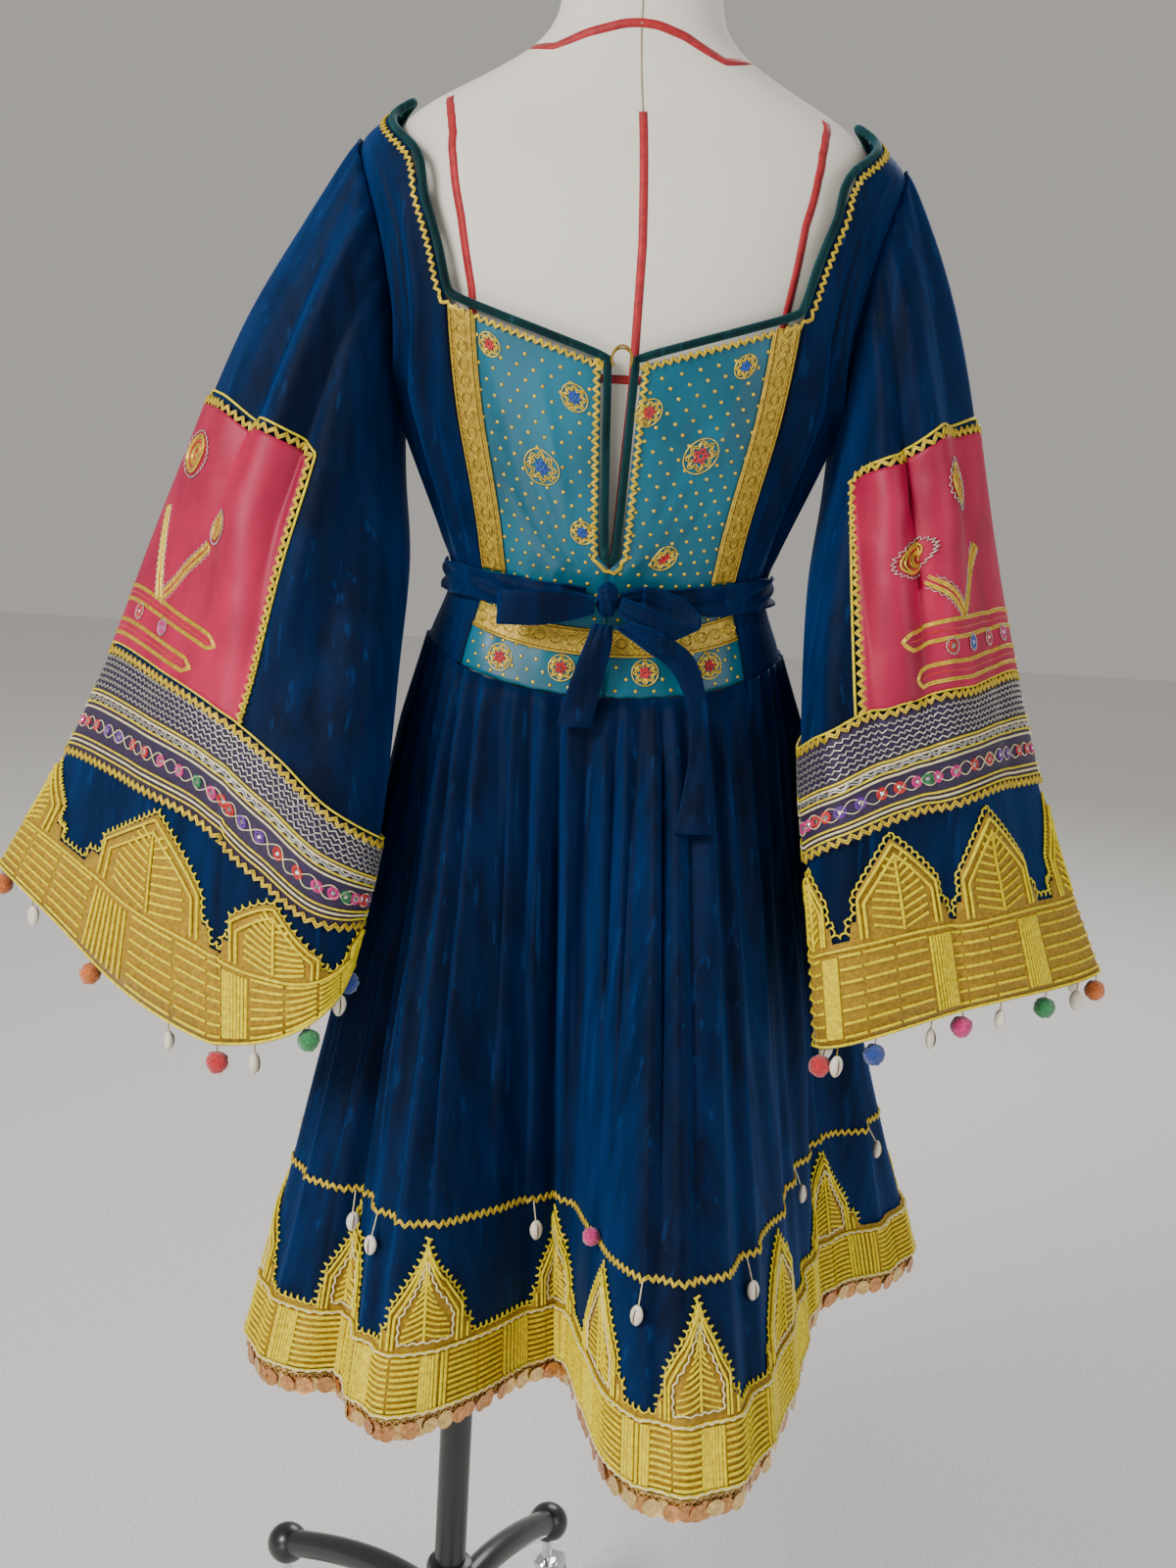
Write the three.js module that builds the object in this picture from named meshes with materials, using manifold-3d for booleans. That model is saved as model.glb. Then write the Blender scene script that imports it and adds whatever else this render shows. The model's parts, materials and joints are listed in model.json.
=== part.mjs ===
// Kuchi dress of velvet and satin on a limbless dress form with a five-arm rolling stand.
// Millimetres, +Z up. The dress's back faces -Y, and its front faces +Y.
import * as THREE from "three";
import { mergeVertices } from "three/addons/utils/BufferGeometryUtils.js";
import Module from "manifold-3d";

const wasm = await Module();
wasm.setup();

// ---------------------------------------------------------------- driving dimensions

const SEAM = 0.3; // gap left between two sewn pieces
const VELVET = 1.6; // wall of the velvet pieces
const SATIN = 1.4; // wall of the satin panels
const RIBBON = 1.0; // wall of ribbons and bands sewn on
const APPLIQUE = 3.2; // thickness of the couched cord work
const LIFT = 0.35; // clearance of a piece that lies on another

const ROUNDNESS = 2.3; // exponent of the torso's sections, 2 for an ellipse
const WAIST_Z = 1050;
const SKIRT_SEAM_BACK_Z = 980;
const SKIRT_SEAM_SIDE_Z = 1004;
const HEM_Z = 466;
const PLEATS = 40;
const PLEAT_COLUMNS = 3;
const SKIRT_COLUMNS = PLEATS * PLEAT_COLUMNS;
// First and last column of each gore of the skirt, right side seam first.
const SKIRT_GORES = { front_right: [0, 24], front_left: [24, 50], back_left: [50, 84], back_right: [84, 120] };
const SKIRT_ROWS = [0, 0.2, 0.42, 0.65, 0.86, 1]; // shares of the skirt's height
const PLEAT_DEPTH = 5;
// Where the gabled motifs stand, as shares of the way round the hem.
const HOUSES = [0.0225, 0.095, 0.165, 0.235, 0.31, 0.38, 0.4535, 0.53, 0.604, 0.68, 0.735, 0.795, 0.858, 0.935];
const HOUSE_HALF = 0.021; // half a motif's width, as a share of the way round
const BORDER = 46; // straight band of cord work at the hem
const GABLE_EAVES = 86;
const GABLE_PEAK = 126;
const TRIM = 11; // lace trim below the hem

const UNDERARM_Z = 1186;
const ARMHOLE_TOP_Z = 1362;
const ARMHOLE_TURN = 25; // degrees that the armhole bows round the back and front
const SHOULDER_NECK_Z = 1384;
const CORNER = { x: 124, z: 1252 }; // lower corner of the wide back neckline
const SLIT_TOP = { x: 14.5, z: 1217 };
const SLIT_FOOT = { x: 8.6, z: 1082 };
const FRONT_NECK_Z = 1285;
const PANEL_WAIST_X = 92; // half width of the satin back at the waist
const PANEL_FOOT_X = 104;
const RIBBON_WIDTH = 19;
const BINDING = { halfWidth: 3.6, halfThickness: 2.2 };

const POLE = { x: -86, y: 0, radius: 13.5 };
const HUB_TOP_Z = 190;
const ARM = { count: 5, firstTurn: 67, reach: 215, radius: 12.5, ball: 19, ballZ: 98 };
const CASTER = { wheelRadius: 24, wheelWidth: 15, wheelSides: 14, axleRadius: 3, trail: 14, stemRadius: 4.5 };

// Torso of the dress form: half widths and depths of its sections, from the base upwards.
const FORM_SECTIONS = [
  { z: 856, width: 118, back: 78, front: 80 },
  { z: 870, width: 132, back: 88, front: 92 },
  { z: 915, width: 137, back: 92, front: 96 },
  { z: 985, width: 126, back: 88, front: 92 },
  { z: 1050, width: 111, back: 82, front: 84 },
  { z: 1115, width: 124, back: 92, front: 98 },
  { z: 1180, width: 148, back: 104, front: 122 },
  { z: 1250, width: 165, back: 108, front: 124 },
  { z: 1310, width: 176, back: 101, front: 106 },
  { z: 1350, width: 178, back: 88, front: 88 },
  { z: 1375, width: 168, back: 72, front: 70 },
  { z: 1393, width: 146, back: 62, front: 60 },
  { z: 1414, width: 108, back: 58, front: 56 },
  { z: 1432, width: 79, back: 58, front: 56 },
  { z: 1450, width: 63, back: 58, front: 56 },
  { z: 1475, width: 57, back: 55, front: 54 },
  { z: 1512, width: 55, back: 54, front: 54 },
  { z: 1522, width: 48, back: 47, front: 47 },
];

// Inner face of the bodice, a little off the form, from the skirt seam to the shoulder.
const BODICE_SECTIONS = [
  { z: 960, width: 146, back: 108, front: 110 },
  { z: 1004, width: 133, back: 99, front: 101 },
  { z: 1050, width: 118, back: 90, front: 92 },
  { z: 1085, width: 125, back: 96, front: 101 },
  { z: 1120, width: 136, back: 104, front: 114 },
  { z: 1186, width: 161, back: 114, front: 130 },
  { z: 1250, width: 180, back: 117, front: 132 },
  { z: 1310, width: 193, back: 109, front: 114 },
  { z: 1350, width: 198, back: 97, front: 98 },
  { z: 1363, width: 194, back: 88, front: 87 },
  { z: 1375, width: 182, back: 79, front: 77 },
  { z: 1384, width: 171, back: 74, front: 72 },
  { z: 1392, width: 159, back: 70, front: 68 },
];

// Hem in plan: where each crest and valley of the skirt's folds meets the waist (turn,
// degrees counter-clockwise from +X) and where it hangs.
const HEM_FOLDS = [
  { turn: 0, x: 300, y: 104 },
  { turn: 9, x: 262, y: 150 },
  { turn: 19, x: 214, y: 142 },
  { turn: 32, x: 186, y: 192 },
  { turn: 48, x: 128, y: 228 },
  { turn: 62, x: 74, y: 186 },
  { turn: 78, x: 22, y: 206 },
  { turn: 93, x: -34, y: 252 },
  { turn: 108, x: -88, y: 228 },
  { turn: 122, x: -126, y: 172 },
  { turn: 137, x: -186, y: 186 },
  { turn: 152, x: -236, y: 150 },
  { turn: 165, x: -228, y: 84 },
  { turn: 177, x: -236, y: 20 },
  { turn: 188, x: -240, y: -52 },
  { turn: 198, x: -236, y: -134 },
  { turn: 207, x: -204, y: -172 },
  { turn: 215, x: -164, y: -172 },
  { turn: 222, x: -150, y: -206 },
  { turn: 230, x: -118, y: -230 },
  { turn: 242, x: -70, y: -196 },
  { turn: 254, x: -26, y: -142 },
  { turn: 264, x: 4, y: -134 },
  { turn: 272, x: 22, y: -204 },
  { turn: 279, x: 42, y: -278 },
  { turn: 287, x: 80, y: -306 },
  { turn: 296, x: 122, y: -288 },
  { turn: 307, x: 156, y: -214 },
  { turn: 318, x: 180, y: -126 },
  { turn: 329, x: 196, y: -42 },
  { turn: 338, x: 222, y: 12 },
  { turn: 349, x: 276, y: 50 },
];

// Four lines along each sleeve, from the armhole to the cuff: over the arm (outer), under it
// (inner), and down the back and the front.
const SLEEVE_LINES = {
  left: [
    { at: 0.0, outer: [-198, 0, 1366], back: [-178, -62, 1276], inner: [-163, 0, 1186], front: [-178, 62, 1276] },
    { at: 0.14, outer: [-232, -4, 1300], back: [-198, -80, 1205], inner: [-158, -20, 1122], front: [-196, 66, 1205] },
    { at: 0.3, outer: [-275, -6, 1225], back: [-215, -97, 1130], inner: [-150, -48, 1060], front: [-208, 62, 1130] },
    { at: 0.46, outer: [-312, -6, 1145], back: [-232, -110, 1062], inner: [-150, -92, 990], front: [-230, 55, 1050] },
    { at: 0.62, outer: [-346, -4, 1058], back: [-248, -122, 985], inner: [-152, -118, 915], front: [-256, 48, 968] },
    { at: 0.76, outer: [-378, -2, 970], back: [-262, -136, 922], inner: [-156, -132, 862], front: [-284, 50, 890] },
    { at: 0.88, outer: [-416, 0, 884], back: [-266, -150, 838], inner: [-163, -138, 820], front: [-308, 55, 825] },
    { at: 1.0, outer: [-466, 0, 792], back: [-262, -165, 716], inner: [-172, -136, 775], front: [-340, 60, 757] },
  ],
  right: [
    { at: 0.0, outer: [198, 0, 1366], back: [178, -62, 1276], inner: [163, 0, 1186], front: [178, 62, 1276] },
    { at: 0.14, outer: [224, -4, 1300], back: [190, -80, 1205], inner: [158, -20, 1122], front: [192, 66, 1205] },
    { at: 0.3, outer: [249, -6, 1225], back: [201, -94, 1130], inner: [150, -48, 1060], front: [201, 62, 1130] },
    { at: 0.46, outer: [275, -6, 1140], back: [212, -104, 1062], inner: [149, -78, 985], front: [213, 58, 1045] },
    { at: 0.62, outer: [300, -6, 1045], back: [226, -112, 982], inner: [152, -98, 922], front: [229, 58, 960] },
    { at: 0.76, outer: [328, -6, 955], back: [244, -112, 918], inner: [157, -112, 878], front: [249, 60, 880] },
    { at: 0.88, outer: [361, -8, 860], back: [264, -110, 846], inner: [165, -122, 824], front: [272, 62, 815] },
    { at: 1.0, outer: [405, -10, 760], back: [287, -98, 756], inner: [176, -132, 730], front: [300, 66, 752] },
  ],
};
const SLEEVE_COLUMNS = 32;
const SLEEVE_ROWS = [0, 0.13, 0.27, 0.42, 0.58, 0.74, 0.862, 0.932, 1]; // shares of the length
const PANEL_ROWS = [0.42, 0.58, 0.734];
const BAND_ROWS = SLEEVE_ROWS.slice(5, 7);
const PANEL_TURN = { left: 91, right: 125 }; // reach of the sleeve panel to each side of the outer line
const TRIM_ROWS = { panel: 0.42, band: 0.74, foot: 0.862 }; // the same rows before they slant round the arm
// Where those rows lie on each sleeve, by degrees either way from the line over the arm.
const SLEEVE_TRIMS = {
  left: [
    { from: 0, panel: 0.43, band: 0.752, foot: 0.872 },
    { from: 46, panel: 0.369, band: 0.731, foot: 0.85 },
    { from: 76, panel: 0.3, band: 0.712, foot: 0.838 },
    { from: 112, panel: 0.27, band: 0.714, foot: 0.862 },
    { from: 136, panel: 0.27, band: 0.738, foot: 0.894 },
    { from: 180, panel: 0.27, band: 0.744, foot: 0.912 },
  ],
  right: [
    { from: 0, panel: 0.41, band: 0.7, foot: 0.815 },
    { from: 22, panel: 0.375, band: 0.685, foot: 0.808 },
    { from: 54, panel: 0.305, band: 0.656, foot: 0.789 },
    { from: 74, panel: 0.269, band: 0.618, foot: 0.779 },
    { from: 110, panel: 0.196, band: 0.585, foot: 0.763 },
    { from: 134, panel: 0.18, band: 0.553, foot: 0.764 },
    { from: 180, panel: 0.18, band: 0.56, foot: 0.788 },
  ],
};
const CUFF = { houses: 6, band: 0.938, eaves: 0.915, peak: 0.875, sharpness: 1.5 };
const CAP_GATHERS = 7;

const COLOURS = {
  velvet: [0x0c2f5e, 0.75, 0],
  satin: [0x0f5a6b, 0.4, 0],
  pink: [0xb81650, 0.45, 0],
  gold: [0xc9a227, 0.45, 0.3],
  cord: [0xd8b80a, 0.6, 0],
  braid: [0xc9cbd0, 0.4, 0.3],
  binding: [0x12484c, 0.7, 0],
  linen: [0xe9e4d6, 0.85, 0],
  black: [0x16171a, 0.4, 0.2],
  steel: [0xd0d3d6, 0.2, 1],
  rubber: [0x101010, 0.8, 0],
  drops: [0xc2185b, 0.9, 0],
};

// ---------------------------------------------------------------- curves and surfaces

const radians = THREE.MathUtils.degToRad;
const vector = (x, y, z) => new THREE.Vector3(x, y, z);
const mix = THREE.MathUtils.lerp;

/** Value of a table's column at a key, on a smooth curve through its rows. */
function smooth(rows, keyName, column, key) {
  let i = rows.findIndex((row) => row[keyName] > key) - 1;
  if (i < 0) i = key < rows[0][keyName] ? 0 : rows.length - 2;
  const keyAt = (k) => rows[THREE.MathUtils.clamp(k, 0, rows.length - 1)][keyName];
  const valueAt = (k) => column(rows[THREE.MathUtils.clamp(k, 0, rows.length - 1)]);
  const slope = (k) => (valueAt(k + 1) - valueAt(k - 1)) / (keyAt(k + 1) - keyAt(k - 1));
  const span = keyAt(i + 1) - keyAt(i);
  const t = THREE.MathUtils.clamp((key - keyAt(i)) / span, 0, 1);
  const h = t * t * (3 - 2 * t);
  const tangents = slope(i) * (1 - t) * (1 - t) * t - slope(i + 1) * (1 - t) * t * t;
  return valueAt(i) * (1 - h) + valueAt(i + 1) * h + span * tangents;
}

/** Point of a stack of rounded sections, at a turn in degrees and a height. */
function sectionPoint(sections, turn, z) {
  const c = Math.cos(radians(turn));
  const s = Math.sin(radians(turn));
  const power = 2 / ROUNDNESS;
  const width = smooth(sections, "z", (row) => row.width, z);
  const depth = smooth(sections, "z", (row) => (s < 0 ? row.back : row.front), z);
  const x = Math.sign(c) * width * Math.abs(c) ** power;
  const y = Math.sign(s) * depth * Math.abs(s) ** power;
  return vector(x, y, z);
}

/** Turn at which the bodice's back stands at a given x, right side (x > 0). */
function backTurn(x, z) {
  const width = smooth(BODICE_SECTIONS, "z", (row) => row.width, z);
  return 360 - THREE.MathUtils.radToDeg(Math.acos((x / width) ** (ROUNDNESS / 2)));
}

/** Normals of a grid of points, outwards where columns run counter-clockwise and rows up. */
function gridNormals(grid, closed) {
  const last = grid[0].length - 1;
  const top = grid.length - 1;
  return grid.map((row, r) =>
    row.map((_, c) => {
      const before = closed ? row[(c + last) % (last + 1)] : row[Math.max(c - 1, 0)];
      const after = closed ? row[(c + 1) % (last + 1)] : row[Math.min(c + 1, last)];
      const across = after.clone().sub(before);
      const up = grid[Math.min(r + 1, top)][c].clone().sub(grid[Math.max(r - 1, 0)][c]);
      return across.cross(up).normalize();
    }),
  );
}

/** The grid's points moved out along their normals. */
function moved(grid, normals, distance) {
  return grid.map((row, r) => row.map((p, c) => p.clone().addScaledVector(normals[r][c], distance)));
}

/** Closed solid between two grids of points, the first inside the second. */
function shell(inner, outer, closed) {
  const rows = inner.length;
  const columns = inner[0].length;
  const positions = [...inner.flat(), ...outer.flat()].flatMap((p) => [p.x, p.y, p.z]);
  const inside = (r, c) => r * columns + (c % columns);
  const outside = (r, c) => rows * columns + r * columns + (c % columns);
  const index = [];
  const quad = (a, b, c, d) => index.push(a, b, c, a, c, d);
  const spans = closed ? columns : columns - 1;
  for (let c = 0; c < spans; c++) {
    for (let r = 0; r < rows - 1; r++) {
      quad(outside(r, c), outside(r, c + 1), outside(r + 1, c + 1), outside(r + 1, c));
      quad(inside(r, c), inside(r + 1, c), inside(r + 1, c + 1), inside(r, c + 1));
    }
    quad(inside(0, c), inside(0, c + 1), outside(0, c + 1), outside(0, c));
    quad(inside(rows - 1, c), outside(rows - 1, c), outside(rows - 1, c + 1), inside(rows - 1, c + 1));
  }
  if (!closed)
    for (let r = 0; r < rows - 1; r++) {
      quad(inside(r, 0), outside(r, 0), outside(r + 1, 0), inside(r + 1, 0));
      quad(inside(r, columns - 1), inside(r + 1, columns - 1), outside(r + 1, columns - 1), outside(r, columns - 1));
    }
  const geometry = new THREE.BufferGeometry();
  geometry.setAttribute("position", new THREE.Float32BufferAttribute(positions, 3));
  geometry.setIndex(index);
  return geometry;
}

/** Cloth wall on a grid of points, lifted off it, of a given thickness. */
function wall(grid, thickness, { lift = 0, closed = false } = {}) {
  const normals = gridNormals(grid, closed);
  return shell(moved(grid, normals, lift), moved(grid, normals, lift + thickness), closed);
}

/** Tube or ribbon with an oval section along a line of points that carry side and out axes. */
function oval(stations, halfWidth, halfThickness, sides, closed) {
  const rings = stations.map(({ at, side, out }) =>
    Array.from({ length: sides }, (_, k) => {
      const angle = (2 * Math.PI * (k + 0.5)) / sides;
      return at
        .clone()
        .addScaledVector(side, halfWidth * Math.cos(angle))
        .addScaledVector(out, halfThickness * Math.sin(angle));
    }),
  );
  const positions = rings.flat().flatMap((p) => [p.x, p.y, p.z]);
  const index = [];
  const count = rings.length;
  const at = (r, k) => (r % count) * sides + (k % sides);
  for (let r = 0; r < (closed ? count : count - 1); r++)
    for (let k = 0; k < sides; k++)
      index.push(at(r, k), at(r, k + 1), at(r + 1, k + 1), at(r, k), at(r + 1, k + 1), at(r + 1, k));
  if (!closed)
    for (let k = 1; k < sides - 1; k++) {
      index.push(at(0, 0), at(0, k + 1), at(0, k));
      index.push(at(count - 1, 0), at(count - 1, k), at(count - 1, k + 1));
    }
  const geometry = new THREE.BufferGeometry();
  geometry.setAttribute("position", new THREE.Float32BufferAttribute(positions, 3));
  geometry.setIndex(index);
  return geometry;
}

// ---------------------------------------------------------------- solids and meshes

/** A closed geometry as a solid, turned right side out. */
function solidOf(geometry) {
  const plain = geometry.clone();
  plain.deleteAttribute("normal");
  plain.deleteAttribute("uv");
  const merged = mergeVertices(plain, 1e-4);
  const build = (triangles) =>
    new wasm.Manifold(
      new wasm.Mesh({
        numProp: 3,
        vertProperties: new Float32Array(merged.attributes.position.array),
        triVerts: new Uint32Array(triangles),
      }),
    );
  const triangles = Array.from(merged.index.array);
  const solid = build(triangles);
  return solid.volume() > 0 ? solid : build(triangles.reverse());
}

/** Geometry of a solid. */
function geometryOf(solid) {
  const mesh = solid.getMesh();
  const positions = [];
  for (let i = 0; i < mesh.numVert; i++)
    positions.push(...mesh.vertProperties.slice(i * mesh.numProp, i * mesh.numProp + 3));
  const geometry = new THREE.BufferGeometry();
  geometry.setAttribute("position", new THREE.Float32BufferAttribute(positions, 3));
  geometry.setIndex(Array.from(mesh.triVerts));
  return geometry;
}

/** One solid joined from several closed geometries. */
function joined(geometries) {
  const [first, ...rest] = geometries.map(solidOf);
  return geometryOf(rest.reduce((sum, solid) => sum.add(solid), first));
}

const dress = new THREE.Group();

/** Adds a named mesh with one of the part's finishes. */
function add(name, geometry, finish) {
  const [color, roughness, metalness] = COLOURS[finish];
  const facing = geometryOf(solidOf(geometry));
  facing.computeVertexNormals();
  const mesh = new THREE.Mesh(facing, new THREE.MeshStandardMaterial({ color, roughness, metalness }));
  mesh.name = name;
  dress.add(mesh);
  return mesh;
}

/** Cylinder with its axis along Z, from one height to another. */
function post(radius, low, high, x = 0, y = 0, sides = 20) {
  const geometry = new THREE.CylinderGeometry(radius, radius, high - low, sides);
  return geometry.rotateX(Math.PI / 2).translate(x, y, (low + high) / 2);
}

// ---------------------------------------------------------------- dress form and stand

/** Smooth torso with a neck, closed at the base and at the neck's cap. */
function formTorso() {
  const columns = 20;
  const rings = [];
  for (let i = 0; i < FORM_SECTIONS.length; i++) {
    const { z } = FORM_SECTIONS[i];
    rings.push(Array.from({ length: columns }, (_, c) => sectionPoint(FORM_SECTIONS, (360 * c) / columns, z)));
  }
  const positions = [...rings.flat(), vector(0, 0, rings[0][0].z), vector(0, 0, rings.at(-1)[0].z + 3)];
  const foot = rings.length * columns;
  const index = [];
  const at = (r, c) => r * columns + (c % columns);
  for (let c = 0; c < columns; c++) {
    for (let r = 0; r < rings.length - 1; r++) {
      index.push(at(r, c), at(r, c + 1), at(r + 1, c + 1), at(r, c), at(r + 1, c + 1), at(r + 1, c));
    }
    index.push(foot, at(0, c + 1), at(0, c));
    index.push(foot + 1, at(rings.length - 1, c), at(rings.length - 1, c + 1));
  }
  const geometry = new THREE.BufferGeometry();
  const flat = positions.flatMap((p) => [p.x, p.y, p.z]);
  geometry.setAttribute("position", new THREE.Float32BufferAttribute(flat, 3));
  geometry.setIndex(index);
  add("form_torso", geometry, "linen");
}

/** Pole, hub and five arms with ball ends, each arm over a swivelling caster. */
function stand() {
  const formBase = FORM_SECTIONS[0].z;
  add("pole", post(POLE.radius, HUB_TOP_Z + SEAM, formBase - SEAM, POLE.x, POLE.y, 24), "black");
  const hubRadius = 27;
  const hubFoot = 128;
  const hub = joined([
    post(hubRadius, hubFoot, HUB_TOP_Z - 22, POLE.x, POLE.y, 20),
    post(20, HUB_TOP_Z - 40, HUB_TOP_Z, POLE.x, POLE.y, 20),
  ]);
  add("base_hub", hub, "black");
  for (let k = 0; k < ARM.count; k++) arm(k, hubRadius, hubFoot);
}

/** One arm of the base with its caster, numbered from 1. */
function arm(k, hubRadius, hubFoot) {
  const turn = ARM.firstTurn + (360 / ARM.count) * k;
  const placed = (geometry) => geometry.rotateZ(radians(turn)).translate(POLE.x, POLE.y, 0);
  const rise = hubFoot + 16 - ARM.ballZ;
  const path = new THREE.QuadraticBezierCurve3(
    vector(hubRadius + SEAM + 1, 0, ARM.ballZ + rise),
    vector(hubRadius + 70, 0, ARM.ballZ + rise + 6),
    vector(ARM.reach, 0, ARM.ballZ),
  );
  const section = new THREE.Shape().absarc(0, 0, ARM.radius, 0, 2 * Math.PI);
  const bar = new THREE.ExtrudeGeometry(section, { extrudePath: path, steps: 4, curveSegments: 4 });
  const ball = new THREE.SphereGeometry(ARM.ball, 8, 5).rotateX(Math.PI / 2).translate(ARM.reach, 0, ARM.ballZ);
  add(`base_arm_${k + 1}`, placed(joined([bar, ball])), "black");

  const cheekX = ARM.reach + CASTER.trail;
  const stemTop = ARM.ballZ - ARM.ball - SEAM;
  const hoodZ = 2 * CASTER.wheelRadius + 2;
  const cheekY = CASTER.wheelWidth / 2 + 2.4;
  const box = (w, d, h, x, y, z) => new THREE.BoxGeometry(w, d, h).translate(x, y, z);
  const fork = joined([
    post(CASTER.stemRadius, hoodZ, stemTop, ARM.reach, 0, 8),
    post(9, hoodZ, hoodZ + 7, ARM.reach, 0, 10),
    box(30, 2 * cheekY + 2.4, 3, ARM.reach + 8, 0, hoodZ + 1.5),
    ...[-1, 1].map((side) =>
      box(13, 2.4, hoodZ - CASTER.wheelRadius + 7, cheekX, side * cheekY, (hoodZ + CASTER.wheelRadius - 3) / 2),
    ),
    new THREE.CylinderGeometry(CASTER.axleRadius, CASTER.axleRadius, 2 * cheekY + 2, 8).translate(cheekX, 0, CASTER.wheelRadius),
  ]);
  add(`caster_fork_${k + 1}`, placed(fork), "steel");

  const half = CASTER.wheelWidth / 2;
  const bore = CASTER.axleRadius + SEAM;
  const halfStep = Math.PI / CASTER.wheelSides;
  const tread = CASTER.wheelRadius / Math.cos(halfStep);
  const profile = [
    [bore, -half],
    [tread - 3, -half],
    [tread, -half + 3],
    [tread, half - 3],
    [tread - 3, half],
    [bore, half],
    [bore, -half],
  ].map(([r, y]) => new THREE.Vector2(r, y));
  const wheel = new THREE.LatheGeometry(profile, CASTER.wheelSides).rotateY(halfStep);
  wheel.translate(cheekX, 0, CASTER.wheelRadius);
  add(`caster_wheel_${k + 1}`, placed(wheel), "rubber");
}

// ---------------------------------------------------------------- bodice

/** Mirrors a right-hand turn to the wearer's other side. */
const sided = (side, turn) => (side > 0 ? turn : 540 - turn);

/** A piece of the bodice: rows of columns between an inner and an outer edge line. */
function bodiceGrid(side, inner, outer, rows, columns, { ease = () => 0, sewn = false, from = 0 } = {}) {
  const grid = [];
  const foot = [inner(0), outer(0)];
  for (let r = 0; r <= rows; r++) {
    const q = mix(from, 1, r / rows);
    const a = inner(q);
    const b = outer(q);
    const row = [];
    for (let c = 0; c <= columns; c++) {
      const across = c / columns;
      const turn = mix(a.turn, b.turn, across);
      const seamTurn = mix(foot[0].turn, foot[1].turn, across);
      const settle = sewn ? (seamZ(seamTurn) - mix(foot[0].z, foot[1].z, across)) * (1 - q) ** 3 : 0;
      const p = sectionPoint(BODICE_SECTIONS, sided(side, turn), mix(a.z, b.z, across) + settle);
      const outwards = vector(p.x, p.y, 0).normalize();
      row.push(p.addScaledVector(outwards, ease(across, q)));
    }
    grid.push(side > 0 ? row : row.reverse());
  }
  return grid;
}

/** Place along a line of knots, each with its share of the way. */
function along(knots, share) {
  const i = Math.min(Math.max(knots.findIndex((k) => k.at > share) - 1, 0), knots.length - 2);
  const j = share >= knots.at(-1).at ? knots.length - 2 : i;
  const t = THREE.MathUtils.clamp((share - knots[j].at) / (knots[j + 1].at - knots[j].at), 0, 1);
  return { turn: mix(knots[j].turn, knots[j + 1].turn, t), z: mix(knots[j].z, knots[j + 1].z, t) };
}

/** Height of the seam between the bodice and the skirt at a turn. */
function seamZ(turn) {
  const c = Math.cos(radians(turn));
  return mix(SKIRT_SEAM_BACK_Z, SKIRT_SEAM_SIDE_Z, c * c);
}

const knot = (at, x, z) => ({ at, turn: backTurn(x, z), z });

// Outer edge of the satin back, from the skirt seam to the neckline's corner.
const PANEL_SIDE = [
  knot(0, PANEL_FOOT_X, seamZ(backTurn(PANEL_FOOT_X, 995))),
  knot(0.28, PANEL_WAIST_X, WAIST_Z),
  knot(0.42, PANEL_WAIST_X + 4, 1090),
  knot(1, CORNER.x, CORNER.z),
];
// Its centre edge: seam, slit foot and slit top.
const PANEL_CENTRE = [
  knot(0, SEAM / 2, SKIRT_SEAM_BACK_Z),
  knot(0.38, SEAM / 2, SLIT_FOOT.z - 9.5),
  knot(0.44, SLIT_FOOT.x, SLIT_FOOT.z),
  knot(1, SLIT_TOP.x, SLIT_TOP.z),
];

/** The armhole's back edge: 0 at the underarm, 1 at the shoulder. */
function armholeKnot(share) {
  const angle = Math.PI * share;
  const mid = (UNDERARM_Z + ARMHOLE_TOP_Z) / 2;
  const half = (ARMHOLE_TOP_Z - UNDERARM_Z) / 2;
  return { turn: ARMHOLE_TURN * Math.sin(angle), z: mid - half * Math.cos(angle) };
}

const SIDE_SPLIT = 0.52; // share of a side piece's rows that lie below the underarm

/** Side seam and armhole edge, for the back (toward 360 degrees) or the front. */
function sideEdge(toBack, footZ) {
  return (share) => {
    if (share < SIDE_SPLIT) return { turn: toBack ? 360 : 0, z: mix(footZ, UNDERARM_Z, share / SIDE_SPLIT) };
    const { turn, z } = armholeKnot((share - SIDE_SPLIT) / (1 - SIDE_SPLIT));
    return { turn: toBack ? 360 - turn : turn, z };
  };
}

/** Loose vertical folds of the velvet beside the armhole. */
function sideFolds(across, up) {
  const reach = THREE.MathUtils.smoothstep(up, 0.16, 0.4) * (1 - up) * Math.sin(Math.PI * across);
  return 7 * reach * (0.5 - 0.5 * Math.cos(4 * Math.PI * across));
}

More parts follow.
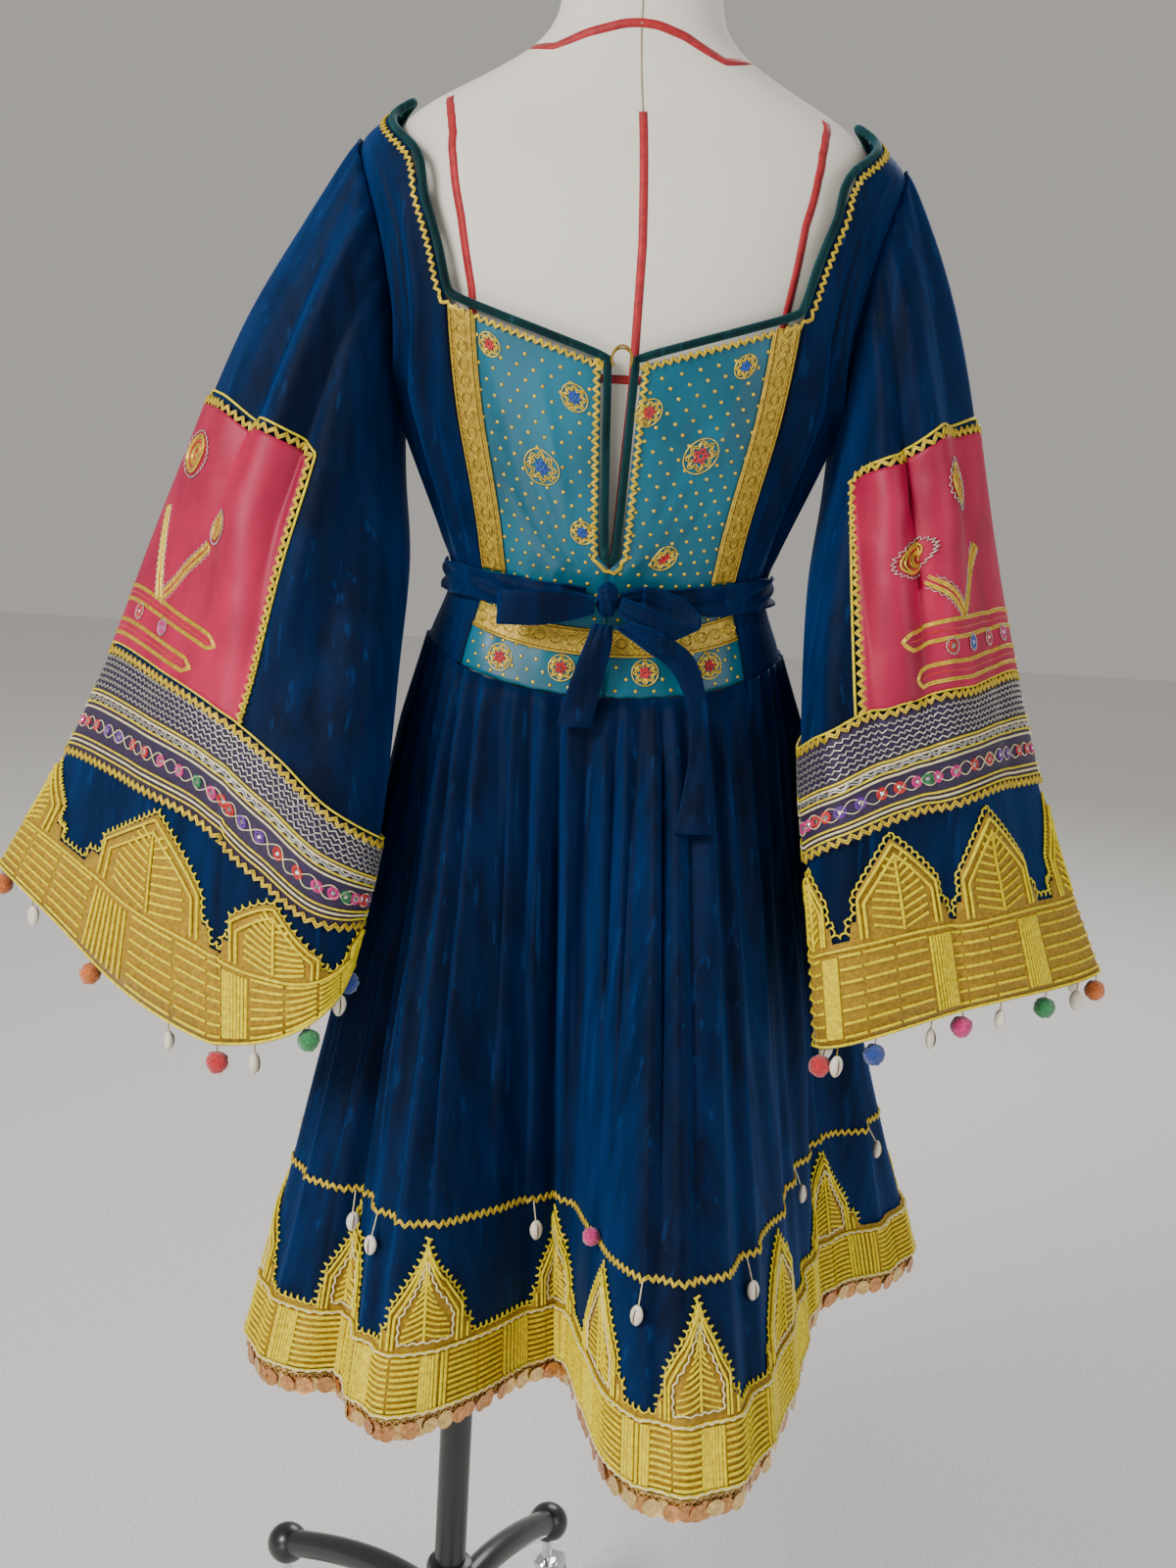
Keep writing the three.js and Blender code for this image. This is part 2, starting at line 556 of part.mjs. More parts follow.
/** The satin halves, the ribbons on them, the velvet sides and the velvet front. */
function bodice() {
  for (const [side, label] of [[-1, "left"], [1, "right"]]) {
    const centre = (q) => along(PANEL_CENTRE, q);
    const edge = (q) => along(PANEL_SIDE, q);
    const inset = (q) => ({ ...edge(q), turn: edge(q).turn - 0.25 });
    const satin = bodiceGrid(side, centre, inset, 9, 5, { sewn: true });
    add(`back_panel_${label}`, wall(satin, SATIN), "satin");

    const onPanel = (q, gap) => {
      const [a, b] = [centre(q), inset(q)];
      const width = smooth(BODICE_SECTIONS, "z", (row) => row.width, b.z);
      const turn = b.turn - THREE.MathUtils.radToDeg(gap / width) * 1.3;
      return { turn, z: mix(a.z, b.z, (turn - a.turn) / (b.turn - a.turn)) };
    };
    const ribbon = [(q) => onPanel(q, RIBBON_WIDTH + 1), (q) => onPanel(q, 1)];
    const upright = bodiceGrid(side, ...ribbon, 6, 2, { from: 1 / 3 });
    add(`gold_ribbon_${label}`, wall(upright, RIBBON, { lift: SATIN + 2 * LIFT }), "gold");

    const backEdge = [
      { at: 0, turn: PANEL_SIDE[0].turn + 0.25, z: PANEL_SIDE[0].z },
      { at: 0.2, turn: PANEL_SIDE[1].turn + 0.25, z: PANEL_SIDE[1].z },
      { at: 0.3, turn: PANEL_SIDE[2].turn + 0.25, z: PANEL_SIDE[2].z },
      { at: 0.64, turn: PANEL_SIDE[3].turn + 0.25, z: PANEL_SIDE[3].z },
      { at: 0.82, turn: backTurn(148, 1322), z: 1322 },
      { at: 1, turn: 360, z: SHOULDER_NECK_Z },
    ];
    const sideBack = bodiceGrid(side, (q) => along(backEdge, q), sideEdge(true, SKIRT_SEAM_SIDE_Z), 12, 6, {
      ease: sideFolds,
      sewn: true,
    });
    add(`side_back_${label}`, wall(sideBack, VELVET), "velvet");
  }

  const halves = [-1, 1].map((side) => {
    const frontEdge = [
      { at: 0, turn: 90.1, z: SKIRT_SEAM_BACK_Z + 6 },
      { at: 0.64, turn: 90.1, z: FRONT_NECK_Z },
      { at: 0.8, turn: 55, z: FRONT_NECK_Z + 14 },
      { at: 0.9, turn: 30, z: 1345 },
      { at: 1, turn: SEAM, z: SHOULDER_NECK_Z },
    ];
    const outer = sideEdge(false, SKIRT_SEAM_SIDE_Z);
    const parted = (q) => ({ ...outer(q), turn: outer(q).turn + SEAM });
    return wall(bodiceGrid(-side, (q) => along(frontEdge, q), parted, 10, 6, { sewn: true }), VELVET);
  });
  add("front_bodice", joined(halves), "velvet");

  const steps = 18;
  const band = [-1, 1].map((end) => {
    const row = [];
    for (let c = 0; c <= steps; c++) {
      const share = c / steps;
      const foot = along(PANEL_SIDE, 0.12).turn - 1.2;
      const turn = mix(540 - foot, foot, share);
      const z = seamZ(turn) + 38 + (end * RIBBON_WIDTH) / 2;
      row.push(sectionPoint(BODICE_SECTIONS, turn, z));
    }
    return row;
  });
  add("gold_ribbon_waist", wall(band, RIBBON, { lift: SATIN + 2.5 * LIFT }), "gold");
}

/** Rounded binding along the neckline, round both sides and down the slit to its foot. */
function neckBinding() {
  const right = [
    { turn: backTurn(0.1, SLIT_FOOT.z - 4), z: SLIT_FOOT.z - 4 },
    { turn: backTurn(4.2, SLIT_FOOT.z + 4), z: SLIT_FOOT.z + 4 },
    { turn: backTurn(7.1, 1150), z: 1150 },
    { turn: backTurn(SLIT_TOP.x - 4.9, SLIT_TOP.z - 5), z: SLIT_TOP.z - 5 },
    { turn: backTurn(SLIT_TOP.x - 1.5, SLIT_TOP.z + 4.4), z: SLIT_TOP.z + 4.4 },
    { turn: backTurn(50, 1234), z: 1234 },
    { turn: backTurn(88, 1246), z: 1246 },
    { turn: backTurn(CORNER.x - 5, CORNER.z + 4.6), z: CORNER.z + 4.6 },
    { turn: backTurn(CORNER.x + 1, CORNER.z + 12), z: CORNER.z + 12 },
    { turn: backTurn(132, 1290), z: 1290 },
    { turn: backTurn(143.5, 1322), z: 1322 },
    { turn: backTurn(155, 1357), z: 1357 },
    { turn: 351, z: 1382 },
    { turn: 360, z: SHOULDER_NECK_Z + 6.5 },
    { turn: 374, z: 1380 },
    { turn: 388, z: 1354 },
    { turn: 402, z: 1332 },
    { turn: 414, z: 1312 },
    { turn: 428, z: 1301 },
    { turn: 450, z: FRONT_NECK_Z + 5 },
  ];
  const left = right.slice(0, -1).reverse().map(({ turn, z }) => ({ turn: 540 - turn, z }));
  const stations = [...right, ...left].map(({ turn, z }) => {
    const at = sectionPoint(BODICE_SECTIONS, turn, z);
    const beside = sectionPoint(BODICE_SECTIONS, turn + 0.5, z).sub(sectionPoint(BODICE_SECTIONS, turn - 0.5, z));
    const above = sectionPoint(BODICE_SECTIONS, turn, z + 1).sub(sectionPoint(BODICE_SECTIONS, turn, z - 1));
    const out = beside.cross(above).normalize();
    return { at: at.addScaledVector(out, VELVET / 2), out };
  });
  const count = stations.length;
  stations.forEach((station, i) => {
    const ahead = stations[(i + 1) % count].at;
    const behind = stations[(i + count - 1) % count].at;
    station.side = ahead.clone().sub(behind).normalize().cross(station.out).normalize();
  });
  add("neck_binding", oval(stations, BINDING.halfWidth, BINDING.halfThickness, 5, true), "binding");
}

// ---------------------------------------------------------------- sash and bow

/** Ties from the side seams to the knot, and the bow's loops and tails. */
function sash() {
  const lift = 5.6;
  for (const [side, label] of [[-1, "left"], [1, "right"]]) {
    const rows = [-12, 0, 12];
    const grid = rows.map((rise) => {
      const row = [];
      for (let c = 0; c <= 14; c++) {
        const share = c / 14;
        const turn = mix(356, 275.5, share);
        const narrow = mix(1, 0.62, share ** 3);
        const p = sectionPoint(BODICE_SECTIONS, sided(side, turn), WAIST_Z + 2 + rise * narrow);
        const ripple = 1.1 * Math.sin(share * 17 + rise * 0.5);
        row.push(p.addScaledVector(vector(p.x, p.y, 0).normalize(), lift + ripple));
      }
      return side > 0 ? row.reverse() : row;
    });
    add(`tie_${label}`, wall(grid, VELVET), "velvet");
  }
  const knotY = -(smooth(BODICE_SECTIONS, "z", (row) => row.back, WAIST_Z) + 13.5);
  const ball = new THREE.SphereGeometry(1, 8, 6).scale(8, 7, 13).translate(0, knotY, WAIST_Z + 1);
  add("bow_knot", ball, "velvet");

  // Each strip's rows: x, z, half its width, its lean from upright in radians, and either its
  // depth behind the knot's middle or its clearance off the skirt.
  const strips = {
    bow_loop_left: [
      { x: -9, depth: 6, z: 1046, half: 5, lean: 0 },
      { x: -30, depth: 3, z: 1044, half: 10, lean: 0 },
      { x: -58, depth: 3, z: 1043, half: 12, lean: 0 },
      { x: -73, depth: 7, z: 1042, half: 12, lean: 0 },
      { x: -77, depth: 11, z: 1042, half: 12, lean: 0 },
      { x: -71, depth: 15, z: 1043, half: 12, lean: 0 },
      { x: -50, depth: 17, z: 1044, half: 12, lean: 0 },
      { x: -28, depth: 15, z: 1046, half: 10, lean: 0 },
      { x: -9.5, depth: 12, z: 1047, half: 5, lean: 0 },
    ],
    bow_loop_right: [
      { x: 9, depth: 6, z: 1052, half: 5, lean: 0.1 },
      { x: 26, depth: 3, z: 1054, half: 8, lean: 0.3 },
      { x: 46, depth: 5, z: 1048, half: 10, lean: 0.6 },
      { x: 58, depth: 10, z: 1038, half: 11, lean: 0.9 },
      { x: 56, depth: 17, z: 1031, half: 11, lean: 1.1 },
      { x: 42, depth: 20, z: 1033, half: 10, lean: 0.8 },
      { x: 25, depth: 18, z: 1041, half: 8, lean: 0.4 },
      { x: 9.5, depth: 13, z: 1048, half: 5, lean: 0.1 },
    ],
    bow_tail_left: [
      { x: -2, depth: 12, z: 1034, half: 6, lean: 1.57 },
      { x: -5, depth: 17, z: 1018, half: 9, lean: 1.57 },
      { x: -10, clear: 9, z: 998, half: 11, lean: 1.57 },
      { x: -15, clear: 8, z: 978, half: 12, lean: 1.5 },
      { x: -19, clear: 7, z: 960, half: 12, lean: 1.5 },
    ],
    bow_tail_right: [
      { x: 12, depth: 23, z: 1036, half: 5, lean: 1.3 },
      { x: 34, depth: 25, z: 1026, half: 8, lean: 0.9 },
      { x: 56, clear: 12, z: 1010, half: 9, lean: 1.1 },
      { x: 68, clear: 9, z: 984, half: 7, lean: 1.5 },
      { x: 72, clear: 8, z: 955, half: 6, lean: 1.57 },
      { x: 72, clear: 7, z: 925, half: 9, lean: 1.57 },
      { x: 71, clear: 6, z: 892, half: 13, lean: 1.5 },
    ],
  };
  for (const [name, rows] of Object.entries(strips)) {
    const grid = [-1, -0.33, 0.33, 1].map((across) =>
      rows.map(({ x, depth, clear, z, half, lean }) => {
        const offset = across * half;
        const bow = 1.5 * (1 - across * across);
        const y = clear ? skirtBack(x, z) - clear : knotY + 7 - depth;
        return vector(x + offset * Math.sin(lean), y - bow, z + offset * Math.cos(lean));
      }),
    );
    add(name, wall(grid, VELVET * 0.9), "velvet");
  }
}

// ---------------------------------------------------------------- skirt

/** Place of the hem and its waist turn at a share of the way round. */
function hemAt(share) {
  const count = HEM_FOLDS.length;
  const key = share * count;
  const wrapped = Array.from({ length: 4 }, (_, k) => {
    const i = Math.floor(key) + k - 1;
    const lap = Math.floor(i / count);
    const row = HEM_FOLDS[i - lap * count];
    return { ...row, turn: row.turn + 360 * lap };
  });
  const t = key - Math.floor(key);
  const blend = (name) => {
    const [a, b, c, d] = wrapped.map((row) => row[name]);
    const cubic = (3 * b - 3 * c + d - a) * t + (2 * a - 5 * b + 4 * c - d);
    return b + 0.5 * t * (c - a + t * cubic);
  };
  return { x: blend("x"), y: blend("y"), turn: blend("turn") };
}

/** Point of the skirt's inner face: share round the hem, and 0 at the hem to 1 at the seam. */
function skirtPoint(share, up) {
  const hem = hemAt(share);
  const top = seamZ(hem.turn) - SEAM - 0.3;
  const waist = sectionPoint(BODICE_SECTIONS, hem.turn, top);
  const down = 1 - up;
  const spread = down ** 1.05;
  const outwards = vector(waist.x, waist.y, 0).normalize();
  const pleat = 0.5 - 0.5 * Math.cos(2 * Math.PI * share * PLEATS);
  const depth = PLEAT_DEPTH * pleat * (0.25 + 0.75 * up ** 0.7) * Math.min(1, 6 * down + 0.35);
  const p = vector(mix(waist.x, hem.x, spread), mix(waist.y, hem.y, spread), mix(HEM_Z, top, up));
  return p.addScaledVector(outwards, depth);
}

/** The skirt's furthest reach to the back near a given x and height. */
function skirtBack(x, z) {
  if (z > SKIRT_SEAM_BACK_Z) return sectionPoint(BODICE_SECTIONS, 270, z).y - VELVET;
  const up = (z - HEM_Z) / (SKIRT_SEAM_BACK_Z - HEM_Z);
  const ring = Array.from({ length: 3 * PLEATS }, (_, c) => skirtPoint(c / (3 * PLEATS), up));
  return Math.min(...ring.filter((p) => Math.abs(p.x - x) < 18).map((p) => p.y)) - VELVET;
}

/** Height of the cord work above the hem at a share of the way round. */
function gableHeight(share) {
  const apart = (house) => Math.abs(((share - house + 1.5) % 1) - 0.5);
  const off = Math.min(...HOUSES.map(apart)) / HOUSE_HALF;
  return off > 1 ? BORDER : mix(GABLE_PEAK, GABLE_EAVES, off);
}

/** Columns of a closed grid, drawn in by half a seam at either end. */
function gore(grid, first, last) {
  const drawnIn = (end, next) => end.clone().lerp(next, SEAM / 2 / end.distanceTo(next));
  return grid.map((row) => {
    const part = Array.from({ length: last - first + 1 }, (_, k) => row[(first + k) % row.length]);
    const ends = [drawnIn(part[0], part[1]), drawnIn(part.at(-1), part.at(-2))];
    return [ends[0], ...part.slice(1, -1), ends[1]];
  });
}

/** The gathered skirt, its border of cord work and the lace trim under the hem. */
function skirt() {
  const shareOf = (c) => c / SKIRT_COLUMNS;
  const grid = SKIRT_ROWS.map((up) =>
    Array.from({ length: SKIRT_COLUMNS }, (_, c) => skirtPoint(shareOf(c), up)),
  );
  const normals = gridNormals(grid, true);
  const outer = moved(grid, normals, VELVET);
  for (const [name, [first, last]] of Object.entries(SKIRT_GORES))
    add(`skirt_${name}`, shell(gore(grid, first, last), gore(outer, first, last), false), "velvet");

  const length = SKIRT_SEAM_SIDE_Z - HEM_Z;
  const border = [0.003, 1].map((share) =>
    Array.from({ length: SKIRT_COLUMNS }, (_, c) => {
      const height = gableHeight(shareOf(c));
      return skirtPoint(shareOf(c), (share * height) / length);
    }),
  );
  add("skirt_applique", wall(border, APPLIQUE, { lift: VELVET + 2.5 * LIFT, closed: true }), "cord");

  const trimColumns = SKIRT_COLUMNS / 3;
  const trim = [-TRIM, -SEAM].map((drop) =>
    Array.from({ length: trimColumns }, (_, c) => skirtPoint(c / trimColumns, 0).add(vector(0, 0, drop))),
  );
  add("hem_trim", wall(trim, RIBBON, { closed: true }), "gold");
}

// ---------------------------------------------------------------- sleeves

/** Point of a sleeve's inner face: turn round the arm (0 over it, 90 at its back). */
function sleevePoint(label, turn, at) {
  const rows = SLEEVE_LINES[label];
  const line = (name) => vector(...[0, 1, 2].map((k) => smooth(rows, "at", (row) => row[name][k], at)));
  const [outer, back, inner, front] = ["outer", "back", "inner", "front"].map(line);
  const angle = radians(turn);
  const side = label === "right" ? 1 : -1;
  const p = outer.clone().add(inner).add(back).add(front).multiplyScalar(0.25);
  const sharpened = (share) => Math.sign(share) * Math.abs(share) ** mix(1, CUFF.sharpness, at);
  p.addScaledVector(outer.clone().sub(inner), sharpened(Math.cos(angle)) / 2);
  p.addScaledVector(back.clone().sub(front), sharpened(Math.sin(angle)) / 2);
  const skew = outer.clone().add(inner).sub(back).sub(front);
  p.addScaledVector(skew, Math.cos(2 * angle) / 4);
  if (at < 0.14) {
    const share = 0.5 + 0.5 * Math.cos(angle);
    const edge = armholeKnot(Math.acos(1 - 2 * share) / Math.PI);
    const bow = Math.sin(angle) > 0 ? 360 - edge.turn : edge.turn;
    const seam = sectionPoint(BODICE_SECTIONS, sided(side, bow), edge.z);
    seam.add(vector(side * (VELVET + 1.8), 0, 0.4));
    p.lerp(seam, (1 - at / 0.14) ** 2);
  }
  const mid = outer.clone().add(inner).multiplyScalar(0.5);
  const out = p.clone().sub(mid).normalize();
  const cap = Math.max(0, Math.cos(angle) + 0.25) * Math.sin(Math.PI * Math.min(1, at / 0.55));
  const gather = 0.5 - 0.5 * Math.cos(CAP_GATHERS * 2 * angle);
  const sway = 4 * at * Math.cos(5 * angle + 1);
  return p.addScaledVector(out, 4.5 * cap * gather + sway);
}

/** Share down the sleeve at which a level row lies once it slants round the arm. */
function slanted(label, turn, at) {
  const from = Math.abs(((turn + 540) % 360) - 180);
  const levels = [0, TRIM_ROWS.panel, TRIM_ROWS.band, TRIM_ROWS.foot, 1];
  const line = (name) => smooth(SLEEVE_TRIMS[label], "from", (row) => row[name], from);
  const places = [0, line("panel"), line("band"), line("foot"), 1];
  const next = Math.max(1, levels.findIndex((level) => level >= at));
  const share = (at - levels[next - 1]) / (levels[next] - levels[next - 1]);
  return mix(places[next - 1], places[next], share);
}

/** Point on the flat facets between a sleeve's rows. */
function facetPoint(label, turn, at) {
  const next = Math.max(1, SLEEVE_ROWS.findIndex((row) => row >= at));
  const [low, high] = [SLEEVE_ROWS[next - 1], SLEEVE_ROWS[next]];
  const [a, b] = [low, high].map((row) => sleevePoint(label, turn, slanted(label, turn, row)));
  return a.lerp(b, (at - low) / (high - low));
}

/** Top edge of the cuff's cord work at a turn: a band with gabled motifs. */
function cuffTop(turn) {
  const phase = ((turn / 360) * CUFF.houses + 10.5) % 1;
  const off = Math.abs(phase - 0.5);
  return off > 0.3 ? CUFF.band : mix(CUFF.peak, CUFF.eaves, off / 0.3);
}

/** Both bell sleeves with the panel, the trimmed band and the cord work on each. */
function sleeves() {
  const round = Array.from({ length: SLEEVE_COLUMNS }, (_, c) => (360 * c) / SLEEVE_COLUMNS);
  for (const label of ["left", "right"]) {
    const grid = (rows, turns) => rows.map((at) => turns.map((turn) => facetPoint(label, turn, at)));
    const aside = round.map((turn) => turn - 180).filter((turn) => Math.abs(turn) <= PANEL_TURN[label]);
    const lying = { lift: VELVET + 3.5 * LIFT };
    const ring = { ...lying, closed: true };
    const outwards = (points) => (label === "left" ? points.map((row) => row.reverse()) : points);
    add(`sleeve_${label}`, wall(outwards(grid(SLEEVE_ROWS, round)), VELVET, { closed: true }), "velvet");
    add(`sleeve_panel_${label}`, wall(outwards(grid(PANEL_ROWS, aside)), SATIN, lying), "pink");
    add(`sleeve_band_${label}`, wall(outwards(grid(BAND_ROWS, round)), RIBBON + 0.5, ring), "braid");

    const gables = round.map((turn) => facetPoint(label, turn, cuffTop(turn)));
    const work = [gables, ...grid([0.942, 0.998], round)];
    add(`cuff_applique_${label}`, wall(outwards(work), APPLIQUE, ring), "cord");
    cuffDrops(label, outwards, round);
  }
}

/** Pompoms and shells in turn, on a narrow tape just below the cuff's edge. */
function cuffDrops(label, outwards, round) {
  const edge = round.filter((_, c) => c % 2 === 0).map((turn) => sleevePoint(label, turn, 1));
  const levels = [-3.2, -SEAM - 0.4].map((drop) => edge.map((p) => p.clone().add(vector(0, 0, drop))));
  const tape = outwards(levels);
  const thickness = RIBBON + 0.4;
  const roots = moved(tape, gridNormals(tape, true), thickness / 2)[0];
  const parts = [wall(tape, thickness, { closed: true })];
  roots.forEach((root, k) => {
    const pompom = k % 2 === 0;
    const shape = pompom ? new THREE.OctahedronGeometry(8.5, 1) : new THREE.IcosahedronGeometry(1, 0).scale(5.5, 4.6, 9);
    parts.push(shape.translate(root.x, root.y, root.z - (pompom ? 13 : 14)));
    parts.push(new THREE.BoxGeometry(1.1, 1.1, 10).translate(root.x, root.y, root.z - 3.6));
  });
  add(`cuff_drops_${label}`, joined(parts), "drops");
}

// ---------------------------------------------------------------- the whole part

formTorso();
stand();
bodice();
neckBinding();
sash();
skirt();
sleeves();

// The origin is the middle of the foot of everything built.
const bounds = new THREE.Box3().setFromObject(dress, true);
const middle = bounds.getCenter(vector(0, 0, 0));
dress.position.set(-middle.x, -middle.y, -bounds.min.z);
const part = new THREE.Group();
part.add(dress);

export default part;
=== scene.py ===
"""Kuchi dress on a rolling dress form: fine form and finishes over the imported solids."""

from __future__ import annotations

import json
import logging
import math
import random
from dataclasses import dataclass, field
from enum import Enum
from typing import Callable, Iterable, Sequence

import bmesh
import bpy
from mathutils import Matrix, Vector, noise

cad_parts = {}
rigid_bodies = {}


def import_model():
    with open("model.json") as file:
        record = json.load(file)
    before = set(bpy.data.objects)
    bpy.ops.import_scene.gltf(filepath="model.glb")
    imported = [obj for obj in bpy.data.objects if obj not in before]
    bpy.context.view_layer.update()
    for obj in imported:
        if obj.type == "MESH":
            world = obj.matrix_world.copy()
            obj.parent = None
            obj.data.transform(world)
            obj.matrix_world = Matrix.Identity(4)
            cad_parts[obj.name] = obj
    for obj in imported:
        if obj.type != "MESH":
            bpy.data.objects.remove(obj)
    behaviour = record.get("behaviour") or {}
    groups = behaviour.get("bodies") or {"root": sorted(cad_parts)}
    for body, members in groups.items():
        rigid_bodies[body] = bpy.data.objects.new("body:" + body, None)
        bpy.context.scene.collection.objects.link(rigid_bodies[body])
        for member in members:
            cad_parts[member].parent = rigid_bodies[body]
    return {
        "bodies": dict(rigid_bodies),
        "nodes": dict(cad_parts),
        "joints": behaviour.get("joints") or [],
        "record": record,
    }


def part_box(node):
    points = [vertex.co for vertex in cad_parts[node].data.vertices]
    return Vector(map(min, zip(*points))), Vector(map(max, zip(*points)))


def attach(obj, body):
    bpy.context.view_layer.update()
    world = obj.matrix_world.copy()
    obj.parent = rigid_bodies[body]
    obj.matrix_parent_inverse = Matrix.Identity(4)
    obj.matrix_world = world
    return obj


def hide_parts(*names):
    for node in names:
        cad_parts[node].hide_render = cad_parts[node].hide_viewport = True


LOG = logging.getLogger("kuchi_dress")
MM = 0.001
ROOT = "stand_and_dress"

Place = Callable[[float, float], Vector]
Line = list[Vector]


# ---------------------------------------------------------------- sizes shared with the solids

VELVET = 1.6
SATIN = 1.4
RIBBON = 1.0
ROUNDNESS = 2.3
WAIST_Z = 1050.0
SEAM_BACK_Z = 980.0
SEAM_SIDE_Z = 1004.0
HEM_Z = 466.0
PLEATS = 40
BORDER = 46.0
PEAK = 126.0
HOUSES = (0.0225, 0.095, 0.165, 0.235, 0.31, 0.38, 0.4535, 0.53, 0.604, 0.68, 0.735, 0.795, 0.858, 0.935)
UNDERARM_Z = 1186.0
ARMHOLE_TOP_Z = 1362.0
ARMHOLE_TURN = 25.0
NECK_Z = 1384.0
FRONT_NECK_Z = 1285.0
CORNER = (124.0, 1252.0)
SLIT_TOP = (14.5, 1217.0)
SLIT_FOOT = (8.6, 1082.0)
PANEL_WAIST_X = 92.0
PANEL_FOOT_X = 104.0
POLE = (-86.0, 0.0)
ARM_TURNS = tuple(67.0 + 72.0 * k for k in range(5))

FORM_SECTIONS = (  # height, half width, depth to the back and to the front
    (856, 118, 78, 80),
    (870, 132, 88, 92),
    (915, 137, 92, 96),
    (985, 126, 88, 92),
    (1050, 111, 82, 84),
    (1115, 124, 92, 98),
    (1180, 148, 104, 122),
    (1250, 165, 108, 124),
    (1310, 176, 101, 106),
    (1350, 178, 88, 88),
    (1375, 168, 72, 70),
    (1393, 146, 62, 60),
    (1414, 108, 58, 56),
    (1432, 79, 58, 56),
    (1450, 63, 58, 56),
    (1475, 57, 55, 54),
    (1512, 55, 54, 54),
    (1522, 48, 47, 47),
)
BODICE_SECTIONS = (
    (960, 146, 108, 110),
    (1004, 133, 99, 101),
    (1050, 118, 90, 92),
    (1085, 125, 96, 101),
    (1120, 136, 104, 114),
    (1186, 161, 114, 130),
    (1250, 180, 117, 132),
    (1310, 193, 109, 114),
    (1350, 198, 97, 98),
    (1363, 194, 88, 87),
    (1375, 182, 79, 77),
    (1384, 171, 74, 72),
    (1392, 159, 70, 68),
)
HEM_FOLDS = (  # waist turn in degrees, then x and y of the hem
    (0, 300, 104),
    (9, 262, 150),
    (19, 214, 142),
    (32, 186, 192),
    (48, 128, 228),
    (62, 74, 186),
    (78, 22, 206),
    (93, -34, 252),
    (108, -88, 228),
    (122, -126, 172),
    (137, -186, 186),
    (152, -236, 150),
    (165, -228, 84),
    (177, -236, 20),
    (188, -240, -52),
    (198, -236, -134),
    (207, -204, -172),
    (215, -164, -172),
    (222, -150, -206),
    (230, -118, -230),
    (242, -70, -196),
    (254, -26, -142),
    (264, 4, -134),
    (272, 22, -204),
    (279, 42, -278),
    (287, 80, -306),
    (296, 122, -288),
    (307, 156, -214),
    (318, 180, -126),
    (329, 196, -42),
    (338, 222, 12),
    (349, 276, 50),
)
# Share of the length, then the outer, back, inner and front lines of each sleeve.
SLEEVE_LINES = {
    "left": (
        (0.0, (-198, 0, 1366), (-178, -62, 1276), (-163, 0, 1186), (-178, 62, 1276)),
        (0.14, (-232, -4, 1300), (-198, -80, 1205), (-158, -20, 1122), (-196, 66, 1205)),
        (0.3, (-275, -6, 1225), (-215, -97, 1130), (-150, -48, 1060), (-208, 62, 1130)),
        (0.46, (-312, -6, 1145), (-232, -110, 1062), (-150, -92, 990), (-230, 55, 1050)),
        (0.62, (-346, -4, 1058), (-248, -122, 985), (-152, -118, 915), (-256, 48, 968)),
        (0.76, (-378, -2, 970), (-262, -136, 922), (-156, -132, 862), (-284, 50, 890)),
        (0.88, (-416, 0, 884), (-266, -150, 838), (-163, -138, 820), (-308, 55, 825)),
        (1.0, (-466, 0, 792), (-262, -165, 716), (-172, -136, 775), (-340, 60, 757)),
    ),
    "right": (
        (0.0, (198, 0, 1366), (178, -62, 1276), (163, 0, 1186), (178, 62, 1276)),
        (0.14, (224, -4, 1300), (190, -80, 1205), (158, -20, 1122), (192, 66, 1205)),
        (0.3, (249, -6, 1225), (201, -94, 1130), (150, -48, 1060), (201, 62, 1130)),
        (0.46, (275, -6, 1140), (212, -104, 1062), (149, -78, 985), (213, 58, 1045)),
        (0.62, (300, -6, 1045), (226, -112, 982), (152, -98, 922), (229, 58, 960)),
        (0.76, (328, -6, 955), (244, -112, 918), (157, -112, 878), (249, 60, 880)),
        (0.88, (361, -8, 860), (264, -110, 846), (165, -122, 824), (272, 62, 815)),
        (1.0, (405, -10, 760), (287, -98, 756), (176, -132, 730), (300, 66, 752)),
    ),
}
PANEL_TOP, BAND_TOP, BAND_FOOT = 0.42, 0.74, 0.862
PANEL_TURN = {"left": 88.0, "right": 124.0}
SLEEVE_SAMPLES = (300, 200)  # columns and rows at which a sleeve's surface is kept
# Degrees either way from over the arm, then where the rows above lie once they slant round it.
SLEEVE_TRIMS = {
    "left": (
        (0, 0.43, 0.752, 0.872),
        (46, 0.369, 0.731, 0.85),
        (76, 0.3, 0.712, 0.838),
        (112, 0.27, 0.714, 0.862),
        (136, 0.27, 0.738, 0.894),
        (180, 0.27, 0.744, 0.912),
    ),
    "right": (
        (0, 0.41, 0.7, 0.815),
        (22, 0.375, 0.685, 0.808),
        (54, 0.305, 0.656, 0.789),
        (74, 0.269, 0.618, 0.779),
        (110, 0.196, 0.585, 0.763),
        (134, 0.18, 0.553, 0.764),
        (180, 0.18, 0.56, 0.788),
    ),
}
CUFF_SHARPNESS = 1.5
CAP_GATHERS = 7
CAP_SHARE = 0.14  # share of the sleeve's length over which it leaves the armhole
PANEL_CORD = VELVET + SATIN + 1.9  # height at which cord lies on a pink panel


# ---------------------------------------------------------------- curves and surfaces


def mix(a: float, b: float, share: float) -> float:
    """Value between two others."""
    return a + (b - a) * share


def clamp(value: float, low: float = 0.0, high: float = 1.0) -> float:
    """Value held between two limits."""
    return max(low, min(high, value))


def step(value: float, low: float, high: float) -> float:
    """Smooth rise from 0 to 1 between two limits."""
    t = clamp((value - low) / (high - low))
    return t * t * (3 - 2 * t)


